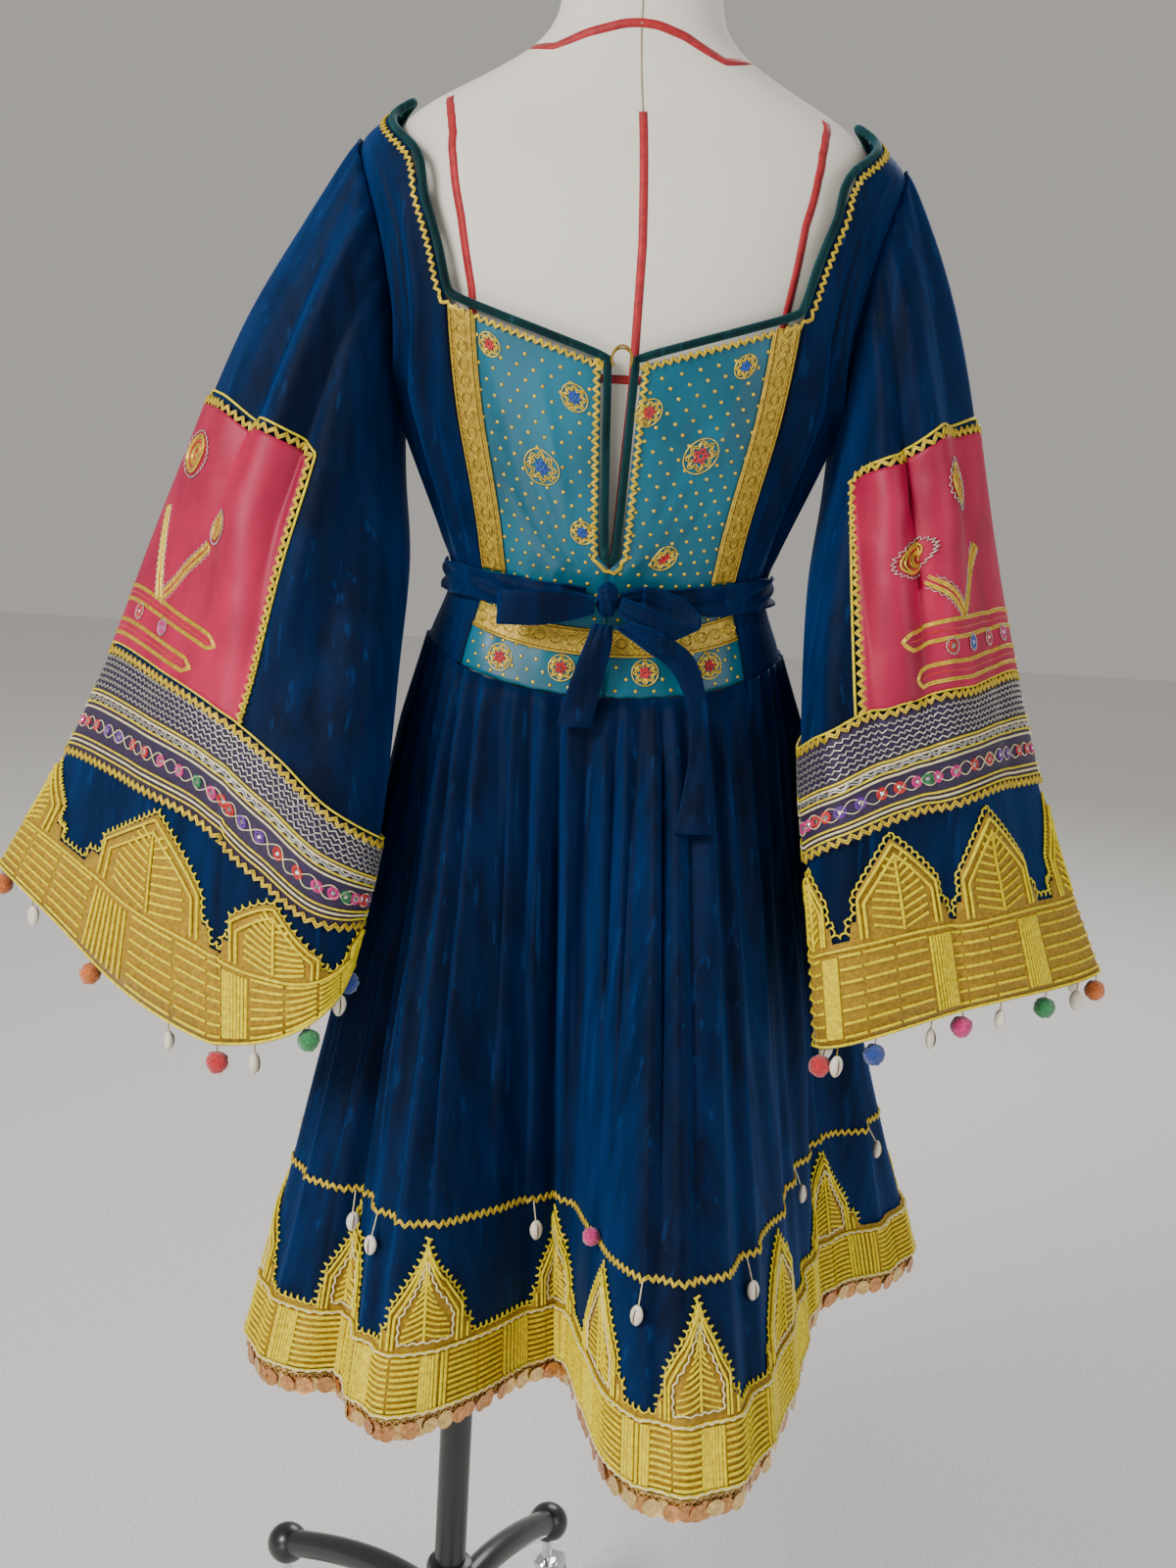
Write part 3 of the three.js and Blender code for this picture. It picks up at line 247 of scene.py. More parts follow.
def gabled(middle: float, side: Sequence[tuple[float, float]], peak: float) -> list[tuple[float, float]]:
    """Outline that is the same either side of its middle, up to a peak and down again.

    Args:
        middle: where the peak stands.
        side: distance from the middle and height of each place, from the foot up.
        peak: height of the peak.

    Returns:
        The places, from one foot to the other.
    """
    up = [(middle - off, height) for off, height in side]
    down = [(middle + off, height) for off, height in reversed(side)]
    return [*up, (middle, peak), *down]


def smooth(rows: Sequence[Sequence], pick: Callable[[Sequence], float], key: float) -> float:
    """Value of a table's column on a smooth curve through its rows.

    Args:
        rows: rows whose first value is the key.
        pick: gives the column's value in a row.
        key: where to read the column.

    Returns:
        The value at the key.
    """
    last = len(rows) - 1
    i = 0
    while i < last - 1 and rows[i + 1][0] <= key:
        i += 1

    def slope(k: int) -> float:
        a, b = rows[max(k - 1, 0)], rows[min(k + 1, last)]
        return (pick(b) - pick(a)) / (b[0] - a[0])

    span = rows[i + 1][0] - rows[i][0]
    t = clamp((key - rows[i][0]) / span)
    h = t * t * (3 - 2 * t)
    bend = slope(i) * (1 - t) ** 2 * t - slope(i + 1) * (1 - t) * t * t
    return pick(rows[i]) * (1 - h) + pick(rows[i + 1]) * h + span * bend


class Smooth:
    """A table's columns on smooth curves through its rows, read quickly."""

    STEPS = 600

    def __init__(self, rows: Sequence[Sequence[float]]) -> None:
        """Work the curves out in even steps.

        Args:
            rows: rows whose first value is the key.
        """
        self.low, self.span = rows[0][0], rows[-1][0] - rows[0][0]
        keys = [self.low + self.span * i / self.STEPS for i in range(self.STEPS + 1)]
        columns = range(1, len(rows[0]))
        self.values = [tuple(smooth(rows, lambda row, k=k: row[k], key) for k in columns) for key in keys]

    def read(self, key: float) -> tuple[float, ...]:
        """All columns at a key."""
        place = clamp((key - self.low) / self.span) * self.STEPS
        i = min(int(place), self.STEPS - 1)
        t = place - i
        return tuple(a + (b - a) * t for a, b in zip(self.values[i], self.values[i + 1]))


FORM = Smooth(FORM_SECTIONS)
BODICE = Smooth(BODICE_SECTIONS)


def section_point(sections: Smooth, turn: float, z: float) -> Vector:
    """Point of a stack of rounded sections.

    Args:
        sections: half width, depth to the back and to the front at each height.
        turn: degrees counter-clockwise from +X, so 270 is the middle of the back.
        z: height.

    Returns:
        The point in millimetres.
    """
    c, s = math.cos(math.radians(turn)), math.sin(math.radians(turn))
    power = 2 / ROUNDNESS
    width, back, front = sections.read(z)
    x = math.copysign(width * abs(c) ** power, c)
    return Vector((x, math.copysign((back if s < 0 else front) * abs(s) ** power, s), z))


def back_turn(x: float, z: float) -> float:
    """Turn at which the bodice's back stands at a given x of its right side."""
    width = BODICE.read(z)[0]
    return 360 - math.degrees(math.acos(clamp(abs(x) / width) ** (ROUNDNESS / 2)))


def seam_z(turn: float) -> float:
    """Height of the seam between the bodice and the skirt."""
    return mix(SEAM_BACK_Z, SEAM_SIDE_Z, math.cos(math.radians(turn)) ** 2)


def hem_at(share: float) -> tuple[float, float, float]:
    """Waist turn, x and y of the hem at a share of the way round."""
    count = len(HEM_FOLDS)
    first = math.floor(share * count)
    t = share * count - first
    rows = []
    for i in range(first - 1, first + 3):
        lap, k = divmod(i, count)
        turn, x, y = HEM_FOLDS[k]
        rows.append((turn + 360 * lap, x, y))
    values = []
    for a, b, c, d in zip(*rows):
        cubic = (3 * b - 3 * c + d - a) * t + (2 * a - 5 * b + 4 * c - d)
        values.append(b + 0.5 * t * (c - a + t * cubic))
    return values[0], values[1], values[2]


def normal_of(place: Place, u: float, v: float, du: float = 0.002, dv: float = 0.01) -> Vector:
    """Outward normal of a surface whose first way runs counter-clockwise and second up."""
    across = place(u + du, v) - place(u - du, v)
    return across.cross(place(u, v + dv) - place(u, v - dv)).normalized()


def lifted(place: Place, u: float, v: float, lift: float) -> Vector:
    """Point above a surface."""
    return place(u, v) + normal_of(place, u, v) * lift


@dataclass(frozen=True)
class Crease:
    """Soft trough or ridge on a surface, along its second way.

    Attributes:
        at: place along the surface's first way, where the crease starts.
        drift: how far it moves over its length.
        width: half width, in the units of the first way.
        low: where it fades in, along the second way.
        high: where it fades out.
        depth: millimetres outwards, negative for a trough.
    """

    at: float
    drift: float
    width: float
    low: float
    high: float
    depth: float

    def at_point(self, u: float, v: float) -> float:
        """Height of the crease at a point of the surface."""
        if not self.low < v < self.high:
            return 0.0
        along = (v - self.low) / (self.high - self.low)
        off = (u - self.at - self.drift * along) / self.width
        if abs(off) > 2.6:
            return 0.0
        return self.depth * math.exp(-off * off) * math.sin(math.pi * along) ** 0.7


# ---------------------------------------------------------------- mesh tools


class Stage:
    """The part's place in the frame, and the moving of points into it."""

    shift: Vector = Vector((0, 0, 0))

    @classmethod
    def settle(cls) -> None:
        """Read where the solids' own middle lies in the frame."""
        low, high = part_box("pole")
        cls.shift = Vector(((low[0] + high[0]) / 2 / MM - POLE[0], (low[1] + high[1]) / 2 / MM - POLE[1], 0))

    @classmethod
    def world(cls, p: Vector) -> Vector:
        """Point of the frame, in metres, for a point in millimetres."""
        return (p + cls.shift) * MM


def as_object(
    name: str, bm: bmesh.types.BMesh, finish: "Finish", smooth_faces: bool = True
) -> bpy.types.Object:
    """Turn a bmesh into a piece with a finish.

    Args:
        name: the piece's name.
        bm: the mesh, freed here.
        finish: its material.
        smooth_faces: whether its faces are shaded smooth.

    Returns:
        The new object.
    """
    for face in bm.faces:
        face.smooth = smooth_faces
    mesh = bpy.data.meshes.new(name)
    bm.to_mesh(mesh)
    bm.free()
    obj = bpy.data.objects.new(name, mesh)
    bpy.context.scene.collection.objects.link(obj)
    mesh.materials.append(finish.material())
    return obj


def sheet(
    name: str,
    cells: tuple[int, int],
    place: Place,
    finish: "Finish",
    thickness: float,
    closed: bool = False,
    uv_size: tuple[float, float] = (1.0, 1.0),
    flip: bool = False,
) -> bpy.types.Object:
    """Cloth on a surface: a grid laid on it and given its thickness outwards.

    Args:
        name: the piece's name.
        cells: cells across and up.
        place: the surface, both ways from 0 to 1.
        finish: its material.
        thickness: in millimetres.
        closed: whether the first way runs right round.
        uv_size: metres that the pattern's coordinates span.
        flip: whether the surface's first way runs clockwise.

    Returns:
        The new object.
    """
    bm = bmesh.new()
    bmesh.ops.create_grid(bm, x_segments=cells[0], y_segments=cells[1], size=0.5)
    layer = bm.loops.layers.uv.new("pattern")
    for face in bm.faces:
        for loop in face.loops:
            u, v = loop.vert.co.x + 0.5, loop.vert.co.y + 0.5
            loop[layer].uv = (u * uv_size[0], v * uv_size[1])
    for vert in bm.verts:
        u, v = vert.co.x + 0.5, vert.co.y + 0.5
        vert.co = Stage.world(place(1 - u if flip else u, v))
    if closed:
        bmesh.ops.remove_doubles(bm, verts=bm.verts, dist=1e-5)
    obj = as_object(name, bm, finish)
    wall = obj.modifiers.new("wall", "SOLIDIFY")
    wall.thickness = thickness * MM
    wall.offset = 1
    wall.use_even_offset = False
    return obj


@dataclass
class Cords:
    """Cords laid along lines, all of one thickness and finish, as one mesh.

    Attributes:
        name: the piece's name.
        radius: of the cord, in millimetres.
        finish: its material.
        sides: 0 for four sides, 1 for six, 2 for eight.
        lines: the lines, in millimetres.
        rings: whether each line is a ring.
    """

    name: str
    radius: float
    finish: "Finish"
    sides: int = 1
    lines: list[Line] = field(default_factory=list)
    rings: list[bool] = field(default_factory=list)

    def add(self, line: Iterable[Vector], ring: bool = False) -> None:
        """Lay one more cord."""
        points = list(line)
        if len(points) > 1:
            self.lines.append(points)
            self.rings.append(ring)

    def build(self) -> bpy.types.Object:
        """Make the mesh of all cords."""
        curve = bpy.data.curves.new(self.name, "CURVE")
        curve.dimensions = "3D"
        curve.bevel_depth = self.radius * MM
        curve.bevel_resolution = self.sides
        curve.use_fill_caps = True
        for line, ring in zip(self.lines, self.rings):
            spline = curve.splines.new("POLY")
            spline.points.add(len(line) - 1)
            for point, place in zip(spline.points, line):
                point.co = (*Stage.world(place), 1.0)
            spline.use_cyclic_u = ring
        holder = bpy.data.objects.new(self.name + ".line", curve)
        bpy.context.scene.collection.objects.link(holder)
        graph = bpy.context.evaluated_depsgraph_get()
        mesh = bpy.data.meshes.new_from_object(holder.evaluated_get(graph))
        bpy.data.objects.remove(holder)
        bm = bmesh.new()
        bm.from_mesh(mesh)
        bpy.data.meshes.remove(mesh)
        return as_object(self.name, bm, self.finish)


def join(name: str, objects: Sequence[bpy.types.Object]) -> bpy.types.Object:
    """Join pieces of different finishes into one object."""
    bm = bmesh.new()
    target = bpy.data.meshes.new(name)
    for obj in objects:
        slot = len(target.materials)
        target.materials.append(obj.data.materials[0])
        start = len(bm.faces)
        bm.from_mesh(obj.data)
        bm.faces.ensure_lookup_table()
        for face in bm.faces[start:]:
            face.material_index = slot
    bm.to_mesh(target)
    bm.free()
    first = objects[0]
    first.data = target
    first.name = name
    for obj in objects[1:]:
        bpy.data.objects.remove(obj)
    return first


# ---------------------------------------------------------------- finishes


class Nodes:
    """A material's node tree, built in a few short calls."""

    def __init__(self, name: str) -> None:
        """Start an empty tree with its shader."""
        self.material = bpy.data.materials.new(name)
        self.material.use_nodes = True
        self.tree = self.material.node_tree
        self.shader = self.tree.nodes["Principled BSDF"]
        self.coords = self.tree.nodes.new("ShaderNodeTexCoord")

    def add(self, kind: str, **values: object) -> bpy.types.Node:
        """Add a node; sockets by index as s0, s1…, other names as attributes."""
        node = self.tree.nodes.new("ShaderNode" + kind)
        for key, value in values.items():
            if key[0] == "s" and key[1:].isdigit():
                node.inputs[int(key[1:])].default_value = value
            else:
                setattr(node, key, value)
        return node

    def link(self, source: object, target: object) -> None:
        """Join an output to an input."""
        self.tree.links.new(source, target)

    def set(self, **values: object) -> None:
        """Set the shader's own sockets, with underscores for spaces."""
        for key, value in values.items():
            self.shader.inputs[key.replace("_", " ")].default_value = value

    def place(self, on_cloth: bool) -> bpy.types.NodeSocket:
        """Coordinates on the cloth itself, or of the object."""
        return self.coords.outputs["UV" if on_cloth else "Object"]

    def noise(self, scale: float, detail: float = 3.0, on_cloth: bool = False, stretch=(1, 1, 1)) -> object:
        """Value of a noise, stretched along the axes."""
        mapping = self.add("Mapping")
        mapping.inputs["Scale"].default_value = stretch
        self.link(self.place(on_cloth), mapping.inputs["Vector"])
        node = self.add("TexNoise")
        node.inputs["Scale"].default_value = scale
        node.inputs["Detail"].default_value = detail
        self.link(mapping.outputs[0], node.inputs["Vector"])
        return node.outputs["Fac"]

    def ramp(self, value: object, stops: Sequence[tuple[float, tuple[float, float, float]]]) -> object:
        """Colour read from a value."""
        node = self.add("ValToRGB")
        elements = node.color_ramp.elements
        while len(elements) < len(stops):
            elements.new(0.5)
        for element, (place, colour) in zip(elements, stops):
            element.position = place
            element.color = (*colour, 1)
        self.link(value, node.inputs[0])
        return node.outputs[0]

    def math(self, operation: str, a: object, b: object = 0.0) -> object:
        """Result of an operation on two values or sockets."""
        node = self.add("Math", operation=operation)
        for socket, value in zip(node.inputs, (a, b)):
            if isinstance(value, (int, float)):
                socket.default_value = value
            else:
                self.link(value, socket)
        return node.outputs[0]

    def blend(self, share: object, a: object, b: object) -> object:
        """Colour between two others."""
        node = self.add("Mix", data_type="RGBA")
        for socket, value in zip((node.inputs[0], node.inputs[6], node.inputs[7]), (share, a, b)):
            if isinstance(value, tuple):
                socket.default_value = (*value, 1)
            elif isinstance(value, (int, float)):
                socket.default_value = value
            else:
                self.link(value, socket)
        return node.outputs[2]

    def bump(self, height: object, distance: float, strength: float = 1.0) -> None:
        """Fine relief from a value."""
        node = self.add("Bump")
        node.inputs["Strength"].default_value = strength
        node.inputs["Distance"].default_value = distance
        self.link(height, node.inputs["Height"])
        self.link(node.outputs[0], self.shader.inputs["Normal"])

    def colour(self, socket: object) -> None:
        """Link the base colour."""
        self.link(socket, self.shader.inputs["Base Color"])


@dataclass(frozen=True)
class Finish:
    """A plain finish.

    Attributes:
        name: its material's name.
        slot: the record's material slot; not used.
        rgb: its colour.
        rough: roughness.
        metal: metalness.
        grain: millimetres of fine relief.
        spread: how far its colour strays from spot to spot.
        sheen: soft light at grazing angles.
        coat: clear gloss over it.
    """

    name: str
    slot: str
    rgb: tuple[float, float, float]
    rough: float = 0.5
    metal: float = 0.0
    grain: float = 0.0
    spread: float = 0.15
    sheen: float = 0.0
    coat: float = 0.0
    scale: float = 900.0

    def material(self) -> bpy.types.Material:
        """The finish's material, made once."""
        return bpy.data.materials.get(self.name) or self.make().material

    def shades(self, low: float, high: float) -> list[tuple[float, tuple[float, float, float]]]:
        """A darker and a lighter stop of its colour."""
        dark = tuple(c * low for c in self.rgb)
        light = tuple(min(1.0, c * high) for c in self.rgb)
        return [(0.3, dark), (0.7, light)]

    def make(self) -> Nodes:
        """Build the material's nodes."""
        nodes = Nodes(self.name)
        nodes.set(Roughness=self.rough, Metallic=self.metal, Sheen_Weight=self.sheen, Coat_Weight=self.coat)
        nodes.set(Sheen_Roughness=0.4, Coat_Roughness=0.2)
        value = nodes.noise(self.scale * 0.35)
        nodes.colour(nodes.ramp(value, self.shades(1 - self.spread, 1 + self.spread)))
        if self.grain:
            nodes.bump(nodes.noise(self.scale, 4), self.grain * MM)
        return nodes


@dataclass(frozen=True)
class Velvet(Finish):
    """Pile cloth: dark face on, with sheen painted into its colour where it turns away from view.

    Attributes:
        bright: colour of the sheen and highlight streaks painted into the velvet's colour, and tint of its
            shader sheen.
    """

    bright: tuple[float, float, float] = (0.002, 0.05, 0.2)

    def make(self) -> Nodes:
        """Nap in patches and long brush marks, with a sheen, and painted sheen and highlight streaks in its
        colour.
        """
        nodes = Nodes(self.name)
        nodes.set(Roughness=0.6, Sheen_Weight=0.22, Sheen_Roughness=0.28)
        nodes.set(Sheen_Tint=(*(min(1.0, c * 2.6 + 0.02) for c in self.bright), 1))
        nodes.set(Specular_IOR_Level=0.08)
        patches = nodes.noise(9, 3, stretch=(1.6, 1.6, 0.7))
        brushed = nodes.noise(55, 5, stretch=(1.5, 1.5, 0.22))
        fine = nodes.noise(1400, 2)
        value = nodes.math("MULTIPLY", nodes.math("ADD", patches, brushed), 0.5)
        dark, light = (tuple(c * k for c in self.rgb) for k in (0.6, 1.7))
        base = nodes.ramp(value, [(0.4, dark), (0.62, light)])
        # Painted highlight: thin streaks of the bright colour stand in for light along fold ridges.
        highlight_noise = nodes.noise(70, 2, stretch=(2.2, 2.2, 0.05))
        highlight_streaks = nodes.ramp(highlight_noise, [(0.63, (0, 0, 0)), (0.7, (1, 1, 1))])
        # Painted sheen: the colour turns towards the bright colour where the cloth turns away from view,
        # patchy with the nap and grainy.
        edge = nodes.add("LayerWeight")
        edge.inputs["Blend"].default_value = 0.34
        uneven = nodes.math("ADD", nodes.math("MULTIPLY", value, 1.5), -0.05)
        lean = nodes.math("MULTIPLY", edge.outputs["Facing"], uneven)
        painted_sheen = nodes.math("MULTIPLY", lean, nodes.math("ADD", nodes.math("MULTIPLY", fine, 0.5), 0.75))
        lit = nodes.math("ADD", painted_sheen, nodes.math("MULTIPLY", highlight_streaks, 0.26))
        nodes.colour(nodes.blend(lit, base, self.bright))
        nodes.bump(nodes.math("ADD", nodes.math("MULTIPLY", fine, 0.4), brushed), 0.7 * MM, 0.5)
        return nodes


@dataclass(frozen=True)
class SatinWeave(Finish):
    """Smooth shiny cloth with a faint rib."""

    def make(self) -> Nodes:
        """Weft rib, light bands of sheen and small puckers."""
        nodes = Nodes(self.name)
        nodes.set(Roughness=self.rough, Sheen_Weight=0.05, Sheen_Roughness=0.4, Coat_Weight=self.coat)
        nodes.set(Coat_Roughness=0.3, Specular_IOR_Level=0.42, Anisotropic=0.45)
        value = nodes.noise(26, 4, stretch=(1, 1, 0.5))
        nodes.colour(nodes.ramp(value, self.shades(0.72, 1.35)))
        rib = nodes.add("TexWave", bands_direction="Z")
        rib.inputs["Scale"].default_value = 420
        rib.inputs["Distortion"].default_value = 0.6
        nodes.link(nodes.place(False), rib.inputs["Vector"])
        nodes.bump(nodes.math("ADD", nodes.math("MULTIPLY", rib.outputs["Fac"], 0.25), value), 0.35 * MM, 0.5)
        return nodes


@dataclass(frozen=True)
class Linen(Finish):
    """Plain weave with slubs, along the cloth or the object."""

    def make(self) -> Nodes:
        """Two crossing sets of uneven yarns."""
        nodes = Nodes(self.name)
        nodes.set(Roughness=0.9, Sheen_Weight=0.15, Specular_IOR_Level=0.2)
        yarns = []
        for direction, stretch in (("X", (1.0, 1.0, 0.06)), ("Z", (0.08, 0.08, 1.0))):
            wave = nodes.add("TexWave", bands_direction=direction)
            wave.inputs["Scale"].default_value = 190
            wave.inputs["Distortion"].default_value = 2.2
            wave.inputs["Detail Scale"].default_value = 1.4
            nodes.link(nodes.place(False), wave.inputs["Vector"])
            slub = nodes.noise(260, 4, stretch=stretch)
            yarns.append(nodes.math("ADD", nodes.math("MULTIPLY", wave.outputs["Fac"], 0.35), slub))
        value = nodes.math("MULTIPLY", nodes.math("ADD", yarns[0], yarns[1]), 0.5)
        nodes.colour(nodes.ramp(nodes.math("MULTIPLY", value, 0.72), self.shades(0.78, 1.1)))
        nodes.bump(value, 0.6 * MM, 0.8)
        return nodes


@dataclass(frozen=True)
class Pompom(Finish):
    """Tufted wool."""

    def make(self) -> Nodes:
        """Speckled, with deep fine relief."""
        nodes = Nodes(self.name)
        nodes.set(Roughness=0.95, Sheen_Weight=0.6, Sheen_Roughness=0.5)
        value = nodes.noise(700, 4)
        nodes.colour(nodes.ramp(value, self.shades(0.45, 1.5)))
        nodes.bump(value, 1.6 * MM)
        return nodes


class Trim(Enum):
    """The finishes of the dress and its stand."""

    NAVY = Velvet("navy velvet", "velvet", (0.0002, 0.0065, 0.032))
    TIE = Velvet("tie velvet", "velvet", (0.0002, 0.006, 0.03))
    BINDING = Velvet("green binding", "binding", (0.002, 0.016, 0.018), bright=(0.03, 0.13, 0.15))
    TEAL = SatinWeave("teal satin", "satin", (0.0, 0.105, 0.17), 0.33, coat=0.08)
    PINK = SatinWeave("pink satin", "pink_satin", (0.42, 0.0008, 0.05), 0.46, coat=0.0)
    JACQUARD = Finish("jacquard ground", "gold_ribbon", (0.46, 0.31, 0.035), 0.42, 0.35, 0.25, 0.3)
    GOLD = Finish("gold thread", "gold_ribbon", (0.8, 0.55, 0.06), 0.34, 0.6, 0.12, 0.3)
    DARK_GOLD = Finish("dark gold", "gold_ribbon", (0.3, 0.18, 0.02), 0.45, 0.5, 0.15, 0.3)
    SILVER = Finish("silver braid", "braid", (0.62, 0.6, 0.55), 0.34, 0.7, 0.15, 0.25)
    LACE = Finish("gold lace", "braid", (0.68, 0.42, 0.16), 0.4, 0.6, 0.15, 0.3)
    YELLOW = Finish("yellow cord", "couched_cord", (0.93, 0.66, 0.0), 0.5, 0.0, 0.25, 0.3, 0.05)
    PALE = Finish("pale cord", "couched_cord", (0.85, 0.74, 0.42), 0.6, 0.0, 0.2, 0.2, 0.3)
    GROUND = Finish("couching ground", "couched_cord", (0.36, 0.21, 0.004), 0.75, 0.0, 0.3, 0.3, 0.2)
    RICKRACK = Finish("rickrack", "braid", (0.7, 0.5, 0.03), 0.42, 0.35, 0.15, 0.3, 0.05)
    PURPLE = Finish("purple band", "braid", (0.022, 0.009, 0.05), 0.6, 0.0, 0.3, 0.4, 0.2)
    RED_THREAD = Finish("red thread", "braid", (0.55, 0.012, 0.015), 0.55, 0.0, 0.2, 0.3, 0.3)
    BLUE_THREAD = Finish("blue thread", "braid", (0.01, 0.07, 0.4), 0.5, 0.0, 0.2, 0.3, 0.3)
    GREEN_THREAD = Finish("green thread", "braid", (0.01, 0.2, 0.06), 0.5, 0.0, 0.2, 0.3, 0.3)
    MAGENTA_THREAD = Finish("magenta thread", "braid", (0.6, 0.012, 0.2), 0.5, 0.0, 0.2, 0.3, 0.3)
    PURPLE_THREAD = Finish("purple thread", "braid", (0.12, 0.02, 0.3), 0.5, 0.0, 0.2, 0.3, 0.3)
    GLASS = Finish("mirror glass", "coin", (0.5, 0.5, 0.5), 0.12, 0.9, 0.03, 0.1, coat=0.5)
    COPPER = Finish("copper coins", "coin", (0.62, 0.3, 0.12), 0.3, 0.95, 0.2, 0.35)
    BRASS = Finish("brass coins", "coin", (0.75, 0.52, 0.2), 0.28, 0.95, 0.2, 0.3)
    SHELL = Finish("shell", "shell", (0.84, 0.76, 0.62), 0.28, 0.0, 0.1, 0.12, coat=0.4, scale=300)
    SHELL_SLIT = Finish("shell slit", "shell", (0.13, 0.08, 0.05), 0.6)
    ORANGE = Pompom("orange pompom", "drops", (0.85, 0.17, 0.02))
    RED = Pompom("red pompom", "drops", (0.6, 0.015, 0.025))
    GREEN = Pompom("green pompom", "drops", (0.02, 0.25, 0.07))
    BLUE = Pompom("blue pompom", "drops", (0.01, 0.05, 0.3))
    MAGENTA = Pompom("magenta pompom", "drops", (0.7, 0.02, 0.2))
    CANVAS = Linen("linen", "linen", (0.74, 0.65, 0.5))
    TAPE = Finish("red tape", "tape", (0.4, 0.012, 0.018), 0.6, 0.0, 0.25, 0.25, 0.3, scale=500)
    SEAM = Finish("linen seam", "linen", (0.4, 0.33, 0.23), 0.9, 0.0, 0.2, 0.2, scale=500)
    BLACK = Finish(
        "black paint", "black_metal", (0.012, 0.012, 0.013), 0.34, 0.0, 0.03, 0.2, coat=0.35, scale=600
    )
    CHROME = Finish("chrome", "chrome", (0.6, 0.6, 0.62), 0.18, 1.0, 0.02, 0.1, scale=300)
    RUBBER = Finish("rubber", "rubber", (0.014, 0.014, 0.015), 0.66, 0.0, 0.08, 0.3, scale=500)


# ---------------------------------------------------------------- needlework on a surface


@dataclass
class Track:
    """A line on cloth in even steps, with its sideways and outward directions.

    Attributes:
        points: the line, in millimetres.
        sides: directions along the cloth, square to the line.
        normals: directions off the cloth.
    """

    points: Line
    sides: Line
    normals: Line

    @classmethod
    def on(cls, place: Place, path: Sequence[tuple[float, float]], lift: float, spacing: float) -> "Track":
        """Lay a line on a surface.

        Args:
            place: the surface.
            path: corners of the line in the surface's two ways.
            lift: millimetres above the surface.
            spacing: millimetres between the line's points.

        Returns:
            The line with its directions.
        """
        fine: list[tuple[float, float]] = []
        for (ua, va), (ub, vb) in zip(path, path[1:]):
            rough = (place(ub, vb) - place(ua, va)).length
            cells = max(2, math.ceil(rough / max(spacing, 2.0)))
            fine += [(mix(ua, ub, i / cells), mix(va, vb, i / cells)) for i in range(cells)]
        fine.append(path[-1])
        places = [place(u, v) for u, v in fine]
        reach = [0.0]
        for a, b in zip(places, places[1:]):
            reach.append(reach[-1] + (b - a).length)
        count = max(2, round(reach[-1] / spacing))
        points, normals, k = [], [], 0
        for i in range(count + 1):
            goal = reach[-1] * i / count
            while k < len(fine) - 2 and reach[k + 1] < goal:
                k += 1
            t = clamp((goal - reach[k]) / max(reach[k + 1] - reach[k], 1e-6))
            u, v = mix(fine[k][0], fine[k + 1][0], t), mix(fine[k][1], fine[k + 1][1], t)
            normal = normal_of(place, u, v)
            points.append(places[k].lerp(places[k + 1], t) + normal * lift)
            normals.append(normal)
        return cls.along(points, normals)

    @classmethod
    def along(cls, points: Line, normals: Line, ring: bool = False) -> "Track":
        """Line of known points and outward directions."""
        sides, last = [], len(points) - 1
        for i, normal in enumerate(normals):
            before = points[i - 1] if i or ring else points[0]
            after = points[(i + 1) % (last + 1)] if i < last or ring else points[last]
            sides.append((after - before).cross(normal).normalized())
        return cls(points, sides, normals)

    def offset(self, distance: float, lift: float = 0.0) -> Line:
        """The line moved sideways and off the cloth."""
        return [p + s * distance + n * lift for p, s, n in zip(self.points, self.sides, self.normals)]

    def wave(self, width: float, steps: int = 4, distance: float = 0.0, lift: float = 0.0) -> Line:
        """Zigzag about the line, one wave every few steps."""
        waved = []
        for i, (p, s, n) in enumerate(zip(self.points, self.sides, self.normals)):
            waved.append(p + s * (distance + width * math.sin(2 * math.pi * (i % steps) / steps)) + n * lift)
        return waved

    def loops(self, width: float, reach: float, steps: int = 8, distance: float = 0.0) -> Line:
        """Row of curled loops along the line."""
        curled = []
        for i, (p, s, n) in enumerate(zip(self.points, self.sides, self.normals)):
            a = 2 * math.pi * (i % steps) / steps
            forward = n.cross(s)
            curled.append(p + s * (distance + width * math.cos(a)) + forward * (reach * math.sin(a)))
        return curled


@dataclass
class Patch:
    """A spot of cloth with a flat measure of its own, in millimetres.

    Attributes:
        place: the surface.
        u: the spot along the surface's first way.
        v: and along its second.
        lift: millimetres above the surface.
        lean: degrees that the measure is turned.
    """

    place: Place
    u: float
    v: float
    lift: float
    lean: float = 0.0

    def __post_init__(self) -> None:
        """Measure the surface at the spot."""
        e = 0.01
        self.across = (self.place(self.u + e, self.v) - self.place(self.u - e, self.v)).length / (2 * e)
        self.up = (self.place(self.u, self.v + e) - self.place(self.u, self.v - e)).length / (2 * e)

    def at(self, x: float, y: float) -> Vector:
        """Point of the spot, x along the first way and y along the second before it is turned."""
        c, s = math.cos(math.radians(self.lean)), math.sin(math.radians(self.lean))
        u, v = self.u + (x * c - y * s) / self.across, self.v + (x * s + y * c) / self.up
        return lifted(self.place, u, v, self.lift)

    def curve(
        self, radius: Callable[[float], float], count: int, centre: tuple[float, float] = (0, 0)
    ) -> Line:
        """Closed curve given by its radius at each angle."""
        angles = [2 * math.pi * i / count for i in range(count)]
        x, y = centre
        return [self.at(x + radius(a) * math.cos(a), y + radius(a) * math.sin(a)) for a in angles]

    def normal(self) -> Vector:
        """Direction off the cloth."""
        return normal_of(self.place, self.u, self.v)


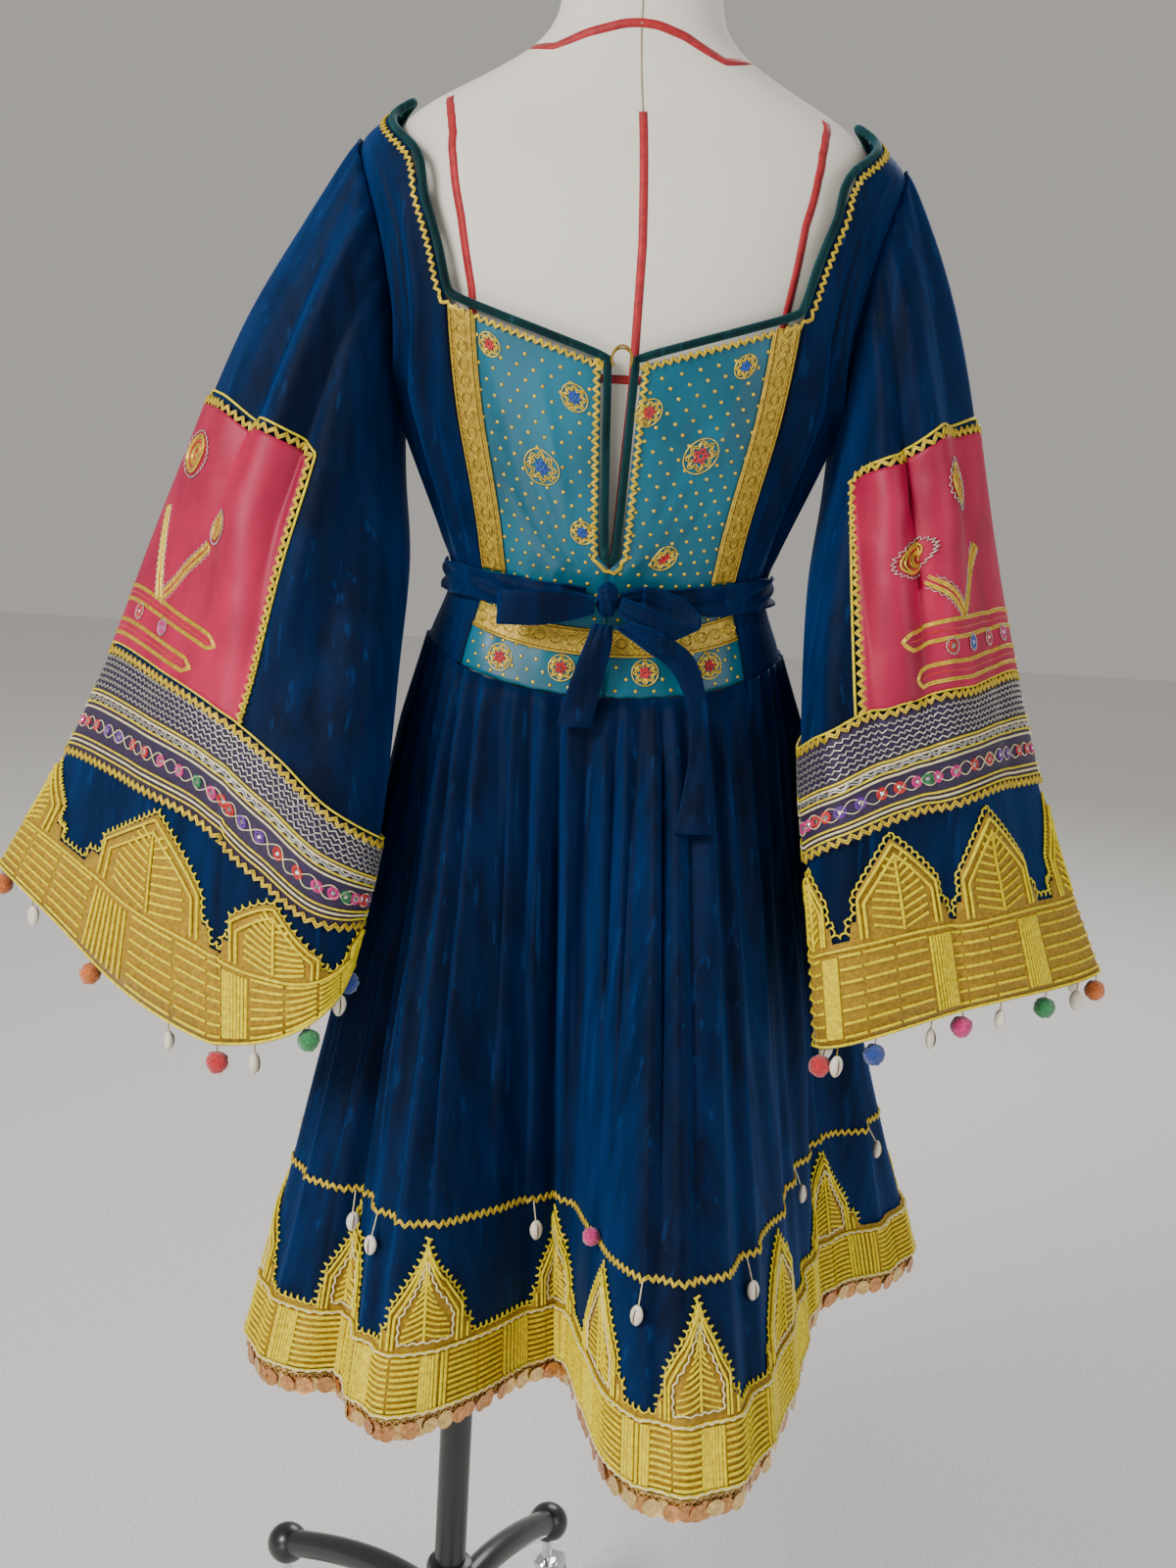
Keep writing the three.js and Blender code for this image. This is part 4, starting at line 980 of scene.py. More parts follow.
def flower(patch: Patch, radius: float, gold: Cords, heart: Cords) -> None:
    """Round flower of gold cord with a coloured heart."""
    gold.add(patch.curve(lambda a: radius, 28), ring=True)
    gold.add(patch.curve(lambda a: radius * (0.76 + 0.12 * math.cos(8 * a)), 48), ring=True)
    gold.add(patch.curve(lambda a: radius * (0.6 + 0.13 * math.cos(8 * a)), 48), ring=True)
    heart.add(patch.curve(lambda a: radius * (0.34 + 0.1 * math.cos(5 * a)), 30), ring=True)
    heart.add(patch.curve(lambda a: radius * 0.17, 10), ring=True)


def stud(bm: bmesh.types.BMesh, p: Vector, normal: Vector, radius: float, height: float, sides: int) -> None:
    """Low round stud on cloth."""
    turn = Vector((0, 0, 1)).rotation_difference(normal).to_matrix().to_4x4()
    matrix = Matrix.Translation(Stage.world(p + normal.normalized() * height / 2)) @ turn
    size = dict(segments=sides, radius1=radius * MM, radius2=radius * 0.55 * MM, depth=height * MM)
    bmesh.ops.create_cone(bm, cap_ends=True, cap_tris=False, matrix=matrix, **size)


@dataclass
class Jacquard:
    """Woven figures of a gold ribbon: edges, lozenges and small flowers.

    Attributes:
        name: the piece's name.
        place: the ribbon's face, across and along.
        length: in metres.
        width: in metres.
    """

    name: str
    place: Place
    length: float
    width: float

    def build(self) -> None:
        """Lay the figures on the ribbon."""
        gold = Cords(self.name, 0.42, Trim.GOLD.value, 0)
        dark = Cords(self.name + "_ground", 0.4, Trim.DARK_GOLD.value, 0)
        half = self.width / MM / 2
        track = Track.on(self.place, [(0.5, 0.005), (0.5, 0.995)], 0.3, 1.0)
        for side in (-1, 1):
            gold.add(track.offset(side * (half - 0.6)))
            dark.add(track.offset(side * (half - 1.7)))
            gold.add(track.wave(side * (half - 4.4), 24))
            dark.add(track.wave(side * (half - 6.0), 24))
            gold.add(track.wave(0.7, 4, side * (half - 2.8)))
        figures = max(2, round(self.length / MM / 12))
        for k in range(2 * figures):
            patch = Patch(self.place, 0.5, (k + 0.5) / (2 * figures), 0.45)
            size = 2.6 if k % 2 else 1.5
            gold.add(patch.curve(lambda a: size * (0.75 + 0.25 * math.cos(4 * a)), 20), ring=True)
        for obj in (gold.build(), dark.build()):
            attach(obj, ROOT)


# ---------------------------------------------------------------- bodice

Edge = Callable[[float], tuple[float, float]]


def along(knots: Sequence[tuple[float, float, float]], share: float) -> tuple[float, float]:
    """Turn and height along a line of knots, each with its share of the way."""
    i = 0
    while i < len(knots) - 2 and knots[i + 1][0] <= share:
        i += 1
    (a, turn_a, za), (b, turn_b, zb) = knots[i], knots[i + 1]
    t = clamp((share - a) / (b - a))
    return mix(turn_a, turn_b, t), mix(za, zb, t)


def knot(at: float, x: float, z: float) -> tuple[float, float, float]:
    """Knot of a bodice edge at a distance from the middle of the back."""
    return at, back_turn(x, z), z


def sided(side: int, turn: float) -> float:
    """Turn of the right side, mirrored where the side is the left."""
    return turn if side > 0 else 540 - turn


def on_bodice(side: int, turn: float, z: float, lift: float = 0.0) -> Vector:
    """Point above the bodice's inner face, for a turn given for the right side."""

    def place(u: float, v: float) -> Vector:
        return section_point(BODICE, u, v)

    actual = sided(side, turn)
    return place(actual, z) + normal_of(place, actual, z, 0.5, 1.0) * lift


DOT_ROWS, DOT_COLUMNS = 28, 9
DOT_RISE, DOT_GAP = 0.0345, 0.11  # shares of a satin half from dot to dot, up and across
PANEL_SIDE = (
    knot(0, PANEL_FOOT_X, seam_z(back_turn(PANEL_FOOT_X, 995))),
    knot(0.28, PANEL_WAIST_X, WAIST_Z),
    knot(0.42, PANEL_WAIST_X + 4, 1090),
    knot(1, *CORNER),
)
PANEL_CENTRE = (
    knot(0, 0.15, SEAM_BACK_Z),
    knot(0.38, 0.15, SLIT_FOOT[1] - 9.5),
    knot(0.44, *SLIT_FOOT),
    knot(1, *SLIT_TOP),
)
NECK_LINE = (  # the right half of the neckline from the slit's foot round to the front
    (back_turn(0.1, 1078), 1078),
    (back_turn(4.2, 1086), 1086),
    (back_turn(7.1, 1150), 1150),
    (back_turn(9.6, 1212), 1212),
    (back_turn(13, 1221.4), 1221.4),
    (back_turn(50, 1234), 1234),
    (back_turn(88, 1246), 1246),
    (back_turn(119, 1256.6), 1256.6),
    (back_turn(125, 1264), 1264),
    (back_turn(132, 1290), 1290),
    (back_turn(143.5, 1322), 1322),
    (back_turn(155, 1357), 1357),
    (351, 1382),
    (360, 1390.5),
    (374, 1380),
    (388, 1354),
    (402, 1332),
    (414, 1312),
    (428, 1301),
    (450, 1290),
)


def edge_hold(across: float, up: float, start: float, end: float, top: float, foot: float) -> float:
    """1 inside a piece, falling to 0 at its four edges, each at its own rate."""
    sides = min(1.0, start * across) * min(1.0, end * (1 - across))
    return sides * min(1.0, top * (1 - up)) * min(1.0, foot * up)


def armhole(angle: float) -> tuple[float, float]:
    """Degrees that the armhole leans in, and its height, from the underarm at 0 to its top at pi."""
    return ARMHOLE_TURN * math.sin(angle), mix(UNDERARM_Z, ARMHOLE_TOP_Z, 0.5 - 0.5 * math.cos(angle))


def side_edge(to_back: bool, foot: float) -> Edge:
    """Side seam below the underarm and the armhole above it."""
    split = 0.52

    def edge(share: float) -> tuple[float, float]:
        if share < split:
            return (360.0 if to_back else 0.0), mix(foot, UNDERARM_Z, share / split)
        turn, z = armhole(math.pi * (share - split) / (1 - split))
        return (360 - turn if to_back else turn), z

    return edge


@dataclass
class BodicePiece:
    """A piece of the bodice between two edge lines.

    Attributes:
        side: 1 for the right, -1 for the left.
        inner: its edge nearer the middle.
        outer: its edge nearer the side.
        sewn: whether its foot follows the skirt's seam.
        start: share of the edges at which it starts.
        relief: millimetres outwards at a place of it.
    """

    side: int
    inner: Edge
    outer: Edge
    sewn: bool = False
    start: float = 0.0
    relief: Callable[[float, float], float] = lambda across, up: 0.0
    forward: int = 1

    def point(self, across: float, up: float, lift: float = 0.0) -> Vector:
        """Point above the piece's inner face, from its inner to its outer edge and from foot to top."""
        q = mix(self.start, 1, up)
        a, b = self.inner(q), self.outer(q)
        turn, z = mix(a[0], b[0], across), mix(a[1], b[1], across)
        if self.sewn:
            foot_a, foot_b = self.inner(0), self.outer(0)
            seam = seam_z(mix(foot_a[0], foot_b[0], across))
            z += (seam - mix(foot_a[1], foot_b[1], across)) * (1 - q) ** 3
        return on_bodice(self.side, turn, z, lift + self.relief(across, up))

    def place(self, u: float, v: float) -> Vector:
        """The same, counter-clockwise whichever side it is on."""
        return self.point(u if self.side * self.forward > 0 else 1 - u, v)

    def lifted(self, lift: float) -> Place:
        """Surface at a height above it."""
        return lambda u, v: self.point(u if self.side * self.forward > 0 else 1 - u, v, lift)


SIDE_CREASES = (
    Crease(0.32, -0.06, 0.1, 0.2, 0.85, 7),
    Crease(0.56, -0.1, 0.05, 0.2, 0.72, -4),
    Crease(0.72, -0.02, 0.08, 0.18, 0.8, 7),
    Crease(0.18, 0.04, 0.05, 0.22, 0.6, -3),
    Crease(0.9, -0.12, 0.05, 0.1, 0.55, 2.5),
    Crease(0.45, 0.1, 0.04, 0.4, 0.95, 2.2),
)
SATIN_CREASES = (  # share from the middle to the side, then along the panel
    Crease(0.05, 0.5, 0.05, 0.3, 0.8, 1.5),
    Crease(0.12, 0.55, 0.045, 0.28, 0.62, -1.0),
    Crease(0.1, 0.25, 0.05, 0.34, 0.97, 1.3),
    Crease(0.62, -0.4, 0.04, 0.1, 0.42, 1.2),
    Crease(0.4, 0.3, 0.06, 0.45, 0.98, 1.2),
    Crease(0.75, -0.1, 0.05, 0.05, 0.3, -1.2),
    Crease(0.3, 0.05, 0.05, 0.02, 0.3, 1.4),
)


@dataclass
class Bodice:
    """The satin back, the velvet sides and the front, with their bindings and gold trims."""

    satin: dict[int, BodicePiece] = field(default_factory=dict)
    ribbon_width: float = 19.0

    def build(self) -> None:
        """Make all pieces of the bodice."""
        for side, label in ((-1, "left"), (1, "right")):
            self.satin_half(side, label)
            self.ribbon(side, label)
            self.side_back(side, label)
        self.front()
        self.waist_ribbon()
        self.binding()
        self.rickrack()
        self.medallions()
        self.dots()

    def centre(self, q: float) -> tuple[float, float]:
        """Centre edge of a satin half."""
        return along(PANEL_CENTRE, q)

    def edge(self, q: float) -> tuple[float, float]:
        """Side edge of a satin half."""
        turn, z = along(PANEL_SIDE, q)
        return turn - 0.25, z

    def satin_half(self, side: int, label: str) -> None:
        """One half of the satin back."""
        shift = 0.03 * side

        def relief(across: float, up: float) -> float:
            inner = edge_hold(across, up, 12, 8, 10, 8)
            return inner * sum(c.at_point(across + shift, up) for c in SATIN_CREASES)

        piece = BodicePiece(side, self.centre, self.edge, sewn=True, relief=relief)
        self.satin[side] = piece
        size = (0.12, 0.26)
        obj = sheet(f"satin_back_{label}", (36, 72), piece.place, Trim.TEAL.value, SATIN, uv_size=size)
        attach(obj, ROOT)
        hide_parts(f"back_panel_{label}")
        LOG.info("satin back, %s half", label)

    def on_panel(self, q: float, gap: float) -> tuple[float, float]:
        """Turn and height at a distance inside a satin half's side edge."""
        a, b = self.centre(q), self.edge(q)
        width = BODICE.read(b[1])[0]
        turn = b[0] - math.degrees(gap / width) * 1.3
        return turn, mix(a[1], b[1], (turn - a[0]) / (b[0] - a[0]))

    def ribbon(self, side: int, label: str) -> None:
        """Upright jacquard ribbon on a satin half, with its woven figures."""
        inner = lambda q: self.on_panel(q, self.ribbon_width + 1)
        outer = lambda q: self.on_panel(q, 1)
        piece = BodicePiece(side, inner, outer, start=1 / 3)
        base = piece.lifted(SATIN + 0.7)
        obj = sheet(f"jacquard_{label}", (10, 90), base, Trim.JACQUARD.value, RIBBON, uv_size=(0.02, 0.17))
        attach(obj, ROOT)
        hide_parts(f"gold_ribbon_{label}")
        Jacquard(f"jacquard_figures_{label}", piece.lifted(SATIN + 1.7), 0.172, 0.019).build()
        LOG.info("jacquard ribbon, %s", label)

    def waist_ribbon(self) -> None:
        """Jacquard ribbon round the foot of the satin back."""
        foot = along(PANEL_SIDE, 0.12)[0] - 1.2

        def at(lift: float) -> Place:
            def place(u: float, v: float) -> Vector:
                turn = mix(540 - foot, foot, u)
                return on_bodice(1, turn, seam_z(turn) + 38 + 19 * (v - 0.5), lift)

            return place

        size = (0.2, 0.02)
        obj = sheet("jacquard_waist", (90, 8), at(SATIN + 0.85), Trim.JACQUARD.value, RIBBON, uv_size=size)
        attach(obj, ROOT)
        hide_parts("gold_ribbon_waist")
        turned = lambda u, v: at(SATIN + 1.85)(v, 1 - u)
        Jacquard("jacquard_figures_waist", turned, 0.2, 0.019).build()
        LOG.info("jacquard ribbon, waist")

    def side_back(self, side: int, label: str) -> None:
        """Velvet side of the back, from the satin to the side seam and the armhole."""
        knots = tuple((at, turn + 0.25, z) for at, (_, turn, z) in zip((0, 0.2, 0.3, 0.64), PANEL_SIDE))
        knots += ((0.82, back_turn(145, 1322), 1322), (0.92, back_turn(156.5, 1357), 1357))
        knots += ((0.97, 351, 1380.5), (1, 360, NECK_Z))

        def relief(across: float, up: float) -> float:
            hold = edge_hold(across, up, 9, 9, 12, 9)
            base = 3.5 * step(up, 0.16, 0.4) * (1 - up) * math.sin(math.pi * across)
            return hold * (base + sum(c.at_point(across + 0.05 * side, up) for c in SIDE_CREASES))

        piece = BodicePiece(side, lambda q: along(knots, q), side_edge(True, SEAM_SIDE_Z), relief=relief)
        obj = sheet(f"velvet_side_{label}", (36, 84), piece.place, Trim.NAVY.value, VELVET)
        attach(obj, ROOT)
        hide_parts(f"side_back_{label}")
        LOG.info("velvet side back, %s", label)

    def front(self) -> None:
        """Plain velvet front, in two halves sewn down the middle."""
        knots = ((0, 90.0, 986), (0.64, 90.0, FRONT_NECK_Z), (0.8, 55, 1309))
        knots += ((0.9, 30, 1350), (0.96, 14, 1379), (1, 0.3, NECK_Z))

        def relief(across: float, up: float) -> float:
            hold = edge_hold(across, up, 6, 6, 9, 8)
            return hold * 2.5 * math.sin(9 * across + 2 * up) * step(up, 0.05, 0.4)

        halves = []
        for side in (-1, 1):
            seam = side_edge(False, SEAM_SIDE_Z)
            outer = lambda q: (seam(q)[0] + 0.12, seam(q)[1])
            piece = BodicePiece(side, lambda q: along(knots, q), outer, sewn=True, relief=relief, forward=-1)
            bm_sheet = sheet(f"front_half_{side}", (30, 56), piece.place, Trim.NAVY.value, VELVET)
            bm_sheet.modifiers.clear()
            halves.append(bm_sheet)
        obj = join("velvet_front", halves)
        wall = obj.modifiers.new("wall", "SOLIDIFY")
        wall.thickness = VELVET * MM
        wall.offset = 1
        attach(obj, ROOT)
        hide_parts("front_bodice")
        LOG.info("velvet front")

    def neck_track(self, spacing: float, lift: float) -> Track:
        """Neckline ring from the slit's foot up the right side and round.

        Args:
            spacing: millimetres between its points.
            lift: millimetres above the inner face.

        Returns:
            The ring, whose sideways direction leads away from the opening.
        """
        knots = list(NECK_LINE) + [(900 - t, z) for t, z in reversed(NECK_LINE[:-1])]
        path = []
        for i in range(len(knots) - 1):
            near = [knots[min(max(j, 0), len(knots) - 1)] for j in range(i - 1, i + 3)]
            for k in range(6):
                s = k / 6
                weights = (-s * (1 - s) ** 2 / 2, (1 - s) * (2 + 2 * s - 3 * s * s) / 2)
                weights += (s * (1 + 4 * s - 3 * s * s) / 2, -s * s * (1 - s) / 2)
                turn = sum(w * t for w, (t, _) in zip(weights, near))
                path.append((turn / 360, sum(w * z for w, (_, z) in zip(weights, near))))
        path.append((knots[-1][0] / 360, knots[-1][1]))
        face = lambda u, v: section_point(BODICE, 360 * u, v)
        track = Track.on(face, path, lift, spacing)
        return Track.along(track.points[:-1], track.normals[:-1], ring=True)

    def binding(self) -> None:
        """Rolled velvet binding of the neck and the slit, with its hook and loop."""
        binding = Cords("neck_roll", 3.1, Trim.BINDING.value, 2)
        binding.add(self.neck_track(4.0, VELVET / 2).points, ring=True)
        obj = binding.build()
        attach(obj, ROOT)
        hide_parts("neck_binding")
        loop = Cords("neck_loop", 0.9, Trim.DARK_GOLD.value, 1)
        top = on_bodice(1, 270, 1221, 6)
        for k, (x, rise) in enumerate(((7, 7), (-7, 9))):
            bent = [
                top + Vector((x * math.cos(a), -1.5 - k, rise * math.sin(a)))
                for a in (math.pi * i / 14 for i in range(-3, 18))
            ]
            loop.add(bent)
        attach(loop.build(), ROOT)
        LOG.info("neck binding")

    def rickrack(self) -> None:
        """Zigzag braid just outside the binding."""
        braid = Cords("neck_rickrack", 0.8, Trim.RICKRACK.value, 0)
        track = self.neck_track(1.5, VELVET + 0.8)
        for lean in (0.0, 1.4):
            braid.add(track.wave(1.7, 4, 6.6 + lean), ring=True)
        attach(braid.build(), ROOT)
        LOG.info("neck rickrack")

    def medallions(self) -> None:
        """Gold flowers on the satin, as it was embroidered."""
        spots = (
            (-1, 0.36, 0.66, 12.5, Trim.BLUE_THREAD),
            (1, 0.42, 0.71, 12.5, Trim.RED_THREAD),
            (1, 0.06, 0.86, 9.5, Trim.RED_THREAD),
            (-1, 0.14, 0.88, 9.5, Trim.BLUE_THREAD),
            (-1, 0.1, 0.5, 8.5, Trim.BLUE_THREAD),
            (1, 0.62, 0.93, 8.0, Trim.BLUE_THREAD),
            (-1, 0.68, 0.94, 8.0, Trim.RED_THREAD),
            (1, 0.3, 0.42, 9.0, Trim.RED_THREAD),
            (-1, 0.66, 0.07, 9.5, Trim.RED_THREAD),
            (-1, 0.22, 0.075, 9.5, Trim.RED_THREAD),
            (1, 0.22, 0.075, 9.5, Trim.RED_THREAD),
            (1, 0.68, 0.08, 9.5, Trim.RED_THREAD),
        )
        gold = Cords("satin_medallions", 0.55, Trim.GOLD.value, 0)
        threads = (Trim.BLUE_THREAD, Trim.RED_THREAD)
        hearts = {t: Cords(f"medallion_hearts_{t.name.lower()}", 0.8, t.value, 0) for t in threads}
        for side, across, up, radius, heart in spots:
            piece = self.satin[side]
            patch = Patch(piece.place, across if side > 0 else 1 - across, up, SATIN + 0.5)
            flower(patch, radius, gold, hearts[heart])
        for obj in (gold.build(), *(h.build() for h in hearts.values())):
            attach(obj, ROOT)
        LOG.info("medallions")

    def dots(self) -> None:
        """Rows of small gold dots woven on the satin."""
        bm = bmesh.new()
        for piece in self.satin.values():
            for row in range(DOT_ROWS):
                up = 0.02 + DOT_RISE * row
                for column in range(DOT_COLUMNS):
                    across = DOT_GAP / 2 + DOT_GAP * column + (DOT_GAP / 2 if row % 2 else 0.0)
                    if across > 0.985:
                        continue
                    p = piece.point(across, up, SATIN + 0.15)
                    normal = p - piece.point(across, up, SATIN - 1)
                    stud(bm, p, normal, 1.5, 0.45, 8)
        obj = as_object("satin_dots", bm, Trim.GOLD.value)
        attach(obj, ROOT)
        LOG.info("satin dots")


# ---------------------------------------------------------------- skirt

SKIRT_SHELLS = (0.06, 0.17, 0.29, 0.41, 0.52, 0.566, 0.66, 0.764, 0.83, 0.9, 0.97)
SKIRT_POMPOM = 0.728
SKIRT_GORES = ("front_right", "front_left", "back_left", "back_right")
SKIRT_CREASES = (  # share round the waist at the foot of each, then up the skirt
    Crease(0.688, 0.004, 0.0055, 0.1, 0.98, 5),
    Crease(0.702, 0.006, 0.004, 0.3, 0.99, -5),
    Crease(0.722, -0.004, 0.005, 0.18, 0.9, 4),
    Crease(0.741, 0.003, 0.0035, 0.35, 0.98, -4.5),
    Crease(0.757, 0.008, 0.006, 0.12, 0.95, 5.5),
    Crease(0.779, -0.003, 0.004, 0.25, 0.97, -5),
    Crease(0.801, 0.002, 0.0045, 0.05, 0.8, 4),
    Crease(0.822, -0.008, 0.006, 0.3, 0.98, 5),
    Crease(0.843, 0.004, 0.004, 0.2, 0.93, -5.5),
    Crease(0.866, -0.006, 0.0055, 0.1, 0.9, 4.5),
    Crease(0.889, 0.002, 0.004, 0.35, 0.99, -4),
    Crease(0.913, -0.008, 0.007, 0.12, 0.95, 5),
    Crease(0.94, 0.003, 0.005, 0.22, 0.9, -4.5),
    Crease(0.965, -0.006, 0.006, 0.1, 0.97, 4),
    Crease(0.668, 0.006, 0.005, 0.24, 0.95, -5),
    Crease(0.651, 0.01, 0.006, 0.1, 0.88, 5),
    Crease(0.629, 0.008, 0.0045, 0.3, 0.98, -4.5),
    Crease(0.606, 0.012, 0.007, 0.08, 0.95, 5.5),
    Crease(0.58, 0.006, 0.005, 0.2, 0.96, -5),
    Crease(0.553, 0.01, 0.006, 0.12, 0.85, 4.5),
    Crease(0.528, 0.008, 0.005, 0.28, 0.98, -4),
    Crease(0.5, 0.006, 0.007, 0.1, 0.93, 5),
)


@dataclass
class Skirt:
    """Gathered skirt with its border of couched cord, lace, coins and hanging shells.

    Attributes:
        gather_depth: how far the gathers stand out at the waist.
        rickrack_up: height of the zigzag line above the hem, in millimetres.
        hang: length of the shells' threads.
        depths: size of each gather, as a share of that.
    """

    gather_depth: float = 9.0
    rickrack_up: float = 139.0
    hang: float = 16.0
    depths: list[float] = field(default_factory=list)

    def __post_init__(self) -> None:
        """Draw the uneven gathers."""
        dice = random.Random(41)
        self.depths = [dice.uniform(0.55, 1.25) for _ in range(PLEATS)]
        self.stray = tuple(
            Crease(
                at=dice.random(),
                drift=dice.uniform(-0.012, 0.012),
                width=dice.uniform(0.0022, 0.005),
                low=dice.uniform(0.0, 0.45),
                high=dice.uniform(0.6, 1.0),
                depth=dice.choice((-1, 1)) * dice.uniform(2.2, 5.4),
            )
            for _ in range(70)
        )

    def fold(self, share: float, up: float) -> float:
        """Height of the listed and the stray creases at a place."""
        wrapped = share % 1.0
        near = (c for c in (*SKIRT_CREASES, *self.stray) if abs(wrapped - c.at) < 0.035)
        return sum(c.at_point(wrapped, up) for c in near)

    def place(self, share: float, up: float) -> Vector:
        """Point of the skirt's inner face, round the hem and from hem to seam."""
        hem_turn, hem_x, hem_y = hem_at(share)
        top = seam_z(hem_turn) - 0.6
        waist = section_point(BODICE, hem_turn, top)
        down = 1 - up
        spread = max(down, 0.0) ** 1.05 if down > 0 else down
        outwards = Vector((waist.x, waist.y, 0)).normalized()
        pleat_number = share * PLEATS + 0.5
        size = self.depths[math.floor(pleat_number) % PLEATS]
        pleat = (0.5 - 0.5 * math.cos(2 * math.pi * share * PLEATS)) ** 1.1
        waisted = clamp(up) ** 0.7
        depth = self.gather_depth * pleat * size * (0.36 + 0.64 * waisted) * min(1.0, 6 * max(down, 0) + 0.3)
        depth += self.fold(share, up) * min(1.0, 9 * max(down, 0)) * 0.8
        p = Vector((mix(waist.x, hem_x, spread), mix(waist.y, hem_y, spread), mix(HEM_Z, top, up)))
        return p + outwards * depth

    def low(self, share: float, height: float) -> Vector:
        """Point of the border, by its height above the hem in millimetres."""
        return self.place(share, height / (SEAM_SIDE_Z - HEM_Z))

    def apart(self, share: float) -> float:
        """Share round the hem from the nearest house, negative to its left."""
        return min((((share - house + 1.5) % 1) - 0.5 for house in HOUSES), key=abs)

    def build(self) -> None:
        """Make the skirt and all that is sewn on it."""
        obj = sheet("velvet_skirt", (420, 44), self.place, Trim.NAVY.value, VELVET, closed=True)
        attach(obj, ROOT)
        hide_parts(*(f"skirt_{gore}" for gore in SKIRT_GORES))
        LOG.info("velvet skirt")
        Border(self).build()
        self.rickrack()

    def rickrack(self) -> None:
        """Zigzag line above the houses."""
        up = self.rickrack_up / (SEAM_SIDE_Z - HEM_Z)
        steps = 260
        track = Track.on(self.place, [(i / steps, up) for i in range(steps + 1)], VELVET + 0.8, 1.5)
        braid = Cords("skirt_rickrack", 0.85, Trim.RICKRACK.value, 0)
        for offset in (0.0, 1.7):
            braid.add(track.wave(2.0, 4, offset))
        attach(braid.build(), ROOT)
        LOG.info("skirt rickrack")
        self.hanging()

    def hanging(self) -> None:
        """Shells and one pompom hung below the zigzag line on short threads."""
        shells = Shells("skirt_shells")
        threads = Cords("skirt_threads", 0.5, Trim.PALE.value, 0)
        for share in SKIRT_SHELLS:
            root = self.low(share, self.rickrack_up - 2)
            out = normal_of(self.place, share, 0.2)
            flat = Vector((out.x, out.y, 0)).normalized()
            end = self.low(share, self.rickrack_up - self.hang) + flat * 7.5
            threads.add([root + out * 3.2, root + out * 4 - Vector((0, 0, 2)), end])
            facing = math.degrees(math.atan2(flat.y, flat.x)) + 90
            shells.add(end - Vector((0, 0, 7)) + flat * 1.5, facing / Shells.SPIN, 0.95)
        shells.build()
        bm = bmesh.new()
        out = normal_of(self.place, SKIRT_POMPOM, 0.3)
        tuft(bm, self.low(SKIRT_POMPOM, self.rickrack_up + 2) + out * 8.5, 6.6, 5)
        for obj in (threads.build(), as_object("skirt_pompom", bm, Trim.MAGENTA.value)):
            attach(obj, ROOT)


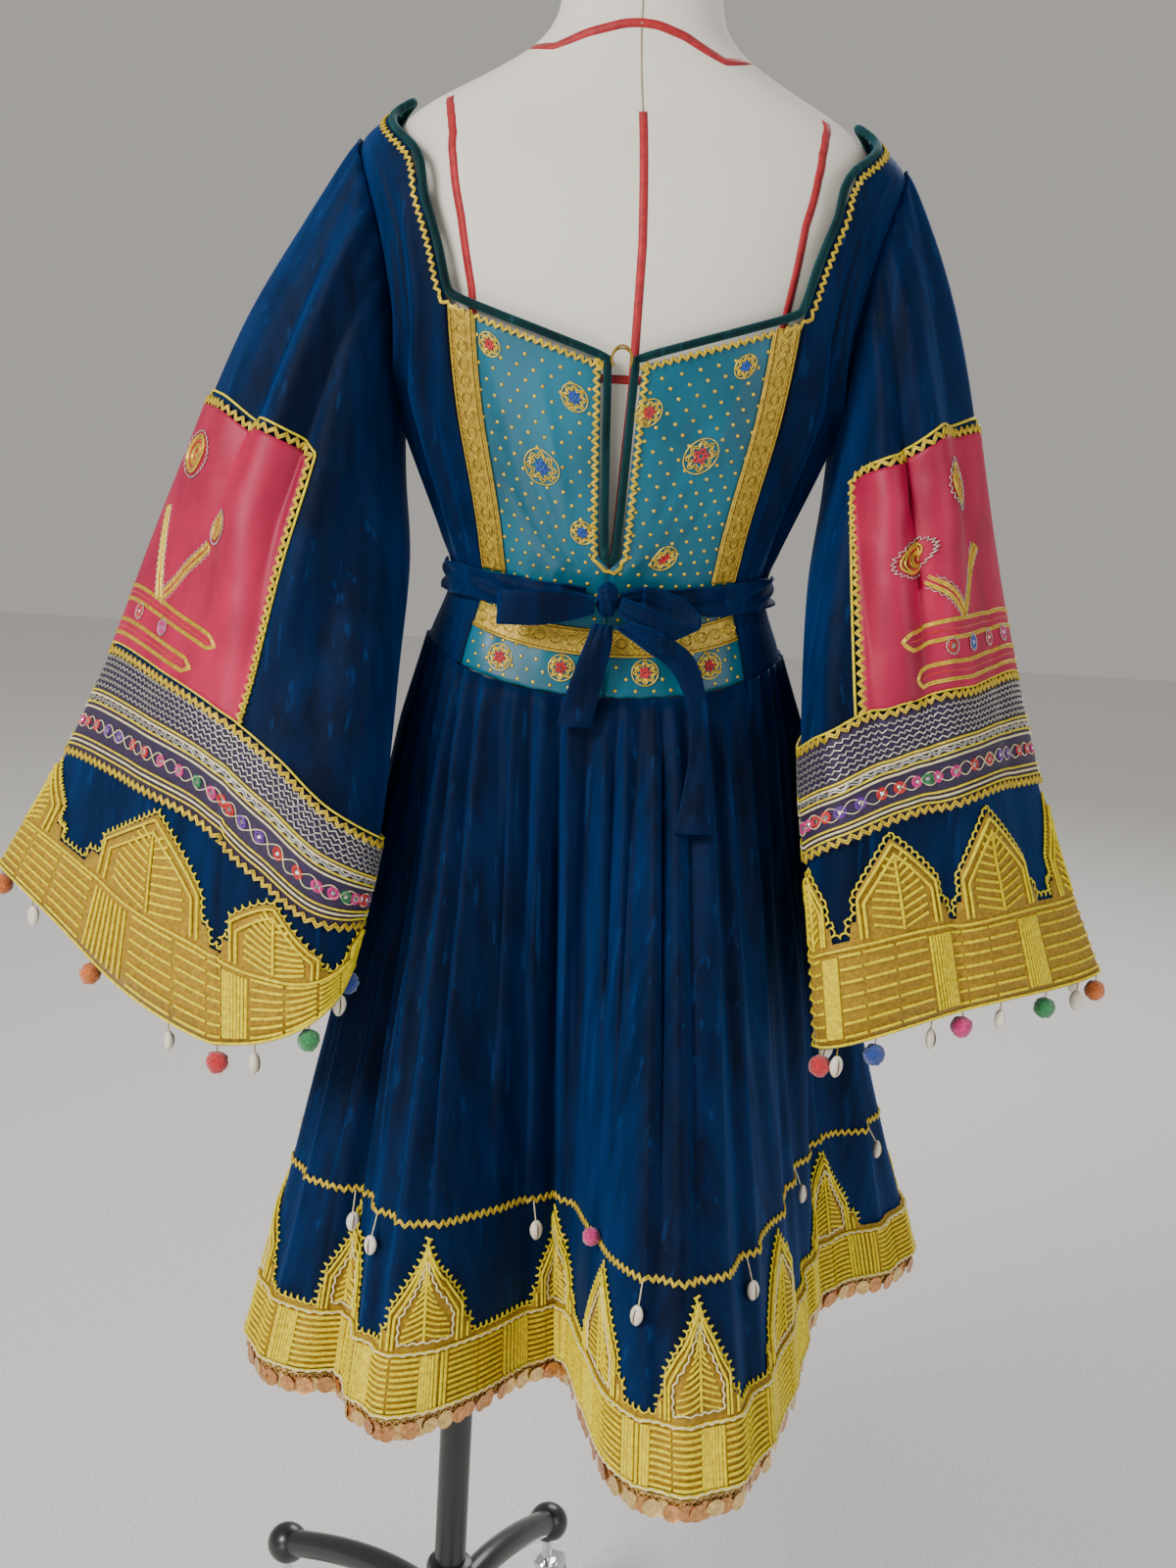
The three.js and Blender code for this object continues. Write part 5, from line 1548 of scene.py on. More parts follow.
@dataclass
class Border:
    """The skirt's hem border: a base band, pointed houses of cord, lace and coins.

    Attributes:
        skirt: what it is sewn on.
        half_house: half a house's width, in millimetres.
        block: length of a block of cord rows in the base band.
        length: the hem's length, in millimetres.
        eaves: height of a house's walls.
        shoulder: height of the step beside a house.
        upright: cords in a block of upright rows.
        level: cords in a block of level rows.
        coin_gap: millimetres from one coin to the next.
    """

    skirt: Skirt
    half_house: float = 33.0
    block: float = 26.0
    length: float = 2015.0
    eaves: float = 74.0
    shoulder: float = 62.0
    upright: int = 8
    level: int = 9
    coin_gap: float = 10.2

    def share(self, distance: float) -> float:
        """Share of the hem for a length along it."""
        return distance / self.length

    def house_top(self, off: float) -> float:
        """Height of a house's outline at a distance from its middle, in millimetres."""
        return mix(PEAK, self.eaves, clamp(off / self.half_house))

    def outline(self, share: float) -> float:
        """Height of the stepped outline at a share round the hem."""
        off = abs(self.skirt.apart(share)) * self.length
        if off < self.half_house:
            return self.house_top(off)
        return self.shoulder if off < self.half_house + 8 else BORDER + 4

    def build(self) -> None:
        """Make the ground, the cords, the scallops, the lace and the coins."""
        self.ground()
        self.cords()
        self.scallops()
        self.lace()
        self.coins()

    def ground(self) -> None:
        """Backing of the cord work, a little raised."""

        def place(u: float, v: float) -> Vector:
            return lifted(self.skirt.low, u, mix(1.5, self.outline(u), v), VELVET + 0.9)

        obj = sheet("couching_ground", (640, 5), place, Trim.GROUND.value, 1.2, closed=True)
        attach(obj, ROOT)
        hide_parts("skirt_applique")
        LOG.info("couching ground")

    def line(self, points: Sequence[tuple[float, float]], lift: float, spacing: float = 2.2) -> Track:
        """Track on the skirt through places given by distance round and height."""
        path = [(self.share(d), h) for d, h in points]
        return Track.on(self.skirt.low, path, lift, spacing)

    def cords(self) -> None:
        """Rows of couched cord: blocks in the band, herringbone and loops in the houses."""
        lift = VELVET + 3.0
        band = Cords("couched_band", 1.45, Trim.YELLOW.value, 0)
        pale = Cords("couched_pale", 0.8, Trim.PALE.value, 0)
        houses = Cords("couched_houses", 1.15, Trim.YELLOW.value, 0)
        count = round(self.length / self.block)
        size = self.length / count
        for k in range(count):
            start = k * size
            if k % 3 == 2:
                for row in range(self.upright):
                    x = start + (row + 0.5) * size / self.upright
                    band.add(self.line([(x, 4), (x, BORDER - 3)], lift, 6).points)
            else:
                for row in range(self.level):
                    h = 5.5 + row * 4.5
                    band.add(self.line([(start + 0.9, h), (start + size - 0.9, h)], lift, 3.4).points)
        for edge in (2.2, BORDER - 0.2):
            track = self.line([(d * self.length / 90, edge) for d in range(91)], lift + 0.5, 2.0)
            band.add(track.points)
            pale.add(track.wave(0.9, 4, 0, 1.2))
        for house in HOUSES:
            self.house(house * self.length, houses, pale, lift)
        for obj in (band.build(), pale.build(), houses.build()):
            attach(obj, ROOT)
        LOG.info("couched cords")

    def house(self, middle: float, cord: Cords, pale: Cords, lift: float) -> None:
        """One pointed house: outline, inner frames and a herringbone fill."""
        w, foot = self.half_house, BORDER + 3
        for inset in (1.2, 4.6):
            walls = [(w - inset, foot), (w - inset, self.eaves + 2 - inset)]
            frame = gabled(middle, walls, PEAK - 1.3 * inset)
            cord.add(self.line(frame, lift + 0.4).points)
        inner = w - 8
        frame = gabled(middle, [(inner, foot + 4), (inner, self.eaves - 3)], PEAK - 13)
        frame.append(frame[0])
        pale.add(self.line(frame, lift + 0.5, 1.8).wave(0.8, 4))
        for row in range(13):
            h = foot + 7 + row * 4.6
            for side in (-1, 1):
                reach = min(inner - 2.5, (PEAK - 17 - h) * inner / 50)
                if reach < 3:
                    continue
                start, end = (middle + side * 1.8, h + 3), (middle + side * reach, h - 2.4)
                cord.add(self.line([start, end], lift, 4).points)
        cord.add(self.line([(middle, foot + 5), (middle, PEAK - 14)], lift + 0.4, 4).points)
        for side in (-1, 1):
            x = middle + side * (w + 4.2)
            cord.add(self.line([(x, foot), (x, self.shoulder - 2)], lift, 3).points)

    def scallops(self) -> None:
        """Curled loops of cord along the stepped outline."""
        loops = Cords("curled_edge", 0.85, Trim.YELLOW.value, 0)
        path: list[tuple[float, float]] = []
        w = self.half_house
        steps = [(w + 9, BORDER + 6), (w + 9, self.shoulder + 2)]
        steps += [(w + 1.5, self.shoulder + 4), (w + 1.5, self.eaves + 5)]
        for house in HOUSES:
            path += gabled(house * self.length, steps, PEAK + 4)
        track = self.line(path, VELVET + 1.5, 0.95)
        loops.add(track.loops(2.1, 1.5, 6))
        obj = loops.build()
        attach(obj, ROOT)
        LOG.info("curled edge")

    def lace(self) -> None:
        """Gold lace under the hem, an open net with a scalloped foot."""
        gold = Cords("hem_lace_net", 0.6, Trim.LACE.value, 0)

        def place(u: float, v: float) -> Vector:
            base = self.skirt.place(u, 0)
            return base + Vector((0, 0, -0.4 - 10.4 * (1 - v)))

        obj = sheet("hem_lace", (700, 4), place, Trim.DARK_GOLD.value, 0.8, closed=True)
        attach(obj, ROOT)
        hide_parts("hem_trim")
        steps = 520
        top = [(i / steps, 0.5) for i in range(steps + 1)]
        track = Track.on(place, top, 1.3, 1.3)
        for width in (3.9, -3.9):
            gold.add(track.wave(width, 8))
        for d in (-4.6, 0, 4.6):
            gold.add(track.offset(d, 0.3)[::3])
        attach(gold.build(), ROOT)
        LOG.info("hem lace")

    def coins(self) -> None:
        """Overlapping coins hung from the lace."""
        dice = random.Random(7)
        meshes = {Trim.COPPER: bmesh.new(), Trim.BRASS: bmesh.new()}
        count = round(self.length / self.coin_gap)
        for k in range(count):
            share = (k + dice.uniform(-0.12, 0.12)) / count
            root = self.skirt.place(share, 0)
            normal = normal_of(self.skirt.place, share, 0.01)
            flat = Vector((normal.x, normal.y, 0)).normalized()
            radius = dice.uniform(6.3, 7.2)
            p = root + flat * (1.9 + (1.5 if k % 2 else 0.2)) + Vector((0, 0, -9.5 - dice.uniform(0, 1.4)))
            tilt = Matrix.Rotation(dice.uniform(-0.14, 0.14), 4, "Z")
            tilt = tilt @ Matrix.Rotation(dice.uniform(-0.1, 0.1), 4, "X")
            trim = Trim.COPPER if dice.random() < 0.55 else Trim.BRASS
            coin(meshes[trim], p, tilt.to_3x3() @ flat, radius)
        for trim, bm in meshes.items():
            obj = as_object(f"hem_{trim.name.lower()}_coins", bm, trim.value, smooth_faces=False)
            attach(obj, ROOT)
        LOG.info("hem coins")


def coin(bm: bmesh.types.BMesh, p: Vector, normal: Vector, radius: float) -> None:
    """Thin disc with a raised middle."""
    turn = Vector((0, 0, 1)).rotation_difference(normal).to_matrix().to_4x4()
    matrix = Matrix.Translation(Stage.world(p)) @ turn
    size = dict(segments=14, radius1=radius * MM, radius2=radius * MM, depth=0.8 * MM)
    disc = bmesh.ops.create_cone(bm, cap_ends=True, cap_tris=False, matrix=matrix, **size)
    faces = {f for v in disc["verts"] for f in v.link_faces if len(f.verts) > 4}
    raised = bmesh.ops.inset_region(bm, faces=list(faces), thickness=radius * 0.22 * MM, depth=-0.25 * MM)
    for face in raised["faces"]:
        face.smooth = False


# ---------------------------------------------------------------- sleeves

# Each row: turn at the foot, drift in turns, width in turns, start and end down the sleeve, depth.
SLEEVE_CREASES = {
    "left": (
        (20, 10, 11, 0.02, 0.5, 5),
        (44, 6, 9, 0.03, 0.62, -6),
        (62, 10, 12, 0.02, 0.8, 6),
        (84, -8, 8, 0.05, 0.55, -5),
        (104, -10, 11, 0.05, 0.9, 6),
        (126, -6, 10, 0.1, 0.7, -6),
        (146, -12, 12, 0.15, 0.95, 6),
        (5, -6, 9, 0.04, 0.35, 4),
        (-20, -4, 12, 0.05, 0.6, 5),
        (-50, 0, 10, 0.05, 0.7, -5),
        (-80, 5, 12, 0.08, 0.85, 6),
        (-115, 0, 12, 0.2, 0.9, -5),
        (72, 16, 7, 0.42, 0.99, 4),
        (36, 8, 7, 0.5, 0.99, -4),
        (118, -12, 8, 0.5, 0.99, 4),
    ),
    "right": (
        (14, 8, 11, 0.02, 0.45, 5),
        (34, 8, 9, 0.03, 0.6, -6),
        (56, 10, 12, 0.02, 0.85, 7),
        (80, -4, 9, 0.05, 0.6, -6),
        (100, -10, 11, 0.05, 0.9, 7),
        (124, -8, 9, 0.1, 0.75, -6),
        (144, -10, 12, 0.12, 0.95, 6),
        (0, -6, 9, 0.04, 0.35, 4),
        (-24, -4, 12, 0.05, 0.6, 5),
        (-54, 0, 10, 0.05, 0.7, -5),
        (-84, 5, 12, 0.08, 0.85, 6),
        (66, 14, 7, 0.4, 0.99, 4),
        (30, 6, 7, 0.5, 0.99, -4),
        (112, -10, 8, 0.5, 0.99, 4),
    ),
}


PANEL_MIRRORS = {
    "left": ((22, 0.69, Trim.RED_THREAD), (40, 0.69, Trim.MAGENTA_THREAD)),
    "right": (
        (66, 0.683, Trim.RED_THREAD),
        (52, 0.683, Trim.BLUE_THREAD),
        (34, 0.683, Trim.RED_THREAD),
        (18, 0.683, Trim.MAGENTA_THREAD),
    ),
}
DROP_COLOURS = {
    "left": (Trim.ORANGE, Trim.ORANGE, Trim.RED, Trim.GREEN, Trim.BLUE, Trim.RED, Trim.MAGENTA, Trim.ORANGE),
    "right": (Trim.ORANGE, Trim.GREEN, Trim.MAGENTA, Trim.BLUE, Trim.RED, Trim.ORANGE, Trim.GREEN, Trim.RED),
}
PANEL_DROPS = {  # turn, row, size in millimetres and lean of each curled drop
    "left": ((27, 0.485, 14.5, 20), (56, 0.552, 10.5, 60)),
    "right": ((48, 0.487, 15.0, 10), (80, 0.56, 10.5, -40)),
}
PANEL_STEMS = {  # from and to, each a turn and a row
    "left": (((32, 0.664), (51, 0.575)), ((32, 0.664), (13, 0.56))),
    "right": (((58, 0.648), (75, 0.585)), ((58, 0.648), (36, 0.57))),
}
PANEL_STRIPES = {"left": ((0.664, 66), (0.705, 58)), "right": ((0.655, 92), (0.703, 84))}
PANEL_CREASES = {
    "left": (
        Crease(40, 30, 9, -0.1, 0.55, 2.2),
        Crease(62, -30, 7, 0.05, 0.5, -1.6),
        Crease(70, 12, 8, 0.3, 1.0, 2.4),
        Crease(50, 10, 7, 0.35, 0.9, -1.8),
        Crease(-50, 10, 10, 0.1, 0.9, 2.2),
        Crease(-20, -10, 8, 0.1, 0.7, -1.8),
    ),
    "right": (
        Crease(92, -20, 9, 0.0, 0.6, 3.0),
        Crease(74, 26, 7, 0.05, 0.5, -2.4),
        Crease(104, 8, 8, 0.25, 0.95, 3.0),
        Crease(66, -12, 6, 0.1, 0.5, 2.0),
        Crease(112, -26, 6, 0.05, 0.45, -2.2),
        Crease(-60, 10, 10, 0.1, 0.9, 2.4),
        Crease(-90, 0, 9, 0.1, 0.8, -2.0),
    ),
}


@dataclass
class Sleeve:
    """A bell sleeve with its pink panel, trimmed band, cord cuff and hanging drops.

    Attributes:
        label: left or right.
    """

    label: str

    def __post_init__(self) -> None:
        """Read the sleeve's own lines and creases."""
        self.side = 1 if self.label == "right" else -1
        rows = SLEEVE_LINES[self.label]
        self.lines = Smooth([(at, *outer, *back, *inner, *front) for at, outer, back, inner, front in rows])
        self.trims = Smooth(SLEEVE_TRIMS[self.label])
        self.creases = tuple(
            Crease(turn, drift, width * 0.9, low, high, depth * 1.3)
            for turn, drift, width, low, high, depth in SLEEVE_CREASES[self.label]
        )
        columns, rows = SLEEVE_SAMPLES
        turns = [360 * i / columns * self.side for i in range(columns)]
        self.samples = [[self.point(t, self.slanted(t, j / rows)) for j in range(rows + 1)] for t in turns]
        self.samples.append(self.samples[0])

    def point(self, turn: float, at: float) -> Vector:
        """Point of the inner face; turn 0 over the arm, 90 at its back; at 0 the armhole, 1 the cuff."""
        row = self.lines.read(at)
        outer, back, inner, front = (Vector(row[k : k + 3]) for k in (0, 3, 6, 9))
        angle = math.radians(turn)
        c, s = math.cos(angle), math.sin(angle)
        power = mix(1, CUFF_SHARPNESS, clamp(at))
        p = (outer + back + inner + front) / 4
        p += (outer - inner) * (math.copysign(abs(c) ** power, c) / 2)
        p += (back - front) * (math.copysign(abs(s) ** power, s) / 2)
        p += (outer + inner - back - front) * (math.cos(2 * angle) / 4)
        if at < CAP_SHARE:
            bow, z = armhole(math.acos(clamp(-c, -1, 1)))
            seam = section_point(BODICE, sided(self.side, 360 - bow if s > 0 else bow), z)
            seam += Vector((self.side * (VELVET + 1.8), 0, 0.4))
            p = p.lerp(seam, (1 - max(at, 0) / CAP_SHARE) ** 2)
        out = (p - (outer + inner) / 2).normalized()
        cap = max(0.0, c + 0.25) * math.sin(math.pi * min(1.0, max(at, 0) / 0.55))
        gather = 0.5 - 0.5 * math.cos(CAP_GATHERS * 2 * angle)
        wrapped = (turn + 180) % 360 - 180
        held = min(1.0, max(at, 0) / 0.05)
        crease = sum(k.at_point(wrapped, at) for k in self.creases) * held * (1 - 0.55 * step(at, 0.4, 0.74))
        fine = 1.1 * math.sin(23 * angle + 9 * at) * math.exp(-((at - 0.04) / 0.06) ** 2)
        return p + out * (4.5 * cap * gather + 4 * at * math.cos(5 * angle + 1) + crease + fine * (s > -0.3))

    def place(self, u: float, v: float) -> Vector:
        """Surface whose first way is the turn, outward on either side."""
        return self.point(360 * u * self.side, v)

    def u(self, turn: float) -> float:
        """Place along the surface's first way for a turn."""
        return turn / 360 * self.side

    def slanted(self, turn: float, row: float) -> float:
        """Share down the sleeve at which a level row lies once it slants round the arm."""
        panel, band, foot = self.trims.read(abs((turn + 540) % 360 - 180))
        levels = ((0.0, 0.0), (PANEL_TOP, panel), (BAND_TOP, band), (BAND_FOOT, foot), (1.0, 1.0))
        i = 0
        while i < 3 and levels[i + 1][0] < row:
            i += 1
        (a, place_a), (b, place_b) = levels[i], levels[i + 1]
        return mix(place_a, place_b, (row - a) / (b - a))

    def trimmed(self, u: float, v: float) -> Vector:
        """The same surface, its second way following the slanted rows, read from samples."""
        columns, rows = SLEEVE_SAMPLES
        x, y = (u % 1.0) * columns, clamp(v) * rows
        i, j = min(int(x), columns - 1), min(int(y), rows - 1)
        low, high = self.samples[i], self.samples[i + 1]
        return low[j].lerp(low[j + 1], y - j).lerp(high[j].lerp(high[j + 1], y - j), x - i)

    def strip(self, turns: tuple[float, float], rows: tuple[float, float], lift: float) -> Place:
        """Part of the slanted surface as a surface of its own, raised."""
        a, b = sorted((self.u(turns[0]), self.u(turns[1])))

        def place(u: float, v: float) -> Vector:
            return lifted(self.trimmed, mix(a, b, u), mix(rows[0], rows[1], v), lift)

        return place

    def line(self, path: Sequence[tuple[float, float]], lift: float, spacing: float = 1.6) -> Track:
        """Track on the slanted surface through places given by turn and row."""
        return Track.on(self.trimmed, [(self.u(t), row) for t, row in path], lift, spacing)

    def ring(self, row: float, lift: float, spacing: float = 1.6) -> Track:
        """Track all round the sleeve."""
        return self.line([(12 * i, row) for i in range(31)], lift, spacing)

    def build(self) -> None:
        """Make the sleeve and all that is sewn on it."""
        name = f"velvet_sleeve_{self.label}"
        obj = sheet(name, (124, 64), self.place, Trim.NAVY.value, VELVET, closed=True)
        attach(obj, ROOT)
        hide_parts(f"sleeve_{self.label}")
        LOG.info("velvet sleeve, %s", self.label)
        Panel(self).build()
        MirrorBand(self).build()
        Cuff(self).build()


@dataclass
class Panel:
    """Pink satin panel over the arm, with gold cord drops, stripes and its border.

    Attributes:
        sleeve: what it is sewn on.
        foot: its lowest row.
    """

    sleeve: Sleeve
    foot: float = 0.735

    def build(self) -> None:
        """Make the satin and its needlework."""
        s = self.sleeve
        self.half = PANEL_TURN[s.label]
        crumple = PANEL_CREASES[s.label]

        def place(u: float, v: float) -> Vector:
            turn = self.half * (2 * u - 1) * s.side
            inside = min(1.0, 9 * u, 9 * (1 - u), 7 * v, 7 * (1 - v))
            rise = max(-0.3, sum(c.at_point(turn, v) for c in crumple)) * inside
            return lifted(s.trimmed, s.u(turn), mix(PANEL_TOP + 0.004, self.foot, v), VELVET + 1.9 + rise)

        obj = sheet(f"pink_panel_{s.label}", (72, 48), place, Trim.PINK.value, SATIN)
        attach(obj, ROOT)
        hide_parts(f"sleeve_panel_{s.label}")
        self.face = lambda u, v: place(u, v) + normal_of(place, u, v) * SATIN
        LOG.info("pink panel, %s", s.label)
        self.border()
        self.figures()

    def border(self) -> None:
        """Zigzag braid and yellow cord along the panel's top and sides."""
        s = self.sleeve
        cord = Cords(f"panel_cord_{s.label}", 1.1, Trim.YELLOW.value, 0)
        braid = Cords(f"panel_rickrack_{s.label}", 0.95, Trim.RICKRACK.value, 0)
        h = self.half
        frame = [(-h, self.foot), (-h, PANEL_TOP)] + [(t, PANEL_TOP) for t in range(-80, 81, 20)]
        frame += [(h, PANEL_TOP), (h, self.foot)]
        if s.side < 0:
            frame.reverse()
        track = s.line(frame, VELVET + SATIN + 1.4, 1.8)
        braid.add(track.wave(2.2, 4))
        braid.add(track.wave(2.2, 4, 1.8))
        outer = [(t * (1 + 3.4 / h), row - 0.016 if row < 0.5 else row) for t, row in frame]
        cord.add(s.line(outer, VELVET + 1.0, 3.0).points)
        for obj in (cord.build(), braid.build()):
            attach(obj, ROOT)

    def patch(self, turn: float, row: float, lean: float = 0.0) -> Patch:
        """Spot of the panel, measured across the sleeve and down it."""
        s = self.sleeve
        u = (turn * s.side / self.half + 1) / 2
        v = (row - PANEL_TOP) / (self.foot - PANEL_TOP)
        return Patch(self.face, u, v, 0.8, lean)

    def figures(self) -> None:
        """Drops, branches, stripes and small mirrors of gold and silver cord."""
        s = self.sleeve
        gold = Cords(f"panel_gold_{s.label}", 1.0, Trim.GOLD.value, 0)
        red = Cords(f"panel_red_{s.label}", 0.9, Trim.RED_THREAD.value, 0)
        silver = Cords(f"panel_silver_{s.label}", 0.45, Trim.SILVER.value, 0)
        mirrors = Mirrors(f"panel_{s.label}")
        for mirrored in (1, -1):
            for turn, row, size, lean in PANEL_DROPS[s.label]:
                self.drop(self.patch(mirrored * turn, row), size, lean * s.side * mirrored, gold, red, silver)
            for (t0, r0), (t1, r1) in PANEL_STEMS[s.label]:
                self.stem((mirrored * t0, r0), (mirrored * t1, r1), gold, silver)
        for row, reach in PANEL_STRIPES[s.label]:
            line = [(-reach, row), (0, row), (reach, row), (reach + 4, row + 0.008), (reach, row + 0.018)]
            line += [(0, row + 0.018), (-reach, row + 0.018), (-reach - 4, row + 0.008), (-reach, row)]
            track = s.line(line, PANEL_CORD, 2.4)
            gold.add(track.points)
            gold.add(track.offset(1.5))
            red.add(s.line([(-reach, row + 0.009), (reach, row + 0.009)], VELVET + SATIN + 1.8, 3).points)
        for turn, row, trim in PANEL_MIRRORS[s.label]:
            for mirrored in (1, -1):
                mirrors.add(self.patch(mirrored * turn, row), 3.0, trim, silver)
        for obj in (gold.build(), red.build(), silver.build()):
            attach(obj, ROOT)
        mirrors.build()
        LOG.info("panel needlework, %s", s.label)

    def drop(self, patch: Patch, size: float, lean: float, gold: Cords, red: Cords, silver: Cords) -> None:
        """Curled drop of doubled gold cord with a silver zigzag round it."""
        turned = Patch(patch.place, patch.u, patch.v, patch.lift, lean)
        rings = ((1.0, gold), (0.86, gold), (0.72, red), (0.56, gold), (0.42, gold), (0.26, red))
        for k, cord in (*rings, (0.12, gold)):
            shape = lambda a, k=k: size * k * (1 - 0.32 * math.sin(a / 2) ** 6) * (1 + 0.22 * math.cos(a))
            cord.add(turned.curve(shape, 30), ring=True)
        edge = lambda a: (size * 1.22 + 0.9 * math.cos(26 * a)) * (1 + 0.2 * math.cos(a))
        silver.add(turned.curve(edge, 104), ring=True)

    def stem(self, low: tuple[float, float], high: tuple[float, float], gold: Cords, silver: Cords) -> None:
        """Straight stem of doubled gold cord, edged with silver zigzag."""
        track = self.sleeve.line([low, high], PANEL_CORD, 1.2)
        for distance in (-3.2, -1.6, 1.6, 3.2):
            gold.add(track.offset(distance)[::2] + [track.points[-1]])
        for side in (-1, 1):
            silver.add(track.wave(0.9, 4, side * 5.2))


@dataclass
class Mirrors:
    """Round mirrors in rings of coloured thread, gathered by colour.

    Attributes:
        name: start of the pieces' names.
        glass: the mirrors.
        rings: the thread rings, by colour.
    """

    name: str
    glass: dict[Trim, bmesh.types.BMesh] = field(default_factory=dict)
    rings: dict[Trim, Cords] = field(default_factory=dict)

    def add(self, patch: Patch, radius: float, trim: Trim, silver: Cords | None = None) -> None:
        """Sew on one mirror; its thread ring has the colour that is named."""
        bm = self.glass.setdefault(Trim.GLASS, bmesh.new())
        stud(bm, patch.at(0, 0), patch.normal(), radius * 0.8, 0.9, 12)
        if trim not in self.rings:
            self.rings[trim] = Cords(f"{self.name}_{trim.name.lower()}_rings", 0.85, trim.value, 0)
        for k in (1.05, 1.45):
            self.rings[trim].add(patch.curve(lambda a: radius * k, 12), ring=True)
        if silver:
            silver.add(patch.curve(lambda a: radius * (2.0 + 0.22 * math.cos(13 * a)), 52), ring=True)

    def build(self) -> None:
        """Make the mirrors and their rings."""
        for trim, bm in self.glass.items():
            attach(as_object(f"{self.name}_mirrors", bm, trim.value, smooth_faces=False), ROOT)
        for cords in self.rings.values():
            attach(cords.build(), ROOT)


@dataclass
class MirrorBand:
    """Band of silver braid, cords, zigzags and mirrors round a sleeve.

    Attributes:
        sleeve: what it is sewn on.
        mirror_gap: millimetres from one mirror to the next.
        steps: points of the chain in that gap.
        mirror_row: share down the band at which the mirrors lie.
    """

    sleeve: Sleeve
    mirror_gap: float = 15.5
    steps: int = 12
    mirror_row: float = 0.71

    def build(self) -> None:
        """Make the band's ground and everything laid on it."""
        s = self.sleeve
        place = s.strip((0, 360), (BAND_TOP, BAND_FOOT), VELVET + 1.2)
        obj = sheet(f"band_ground_{s.label}", (130, 8), place, Trim.PURPLE.value, RIBBON, closed=True)
        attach(obj, ROOT)
        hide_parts(f"sleeve_band_{s.label}")
        self.cords()
        self.mirrors()
        LOG.info("mirror band, %s", s.label)

    def row(self, share: float) -> float:
        """Row of the sleeve at a share down the band."""
        return mix(BAND_TOP, BAND_FOOT, share)

    def cords(self) -> None:
        """Plain cords, zigzag braids and the woven silver braid."""
        s = self.sleeve
        yellow = Cords(f"band_yellow_{s.label}", 0.95, Trim.YELLOW.value, 0)
        pale = Cords(f"band_pale_{s.label}", 1.0, Trim.PALE.value, 0)
        silver = Cords(f"band_silver_{s.label}", 0.75, Trim.SILVER.value, 0)
        braid = Cords(f"band_rickrack_{s.label}", 0.95, Trim.RICKRACK.value, 0)
        lift = VELVET + RIBBON + 1.9
        for share in (-0.045, 0.42, 0.53, 0.845, 0.925):
            yellow.add(s.ring(self.row(share), lift, 4.5).points)
        for share in (0.455, 0.575, 0.885):
            pale.add(s.ring(self.row(share), lift, 4.5).points)
        for share in (0.02, 0.985):
            track = s.ring(self.row(share), lift, 1.9)
            for distance in (0.0, 1.9):
                braid.add(track.wave(2.0, 4, distance))
        for k in range(6):
            track = s.ring(self.row(0.09 + 0.055 * k), lift, 1.7)
            silver.add(track.wave(1.25, 4 if k % 2 else 3))
        for k in (0, 1):
            silver.add(s.ring(self.row(0.478 + 0.024 * k), lift + 0.2, 1.8).wave(1.2, 6))
        for obj in (yellow.build(), pale.build(), silver.build(), braid.build()):
            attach(obj, ROOT)

    def mirrors(self) -> None:
        """Mirrors on the dark stripe, each between two crossing threads."""
        s = self.sleeve
        middle = self.row(self.mirror_row)
        track = s.ring(middle, VELVET + RIBBON + 1.7, self.mirror_gap / self.steps)
        count = (len(track.points) - 1) // self.steps
        chain = Cords(f"mirror_chain_{s.label}", 0.5, Trim.PALE.value, 0)
        for phase in (1, -1):
            chain.add(track.wave(phase * 4.9, 2 * self.steps))
        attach(chain.build(), ROOT)
        mirrors = Mirrors(f"band_{s.label}")
        order = (
            Trim.MAGENTA_THREAD, Trim.RED_THREAD, Trim.RED_THREAD, Trim.PURPLE_THREAD, Trim.PURPLE_THREAD,
            Trim.RED_THREAD, Trim.RED_THREAD, Trim.MAGENTA_THREAD, Trim.MAGENTA_THREAD, Trim.GREEN_THREAD,
        )
        for k in range(count):
            turn = 360 * (k + 0.5) * self.steps / (len(track.points) - 1)
            patch = Patch(s.trimmed, s.u(turn), middle, VELVET + RIBBON + 1.5)
            mirrors.add(patch, 2.7, order[k % len(order)])
        mirrors.build()


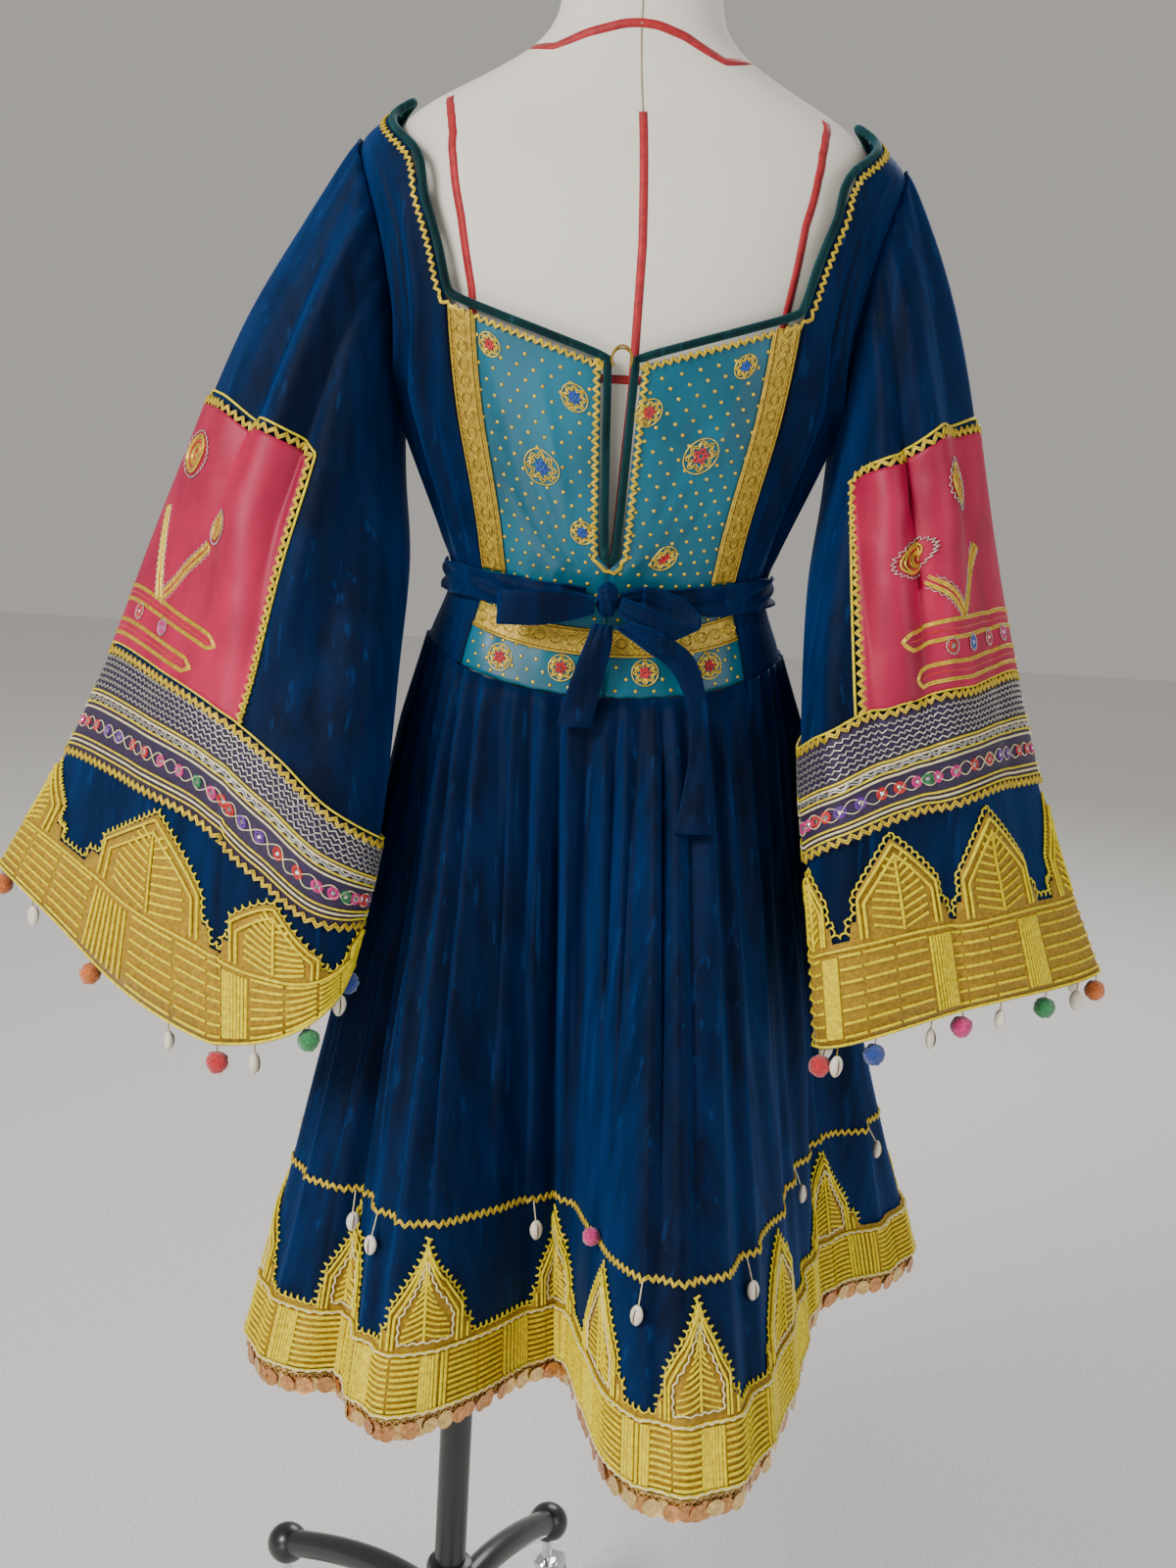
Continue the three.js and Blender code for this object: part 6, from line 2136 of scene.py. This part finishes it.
@dataclass
class Cuff:
    """Couched cord border of a sleeve's mouth, with houses, and the drops hung from it.

    Attributes:
        sleeve: what it is sewn on.
        base: row at the top of the base band.
        houses: number round the cuff.
        half: half a house's width in degrees.
        eaves: row at the foot of a house's roof.
        peak: row at its point.
        shoulder: row of the step beside a house.
        blocks: blocks of cord round the base band.
    """

    sleeve: Sleeve
    base: float = 0.945
    houses: int = 6
    half: float = 19.0
    eaves: float = 0.912
    peak: float = 0.874
    shoulder: float = 0.93
    blocks: int = 26

    def middle(self, k: int) -> float:
        """Turn at the middle of a house."""
        return 360.0 / self.houses * k

    def top(self, turn: float) -> float:
        """Row of the outline at a turn."""
        off = min(abs((turn - self.middle(k) + 180) % 360 - 180) for k in range(self.houses))
        if off < self.half:
            return mix(self.peak, self.eaves, off / self.half)
        return self.shoulder if off < self.half + 4.5 else self.base - 0.004

    def build(self) -> None:
        """Make the ground, the cords and the drops."""
        s = self.sleeve

        def place(u: float, v: float) -> Vector:
            turn = 360 * u * s.side
            return lifted(s.trimmed, u, mix(self.top(turn), 0.998, v), VELVET + 1.1)

        obj = sheet(f"cuff_ground_{s.label}", (240, 5), place, Trim.GROUND.value, 1.2, closed=True)
        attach(obj, ROOT)
        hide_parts(f"cuff_applique_{s.label}")
        self.cords()
        Drops(s).build()
        LOG.info("cuff, %s", s.label)

    def cords(self) -> None:
        """Blocks of cord in the base, framed houses and the curled edge."""
        s = self.sleeve
        lift = VELVET + 3.0
        cord = Cords(f"cuff_cords_{s.label}", 1.3, Trim.YELLOW.value, 0)
        curls = Cords(f"cuff_curls_{s.label}", 0.8, Trim.YELLOW.value, 0)
        size = 360 / self.blocks
        for k in range(self.blocks):
            start, end = size * k + 0.7, size * (k + 1) - 0.7
            rows = [mix(self.base + 0.004, 0.994, i / 6) for i in range(7)]
            if k % 4 == 3:
                for i in range(8):
                    turn = mix(start, end, (i + 0.5) / 8)
                    cord.add(s.line([(turn, rows[0]), (turn, rows[-1])], lift, 6).points)
            else:
                for row in rows:
                    cord.add(s.line([(start, row), (end, row)], lift, 3.6).points)
        for row in (self.base, 0.998):
            cord.add(s.ring(row, lift + 0.4, 3.5).points)
        for k in range(self.houses):
            self.house(self.middle(k), cord, lift)
        path, w = [], self.half
        steps = [(w + 5.5, self.base - 0.008), (w + 5.5, self.shoulder - 0.002)]
        steps += [(w + 1, self.shoulder - 0.004), (w + 1, self.eaves)]
        for k in range(self.houses + 1):
            path += gabled(self.middle(k), steps, self.peak - 0.004)
        curls.add(s.line(path, VELVET + 1.4, 1.05).loops(2.0, 1.5, 6))
        for obj in (cord.build(), curls.build()):
            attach(obj, ROOT)

    def house(self, m: float, cord: Cords, lift: float) -> None:
        """Frames and herringbone of one house."""
        s, foot = self.sleeve, self.base - 0.004
        for k in (0.94, 0.8):
            walls = [(self.half * k, foot), (self.half * k, mix(foot, self.eaves, k))]
            frame = gabled(m, walls, mix(foot, self.peak, k))
            cord.add(s.line(frame, lift + 0.4, 2.4).points)
        inner = self.half * 0.62
        for i in range(9):
            row = mix(foot - 0.004, self.peak + 0.016, i / 8)
            reach = min(inner, inner * (row - self.peak) / (self.eaves - self.peak) * 0.8)
            for side in (-1, 1):
                if reach > 2:
                    line = [(m + side * 0.9, row + 0.003), (m + side * reach, row - 0.003)]
                    cord.add(s.line(line, lift, 3).points)
        cord.add(s.line([(m, foot), (m, self.peak + 0.012)], lift + 0.3, 3).points)


@dataclass
class Drops:
    """Pompoms and shells hung round a cuff on loops of thread.

    Attributes:
        sleeve: what they hang from.
        count: pompoms and shells together.
    """

    sleeve: Sleeve
    count: int = 16

    def build(self) -> None:
        """Hang the drops in turn."""
        s = self.sleeve
        colours = DROP_COLOURS[s.label]
        shells = Shells(f"cuff_shells_{s.label}")
        tufts: dict[Trim, bmesh.types.BMesh] = {}
        threads = Cords(f"drop_threads_{s.label}", 0.45, Trim.GROUND.value, 0)
        for k in range(self.count):
            turn = 360 / self.count * k
            root = s.point(turn, 1.0) + normal_of(s.place, s.u(turn), 0.99) * 1.2
            hang = Vector((0, 0, -13 if k % 2 == 0 else -14.5))
            threads.add([root + Vector((0, 0, 1)), root + hang * 0.5])
            if k % 2 == 0:
                trim = colours[(k // 2) % len(colours)]
                bm = tufts.setdefault(trim, bmesh.new())
                tuft(bm, root + hang, 8.2, k)
            else:
                shells.add(root + hang, turn, 1.0)
        made = [threads.build()]
        made += [as_object(f"{t.name.lower()}_pompoms_{s.label}", bm, t.value) for t, bm in tufts.items()]
        for obj in made:
            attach(obj, ROOT)
        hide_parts(f"cuff_drops_{s.label}")
        shells.build()


def tuft(bm: bmesh.types.BMesh, centre: Vector, radius: float, seed: int) -> None:
    """Woolly ball with an uneven surface."""
    ball = bmesh.ops.create_icosphere(bm, subdivisions=3, radius=1.0)
    for vert in ball["verts"]:
        co = vert.co.copy()
        rough = 1 + 0.13 * noise.noise(co * 3.4 + Vector((seed, 0, 0))) + 0.1 * noise.noise(co * 11)
        vert.co = Stage.world(centre + co * radius * rough)


@dataclass
class Shells:
    """Cowrie shells with their toothed slits.

    Attributes:
        name: start of the pieces' names.
    """

    SPIN = 7

    name: str
    body: bmesh.types.BMesh = field(default_factory=bmesh.new)
    slit: bmesh.types.BMesh = field(default_factory=bmesh.new)

    def add(self, centre: Vector, turn: float, size: float) -> None:
        """Hang one shell, its slit towards a turn of its own."""
        spin = Matrix.Rotation(math.radians(turn * self.SPIN), 3, "Z")
        spin = spin @ Matrix.Rotation(0.12 * math.sin(turn), 3, "Y")
        for bm, (w, d, h), shift in ((self.body, (5.4, 4.2, 8.6), 0.0), (self.slit, (0.75, 4.3, 7.4), 0.12)):
            made = bmesh.ops.create_uvsphere(bm, u_segments=14, v_segments=9, radius=1.0)
            for vert in made["verts"]:
                x, y, z = vert.co
                narrow = 1 - 0.22 * max(0.0, -z)
                flat = y if y < 0 else 0.75 * y
                dent = 0.14 * math.exp(-((x / 0.3) ** 2)) if y < 0 and bm is self.body else 0
                co = Vector((w * x * narrow, d * (flat + dent - (shift if y < 0 else 0)), h * z)) * size
                vert.co = Stage.world(centre + spin @ co)

    def build(self) -> None:
        """Make the shells."""
        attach(as_object(self.name, self.body, Trim.SHELL.value), ROOT)
        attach(as_object(self.name + "_slits", self.slit, Trim.SHELL_SLIT.value), ROOT)


# ---------------------------------------------------------------- sash and bow


# Each row: x, y, z of the strip's middle, half its width and its lean from upright.
BOW_STRIPS = {
    "bow_loop_left": (
        (-9, -102.5, 1046, 5, 0),
        (-30, -99.5, 1044, 10, 0),
        (-58, -99.5, 1043, 12, 0),
        (-73, -103.5, 1042, 12, 0),
        (-77, -107.5, 1042, 12, 0),
        (-71, -111.5, 1043, 12, 0),
        (-50, -113.5, 1044, 12, 0),
        (-28, -111.5, 1046, 10, 0),
        (-9.5, -108.5, 1047, 5, 0),
    ),
    "bow_loop_right": (
        (9.5, -109.5, 1048, 5, 0.1),
        (25, -114.5, 1041, 8, 0.4),
        (42, -116.5, 1033, 10, 0.8),
        (56, -113.5, 1031, 11, 1.1),
        (58, -106.5, 1038, 11, 0.9),
        (46, -101.5, 1048, 10, 0.6),
        (26, -99.5, 1054, 8, 0.3),
        (9, -102.5, 1052, 5, 0.1),
    ),
    "bow_tail_left": (
        (-2, -109.8, 1034, 6, 1.57),
        (-5, -114.2, 1018, 9, 1.57),
        (-10, -113.2, 998, 11, 1.57),
        (-15, -115.6, 978, 12, 1.5),
        (-19, -118.2, 960, 12, 1.5),
    ),
    "bow_tail_right": (
        (12, -120.2, 1036, 5, 1.3),
        (34, -121.6, 1026, 8, 0.9),
        (56, -113.6, 1010, 9, 1.1),
        (68, -114.4, 984, 7, 1.5),
        (72, -119.0, 955, 6, 1.57),
        (72, -131.4, 925, 9, 1.57),
        (71, -143.0, 892, 13, 1.5),
    ),
}


@dataclass
class Sash:
    """Velvet tie at the back of the waist with its knot, loops and tails.

    Attributes:
        lift: millimetres off the bodice.
        half: half the tie's width.
    """

    lift: float = 5.6
    half: float = 13.0

    def build(self) -> None:
        """Make the ties, the knot and the bow."""
        for side, label in ((-1, "left"), (1, "right")):
            self.tie(side, label)
        self.knot()
        self.bow()

    def tie(self, side: int, label: str) -> None:
        """One tie from the side seam to the knot."""

        def place(u: float, v: float) -> Vector:
            across = u if side < 0 else 1 - u
            turn = mix(356, 275.5, across)
            narrow = mix(1, 0.6, across**3)
            rise = self.half * (2 * v - 1) * narrow
            ripple = 1.6 * math.sin(17 * across + rise * 0.4) + 1.3 * math.sin(9 * across + 0.5 * rise + side)
            slack = 1.5 * math.sin(31 * across + rise * 0.15) * across
            z = WAIST_Z + 2 + rise + 1.4 * math.sin(6 * across)
            return on_bodice(side, turn, z, self.lift + ripple * 0.8 + slack)

        obj = sheet(f"tie_{label}_velvet", (90, 14), place, Trim.TIE.value, VELVET)
        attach(obj, ROOT)
        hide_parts(f"tie_{label}")
        LOG.info("tie, %s", label)

    def knot(self) -> None:
        """The knot, a creased roll."""
        knot_y = -(BODICE.read(WAIST_Z)[1] + 13.5)
        bm = bmesh.new()
        bmesh.ops.create_uvsphere(bm, u_segments=40, v_segments=28, radius=1.0)
        for vert in bm.verts:
            x, y, z = vert.co
            pinch = 1 + 0.09 * math.sin(9 * x + 3 * z) + 0.06 * math.sin(14 * z)
            co = Vector((8.4 * x * pinch, 7.4 * y * pinch + knot_y, 13.2 * z + WAIST_Z + 1))
            vert.co = Stage.world(co)
        obj = as_object("knot_velvet", bm, Trim.TIE.value)
        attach(obj, ROOT)
        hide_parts("bow_knot")
        LOG.info("knot")

    def bow(self) -> None:
        """Both loops and both tails."""
        for name, rows in BOW_STRIPS.items():
            self.ribbon(name, rows)

    def ribbon(self, name: str, rows: Sequence[tuple[float, ...]]) -> None:
        """One strip of the bow, creased where it leaves the knot."""
        line = Smooth([(i, *row) for i, row in enumerate(rows)])
        tail = "tail" in name

        def place(u: float, v: float) -> Vector:
            along, across = (1 - v, 2 * u - 1) if tail else (u, 2 * v - 1)
            x, y, z, half, lean = line.read(along * (len(rows) - 1))
            near = math.exp(-along * 5) + (0 if tail else math.exp(-(1 - along) * 5))
            pleat = 1.5 * near * math.cos(8.5 * across + 0.7) + 0.9 * math.sin(7 * along + 2.6 * across)
            sag = 1.5 * (1 - across * across)
            off = across * half
            return Vector((x + off * math.sin(lean), y - sag - pleat * 0.8, z + off * math.cos(lean)))

        obj = sheet(name + "_velvet", (16, 60) if tail else (72, 16), place, Trim.TIE.value, VELVET)
        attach(obj, ROOT)
        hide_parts(name)
        LOG.info("%s", name)


# ---------------------------------------------------------------- dress form and stand


FORM_TAPES = {  # turn and height along each tape
    "neck_tape": ((150, 1438), (180, 1432), (225, 1430), (241, 1439), (262, 1446), (270, 1447), (278, 1446),
                  (293, 1440), (311, 1426), (360, 1432), (390, 1438), (450, 1436), (510, 1438)),
    "spine_tape": ((271, 1388), (272, 1298), (272, 1198), (271, 1072)),
    "princess_tape_left": ((205, 1394), (215, 1386), (221, 1378), (225, 1368), (228, 1348), (231, 1310),
                           (233, 1262), (232, 1180), (231, 1080)),
    "princess_tape_right": ((334, 1392), (323, 1380), (320, 1374), (317, 1366), (314, 1350), (311, 1318),
                            (310, 1260), (309, 1180), (309, 1080)),
    "back_tape": ((255, 1206), (274, 1206), (290, 1206)),
}
TAPE_HALF, SEAM_HALF = 3.0, 0.7  # half widths
FORM_SEAMS = {"centre_seam": ((270, 1510), (270, 1446), (271, 1388))}


@dataclass
class Form:
    """Linen dress form with its tapes and its seams."""

    def build(self) -> None:
        """Make the smooth linen torso."""
        low, high = FORM_SECTIONS[0][0], FORM_SECTIONS[-1][0]

        def place(u: float, v: float) -> Vector:
            return section_point(FORM, 360 * u, mix(low, high, v))

        bm = bmesh.new()
        bmesh.ops.create_grid(bm, x_segments=88, y_segments=96, size=0.5)
        for vert in bm.verts:
            vert.co = Stage.world(place(vert.co.x + 0.5, vert.co.y + 0.5))
        bmesh.ops.remove_doubles(bm, verts=bm.verts, dist=1e-5)
        rims = bmesh.ops.holes_fill(bm, edges=[e for e in bm.edges if e.is_boundary], sides=0)
        domed = bmesh.ops.inset_region(bm, faces=rims["faces"], thickness=3 * MM, depth=2.4 * MM)
        bmesh.ops.recalc_face_normals(bm, faces=bm.faces)
        for face in domed["faces"]:
            face.smooth = True
        obj = as_object("linen_torso", bm, Trim.CANVAS.value)
        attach(obj, ROOT)
        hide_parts("form_torso")
        LOG.info("linen torso")
        for name, path in FORM_TAPES.items():
            self.tape(name, path, TAPE_HALF, Trim.TAPE)
        for name, path in FORM_SEAMS.items():
            self.tape(name, path, SEAM_HALF, Trim.SEAM)

    def tape(self, name: str, path: Sequence[tuple[float, float]], half: float, trim: Trim) -> None:
        """Narrow tape sewn flat on the linen, through places given by turn and height."""
        track = Track.on(self.on_form, [(turn / 360, z) for turn, z in path], 0.25, 4.0)
        edges = track.offset(-half), track.offset(half)
        last = len(edges[0]) - 1

        def place(u: float, v: float) -> Vector:
            k = min(int(u * last), last - 1)
            low, high = (edge[k].lerp(edge[k + 1], u * last - k) for edge in edges)
            return low.lerp(high, v)

        obj = sheet(name, (last * 2, 1), place, trim.value, 0.5)
        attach(obj, ROOT)
        LOG.info("%s", name)

    @staticmethod
    def on_form(u: float, z: float) -> Vector:
        """Point of the torso by its share of a turn and its height."""
        return section_point(FORM, 360 * u, z)


@dataclass
class Stand:
    """Black pole, hub and arms with balls, over chrome casters with rubber wheels.

    Attributes:
        pole_x: the pole's place across.
        ball: radius of an arm's ball.
        ball_z: its height.
        reach: from the pole to a ball's middle.
        trail: of a wheel behind its swivel.
        wheel: a wheel's radius, and the height of its axle.
        half_wheel: half its width.
        arm_radius: radius of an arm's bar.
    """

    pole_x: float = POLE[0]
    ball: float = 19.0
    ball_z: float = 98.0
    reach: float = 215.0
    trail: float = 14.0
    wheel: float = 24.0
    half_wheel: float = 7.5
    arm_radius: float = 12.4

    def build(self) -> None:
        """Make the pole, the hub, the arms and the casters."""
        self.turned("black_pole", "pole", [(13.5, 190.4), (13.5, 855.6)], Trim.BLACK)
        hub = [(20, 128), (25, 129.5), (27, 133), (27, 163), (25.5, 166.5), (20.5, 168.5)]
        hub += [(20, 171), (20, 186), (18.5, 189), (14.2, 190)]
        self.turned("black_hub", "base_hub", hub, Trim.BLACK)
        for k, turn in enumerate(ARM_TURNS, 1):
            self.arm(k, turn)
            self.fork(k, turn)
            self.roller(k, turn)

    def spin(self, turn: float) -> Matrix:
        """Places a shape drawn with its arm along +X."""
        foot = Matrix.Translation(Stage.world(Vector((self.pole_x, 0, 0))))
        return foot @ Matrix.Rotation(math.radians(turn), 4, "Z")

    def axle(self) -> Matrix:
        """Lays a shape drawn about Z along a caster's axle."""
        middle = Matrix.Translation(Vector((self.reach + self.trail, 0, self.wheel)) * MM)
        return middle @ Matrix.Rotation(math.pi / 2, 4, "X")

    def finish(self, name: str, node: str, bm: bmesh.types.BMesh, body: str, trim: Trim) -> None:
        """Make the piece, on its own body, in the place of its solid."""
        bmesh.ops.recalc_face_normals(bm, faces=bm.faces)
        obj = as_object(name, bm, trim.value)
        obj.modifiers.new("edges", "EDGE_SPLIT").split_angle = math.radians(38)
        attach(obj, body)
        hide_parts(node)
        LOG.info("%s", name)

    def lathe(
        self, bm: bmesh.types.BMesh, profile: Sequence[tuple[float, float]], matrix: Matrix, steps: int
    ) -> None:
        """Shape turned about Z from its radii and heights, closed at both ends."""
        first = len(bm.verts)
        rows = [(0.0, profile[0][1]), *profile, (0.0, profile[-1][1])]
        verts = [bm.verts.new(Vector((r * MM, 0, z * MM))) for r, z in rows]
        edges = [bm.edges.new(pair) for pair in zip(verts, verts[1:])]
        axis = dict(cent=(0, 0, 0), axis=(0, 0, 1), angle=2 * math.pi, steps=steps)
        bmesh.ops.spin(bm, geom=verts + edges, use_merge=True, use_duplicate=False, **axis)
        bm.verts.ensure_lookup_table()
        made = bm.verts[first:]
        bmesh.ops.remove_doubles(bm, verts=made, dist=1e-7)
        bm.verts.ensure_lookup_table()
        bmesh.ops.transform(bm, matrix=matrix, verts=bm.verts[first:])

    def turned(self, name: str, node: str, profile: Sequence[tuple[float, float]], trim: Trim) -> None:
        """Piece turned about the pole's axis."""
        bm = bmesh.new()
        self.lathe(bm, profile, self.spin(0), 48)
        self.finish(name, node, bm, ROOT, trim)

    def arm(self, k: int, turn: float) -> None:
        """Curved bar with its ball."""
        bm = bmesh.new()
        start, middle = Vector((28.4, 0, 144)), Vector((97, 0, 150))
        end = Vector((self.reach, 0, self.ball_z))
        angles = [math.tau * j / 20 for j in range(20)]
        rings = []
        for i in range(21):
            t = i / 20 * 0.985
            p = start * (1 - t) ** 2 + middle * (2 * t * (1 - t)) + end * t * t
            along = ((middle - start) * (1 - t) + (end - middle) * t).normalized()
            side = Vector((0, 1, 0))
            up = along.cross(side)
            ring = [p + (side * math.cos(a) + up * math.sin(a)) * self.arm_radius for a in angles]
            rings.append([bm.verts.new(q * MM) for q in ring])
        for low, high in zip(rings, rings[1:]):
            for j in range(20):
                bm.faces.new((low[j], low[(j + 1) % 20], high[(j + 1) % 20], high[j]))
        bm.faces.new(rings[0])
        bm.faces.new(rings[-1])
        ball = bmesh.ops.create_uvsphere(bm, u_segments=32, v_segments=20, radius=self.ball * MM)
        bmesh.ops.translate(bm, verts=ball["verts"], vec=end * MM)
        bmesh.ops.transform(bm, matrix=self.spin(turn), verts=bm.verts)
        self.finish(f"black_arm_{k}", f"base_arm_{k}", bm, ROOT, Trim.BLACK)

    def fork(self, k: int, turn: float) -> None:
        """Stem, bearing cup, hood and cheeks of a caster, with its axle."""
        bm = bmesh.new()
        stem = Matrix.Translation(Vector((self.reach, 0, 0)) * MM)
        cup = [(10, 50.2), (11, 52), (11, 55), (9.4, 57), (4.5, 57.4), (4.5, 78.4)]
        self.lathe(bm, cup, stem, 24)
        axle_x, cheek_y = self.reach + self.trail, self.half_wheel + 2.4
        hood = bmesh.ops.create_cube(bm, size=1.0)
        size = Matrix.Diagonal((30 * MM, (2 * cheek_y + 2.4) * MM, 3 * MM, 1))
        top = Matrix.Translation(Vector((self.reach + 8, 0, 51.5)) * MM)
        bmesh.ops.transform(bm, matrix=top @ size, verts=hood["verts"])
        plate = set(hood["verts"])
        tall = (e for e in bm.edges if abs(e.verts[0].co.z - e.verts[1].co.z) > 2 * MM)
        upright = [e for e in tall if e.verts[0] in plate]
        bmesh.ops.bevel(bm, geom=upright, offset=3.5 * MM, segments=4, affect="EDGES", profile=0.5)
        for side in (-1, 1):
            outline = [(axle_x - 11, 51), (axle_x + 11, 51)]
            angles = [math.pi * j / 10 for j in range(11)]
            outline += [(axle_x + 6.6 * math.cos(a), self.wheel - 6.6 * math.sin(a)) for a in angles]
            faces = []
            for y in (side * (cheek_y - 1.2), side * (cheek_y + 1.2)):
                faces.append(bm.faces.new([bm.verts.new(Vector((x, y, z)) * MM) for x, z in outline]))
            near, far = (list(face.verts) for face in faces)
            for j in range(len(near)):
                bm.faces.new((near[j - 1], near[j], far[j], far[j - 1]))
        reach = cheek_y + 1.0
        self.lathe(bm, [(3, -reach), (3, reach)], self.axle(), 16)
        bmesh.ops.transform(bm, matrix=self.spin(turn), verts=bm.verts)
        self.finish(f"chrome_fork_{k}", f"caster_fork_{k}", bm, f"caster_{k}", Trim.CHROME)

    def roller(self, k: int, turn: float) -> None:
        """Rubber wheel with rounded shoulders and a dished side."""
        bm = bmesh.new()
        r, w, bore = self.wheel, self.half_wheel, 3.3
        profile = [(bore, -w + 1.5), (r - 9, -w + 1.5), (r - 7.5, -w), (r - 3, -w)]
        profile += [(r - 0.9, -w + 0.9), (r, -w + 3)]
        profile += [(x, -y) for x, y in reversed(profile)]
        verts = [bm.verts.new(Vector((x * MM, 0, y * MM))) for x, y in profile]
        edges = [bm.edges.new(pair) for pair in zip(verts, (*verts[1:], verts[0]))]
        axis = dict(cent=(0, 0, 0), axis=(0, 0, 1), angle=2 * math.pi, steps=40)
        bmesh.ops.spin(bm, geom=verts + edges, use_merge=True, use_duplicate=False, **axis)
        bmesh.ops.remove_doubles(bm, verts=bm.verts, dist=1e-7)
        bmesh.ops.transform(bm, matrix=self.spin(turn) @ self.axle(), verts=bm.verts)
        self.finish(f"rubber_wheel_{k}", f"caster_wheel_{k}", bm, f"wheel_{k}", Trim.RUBBER)


# ---------------------------------------------------------------- room


LIGHTS = (  # name, place and target in metres, size, watts, colour
    ("key", (-2.1, -1.9, 2.7), (0, 0, 1.0), 1.1, 100, (1.0, 0.98, 0.95)),
    ("fill", (2.6, -1.9, 1.7), (0, 0, 0.9), 2.0, 30, (0.94, 0.97, 1.0)),
    ("rim", (0.9, 2.6, 2.6), (0, 0, 1.1), 1.6, 50, (1.0, 1.0, 1.0)),
    ("low", (-1.2, -2.2, 0.5), (0, 0, 0.7), 1.2, 14, (1.0, 0.97, 0.93)),
)


@dataclass
class Room:
    """Pale floor, soft light and the camera behind the dress.

    Attributes:
        eye: the camera's place in the part's own millimetres.
        pitch: degrees below level.
        roll: degrees that the camera leans.
        lens: focal length in millimetres.
        sensor: width and height of the sensor in millimetres.
    """

    eye: tuple[float, float, float] = (-6.0, -1500.0, 1250.0)
    pitch: float = 13.5
    roll: float = 3.4
    lens: float = 45.0
    sensor: float = 36.0

    def build(self) -> None:
        """Make the floor, the lights and the camera."""
        self.floor()
        for row in LIGHTS:
            self.light(*row)
        world = bpy.context.scene.world or bpy.data.worlds.new("room")
        bpy.context.scene.world = world
        world.use_nodes = True
        back = world.node_tree.nodes["Background"]
        back.inputs["Color"].default_value = (0.83, 0.79, 0.75, 1)
        back.inputs["Strength"].default_value = 0.5
        self.camera()

    def floor(self) -> None:
        """Wide pale floor."""
        bm = bmesh.new()
        bmesh.ops.create_grid(bm, x_segments=1, y_segments=1, size=6.0)
        mesh = bpy.data.meshes.new("floor")
        bm.to_mesh(mesh)
        bm.free()
        obj = bpy.data.objects.new("floor", mesh)
        bpy.context.scene.collection.objects.link(obj)
        mesh.materials.append(Finish("pale floor", "", (0.8, 0.79, 0.77), 0.8).material())

    def light(self, name: str, place: tuple, target: tuple, size: float, watts: float, colour: tuple) -> None:
        """One square soft light."""
        lamp = bpy.data.lights.new(name, "AREA")
        lamp.size, lamp.energy, lamp.color = size, watts, colour
        obj = bpy.data.objects.new(name, lamp)
        obj.location = place
        obj.rotation_euler = (Vector(target) - Vector(place)).to_track_quat("-Z", "Y").to_euler()
        bpy.context.scene.collection.objects.link(obj)

    def camera(self) -> None:
        """Camera at the back, a little above, looking slightly down."""
        camera = bpy.data.cameras.new("camera")
        camera.lens, camera.sensor_fit = self.lens, "VERTICAL"
        camera.sensor_width = camera.sensor_height = self.sensor
        obj = bpy.data.objects.new("camera", camera)
        tilt = Matrix.Rotation(math.radians(90 - self.pitch), 4, "X")
        tilt = tilt @ Matrix.Rotation(math.radians(self.roll), 4, "Z")
        obj.matrix_world = Matrix.Translation(Stage.world(Vector(self.eye))) @ tilt
        bpy.context.scene.collection.objects.link(obj)
        bpy.context.scene.camera = obj


def main() -> None:
    """Build the dress and its stand, in order."""
    logging.basicConfig(level=logging.INFO, format="%(message)s")
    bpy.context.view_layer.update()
    Stage.settle()
    Form().build()
    Bodice().build()
    Skirt().build()
    for label in ("left", "right"):
        Sleeve(label).build()
    Sash().build()
    Stand().build()
    Room().build()


if __name__ == "__main__":
    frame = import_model()
    main()
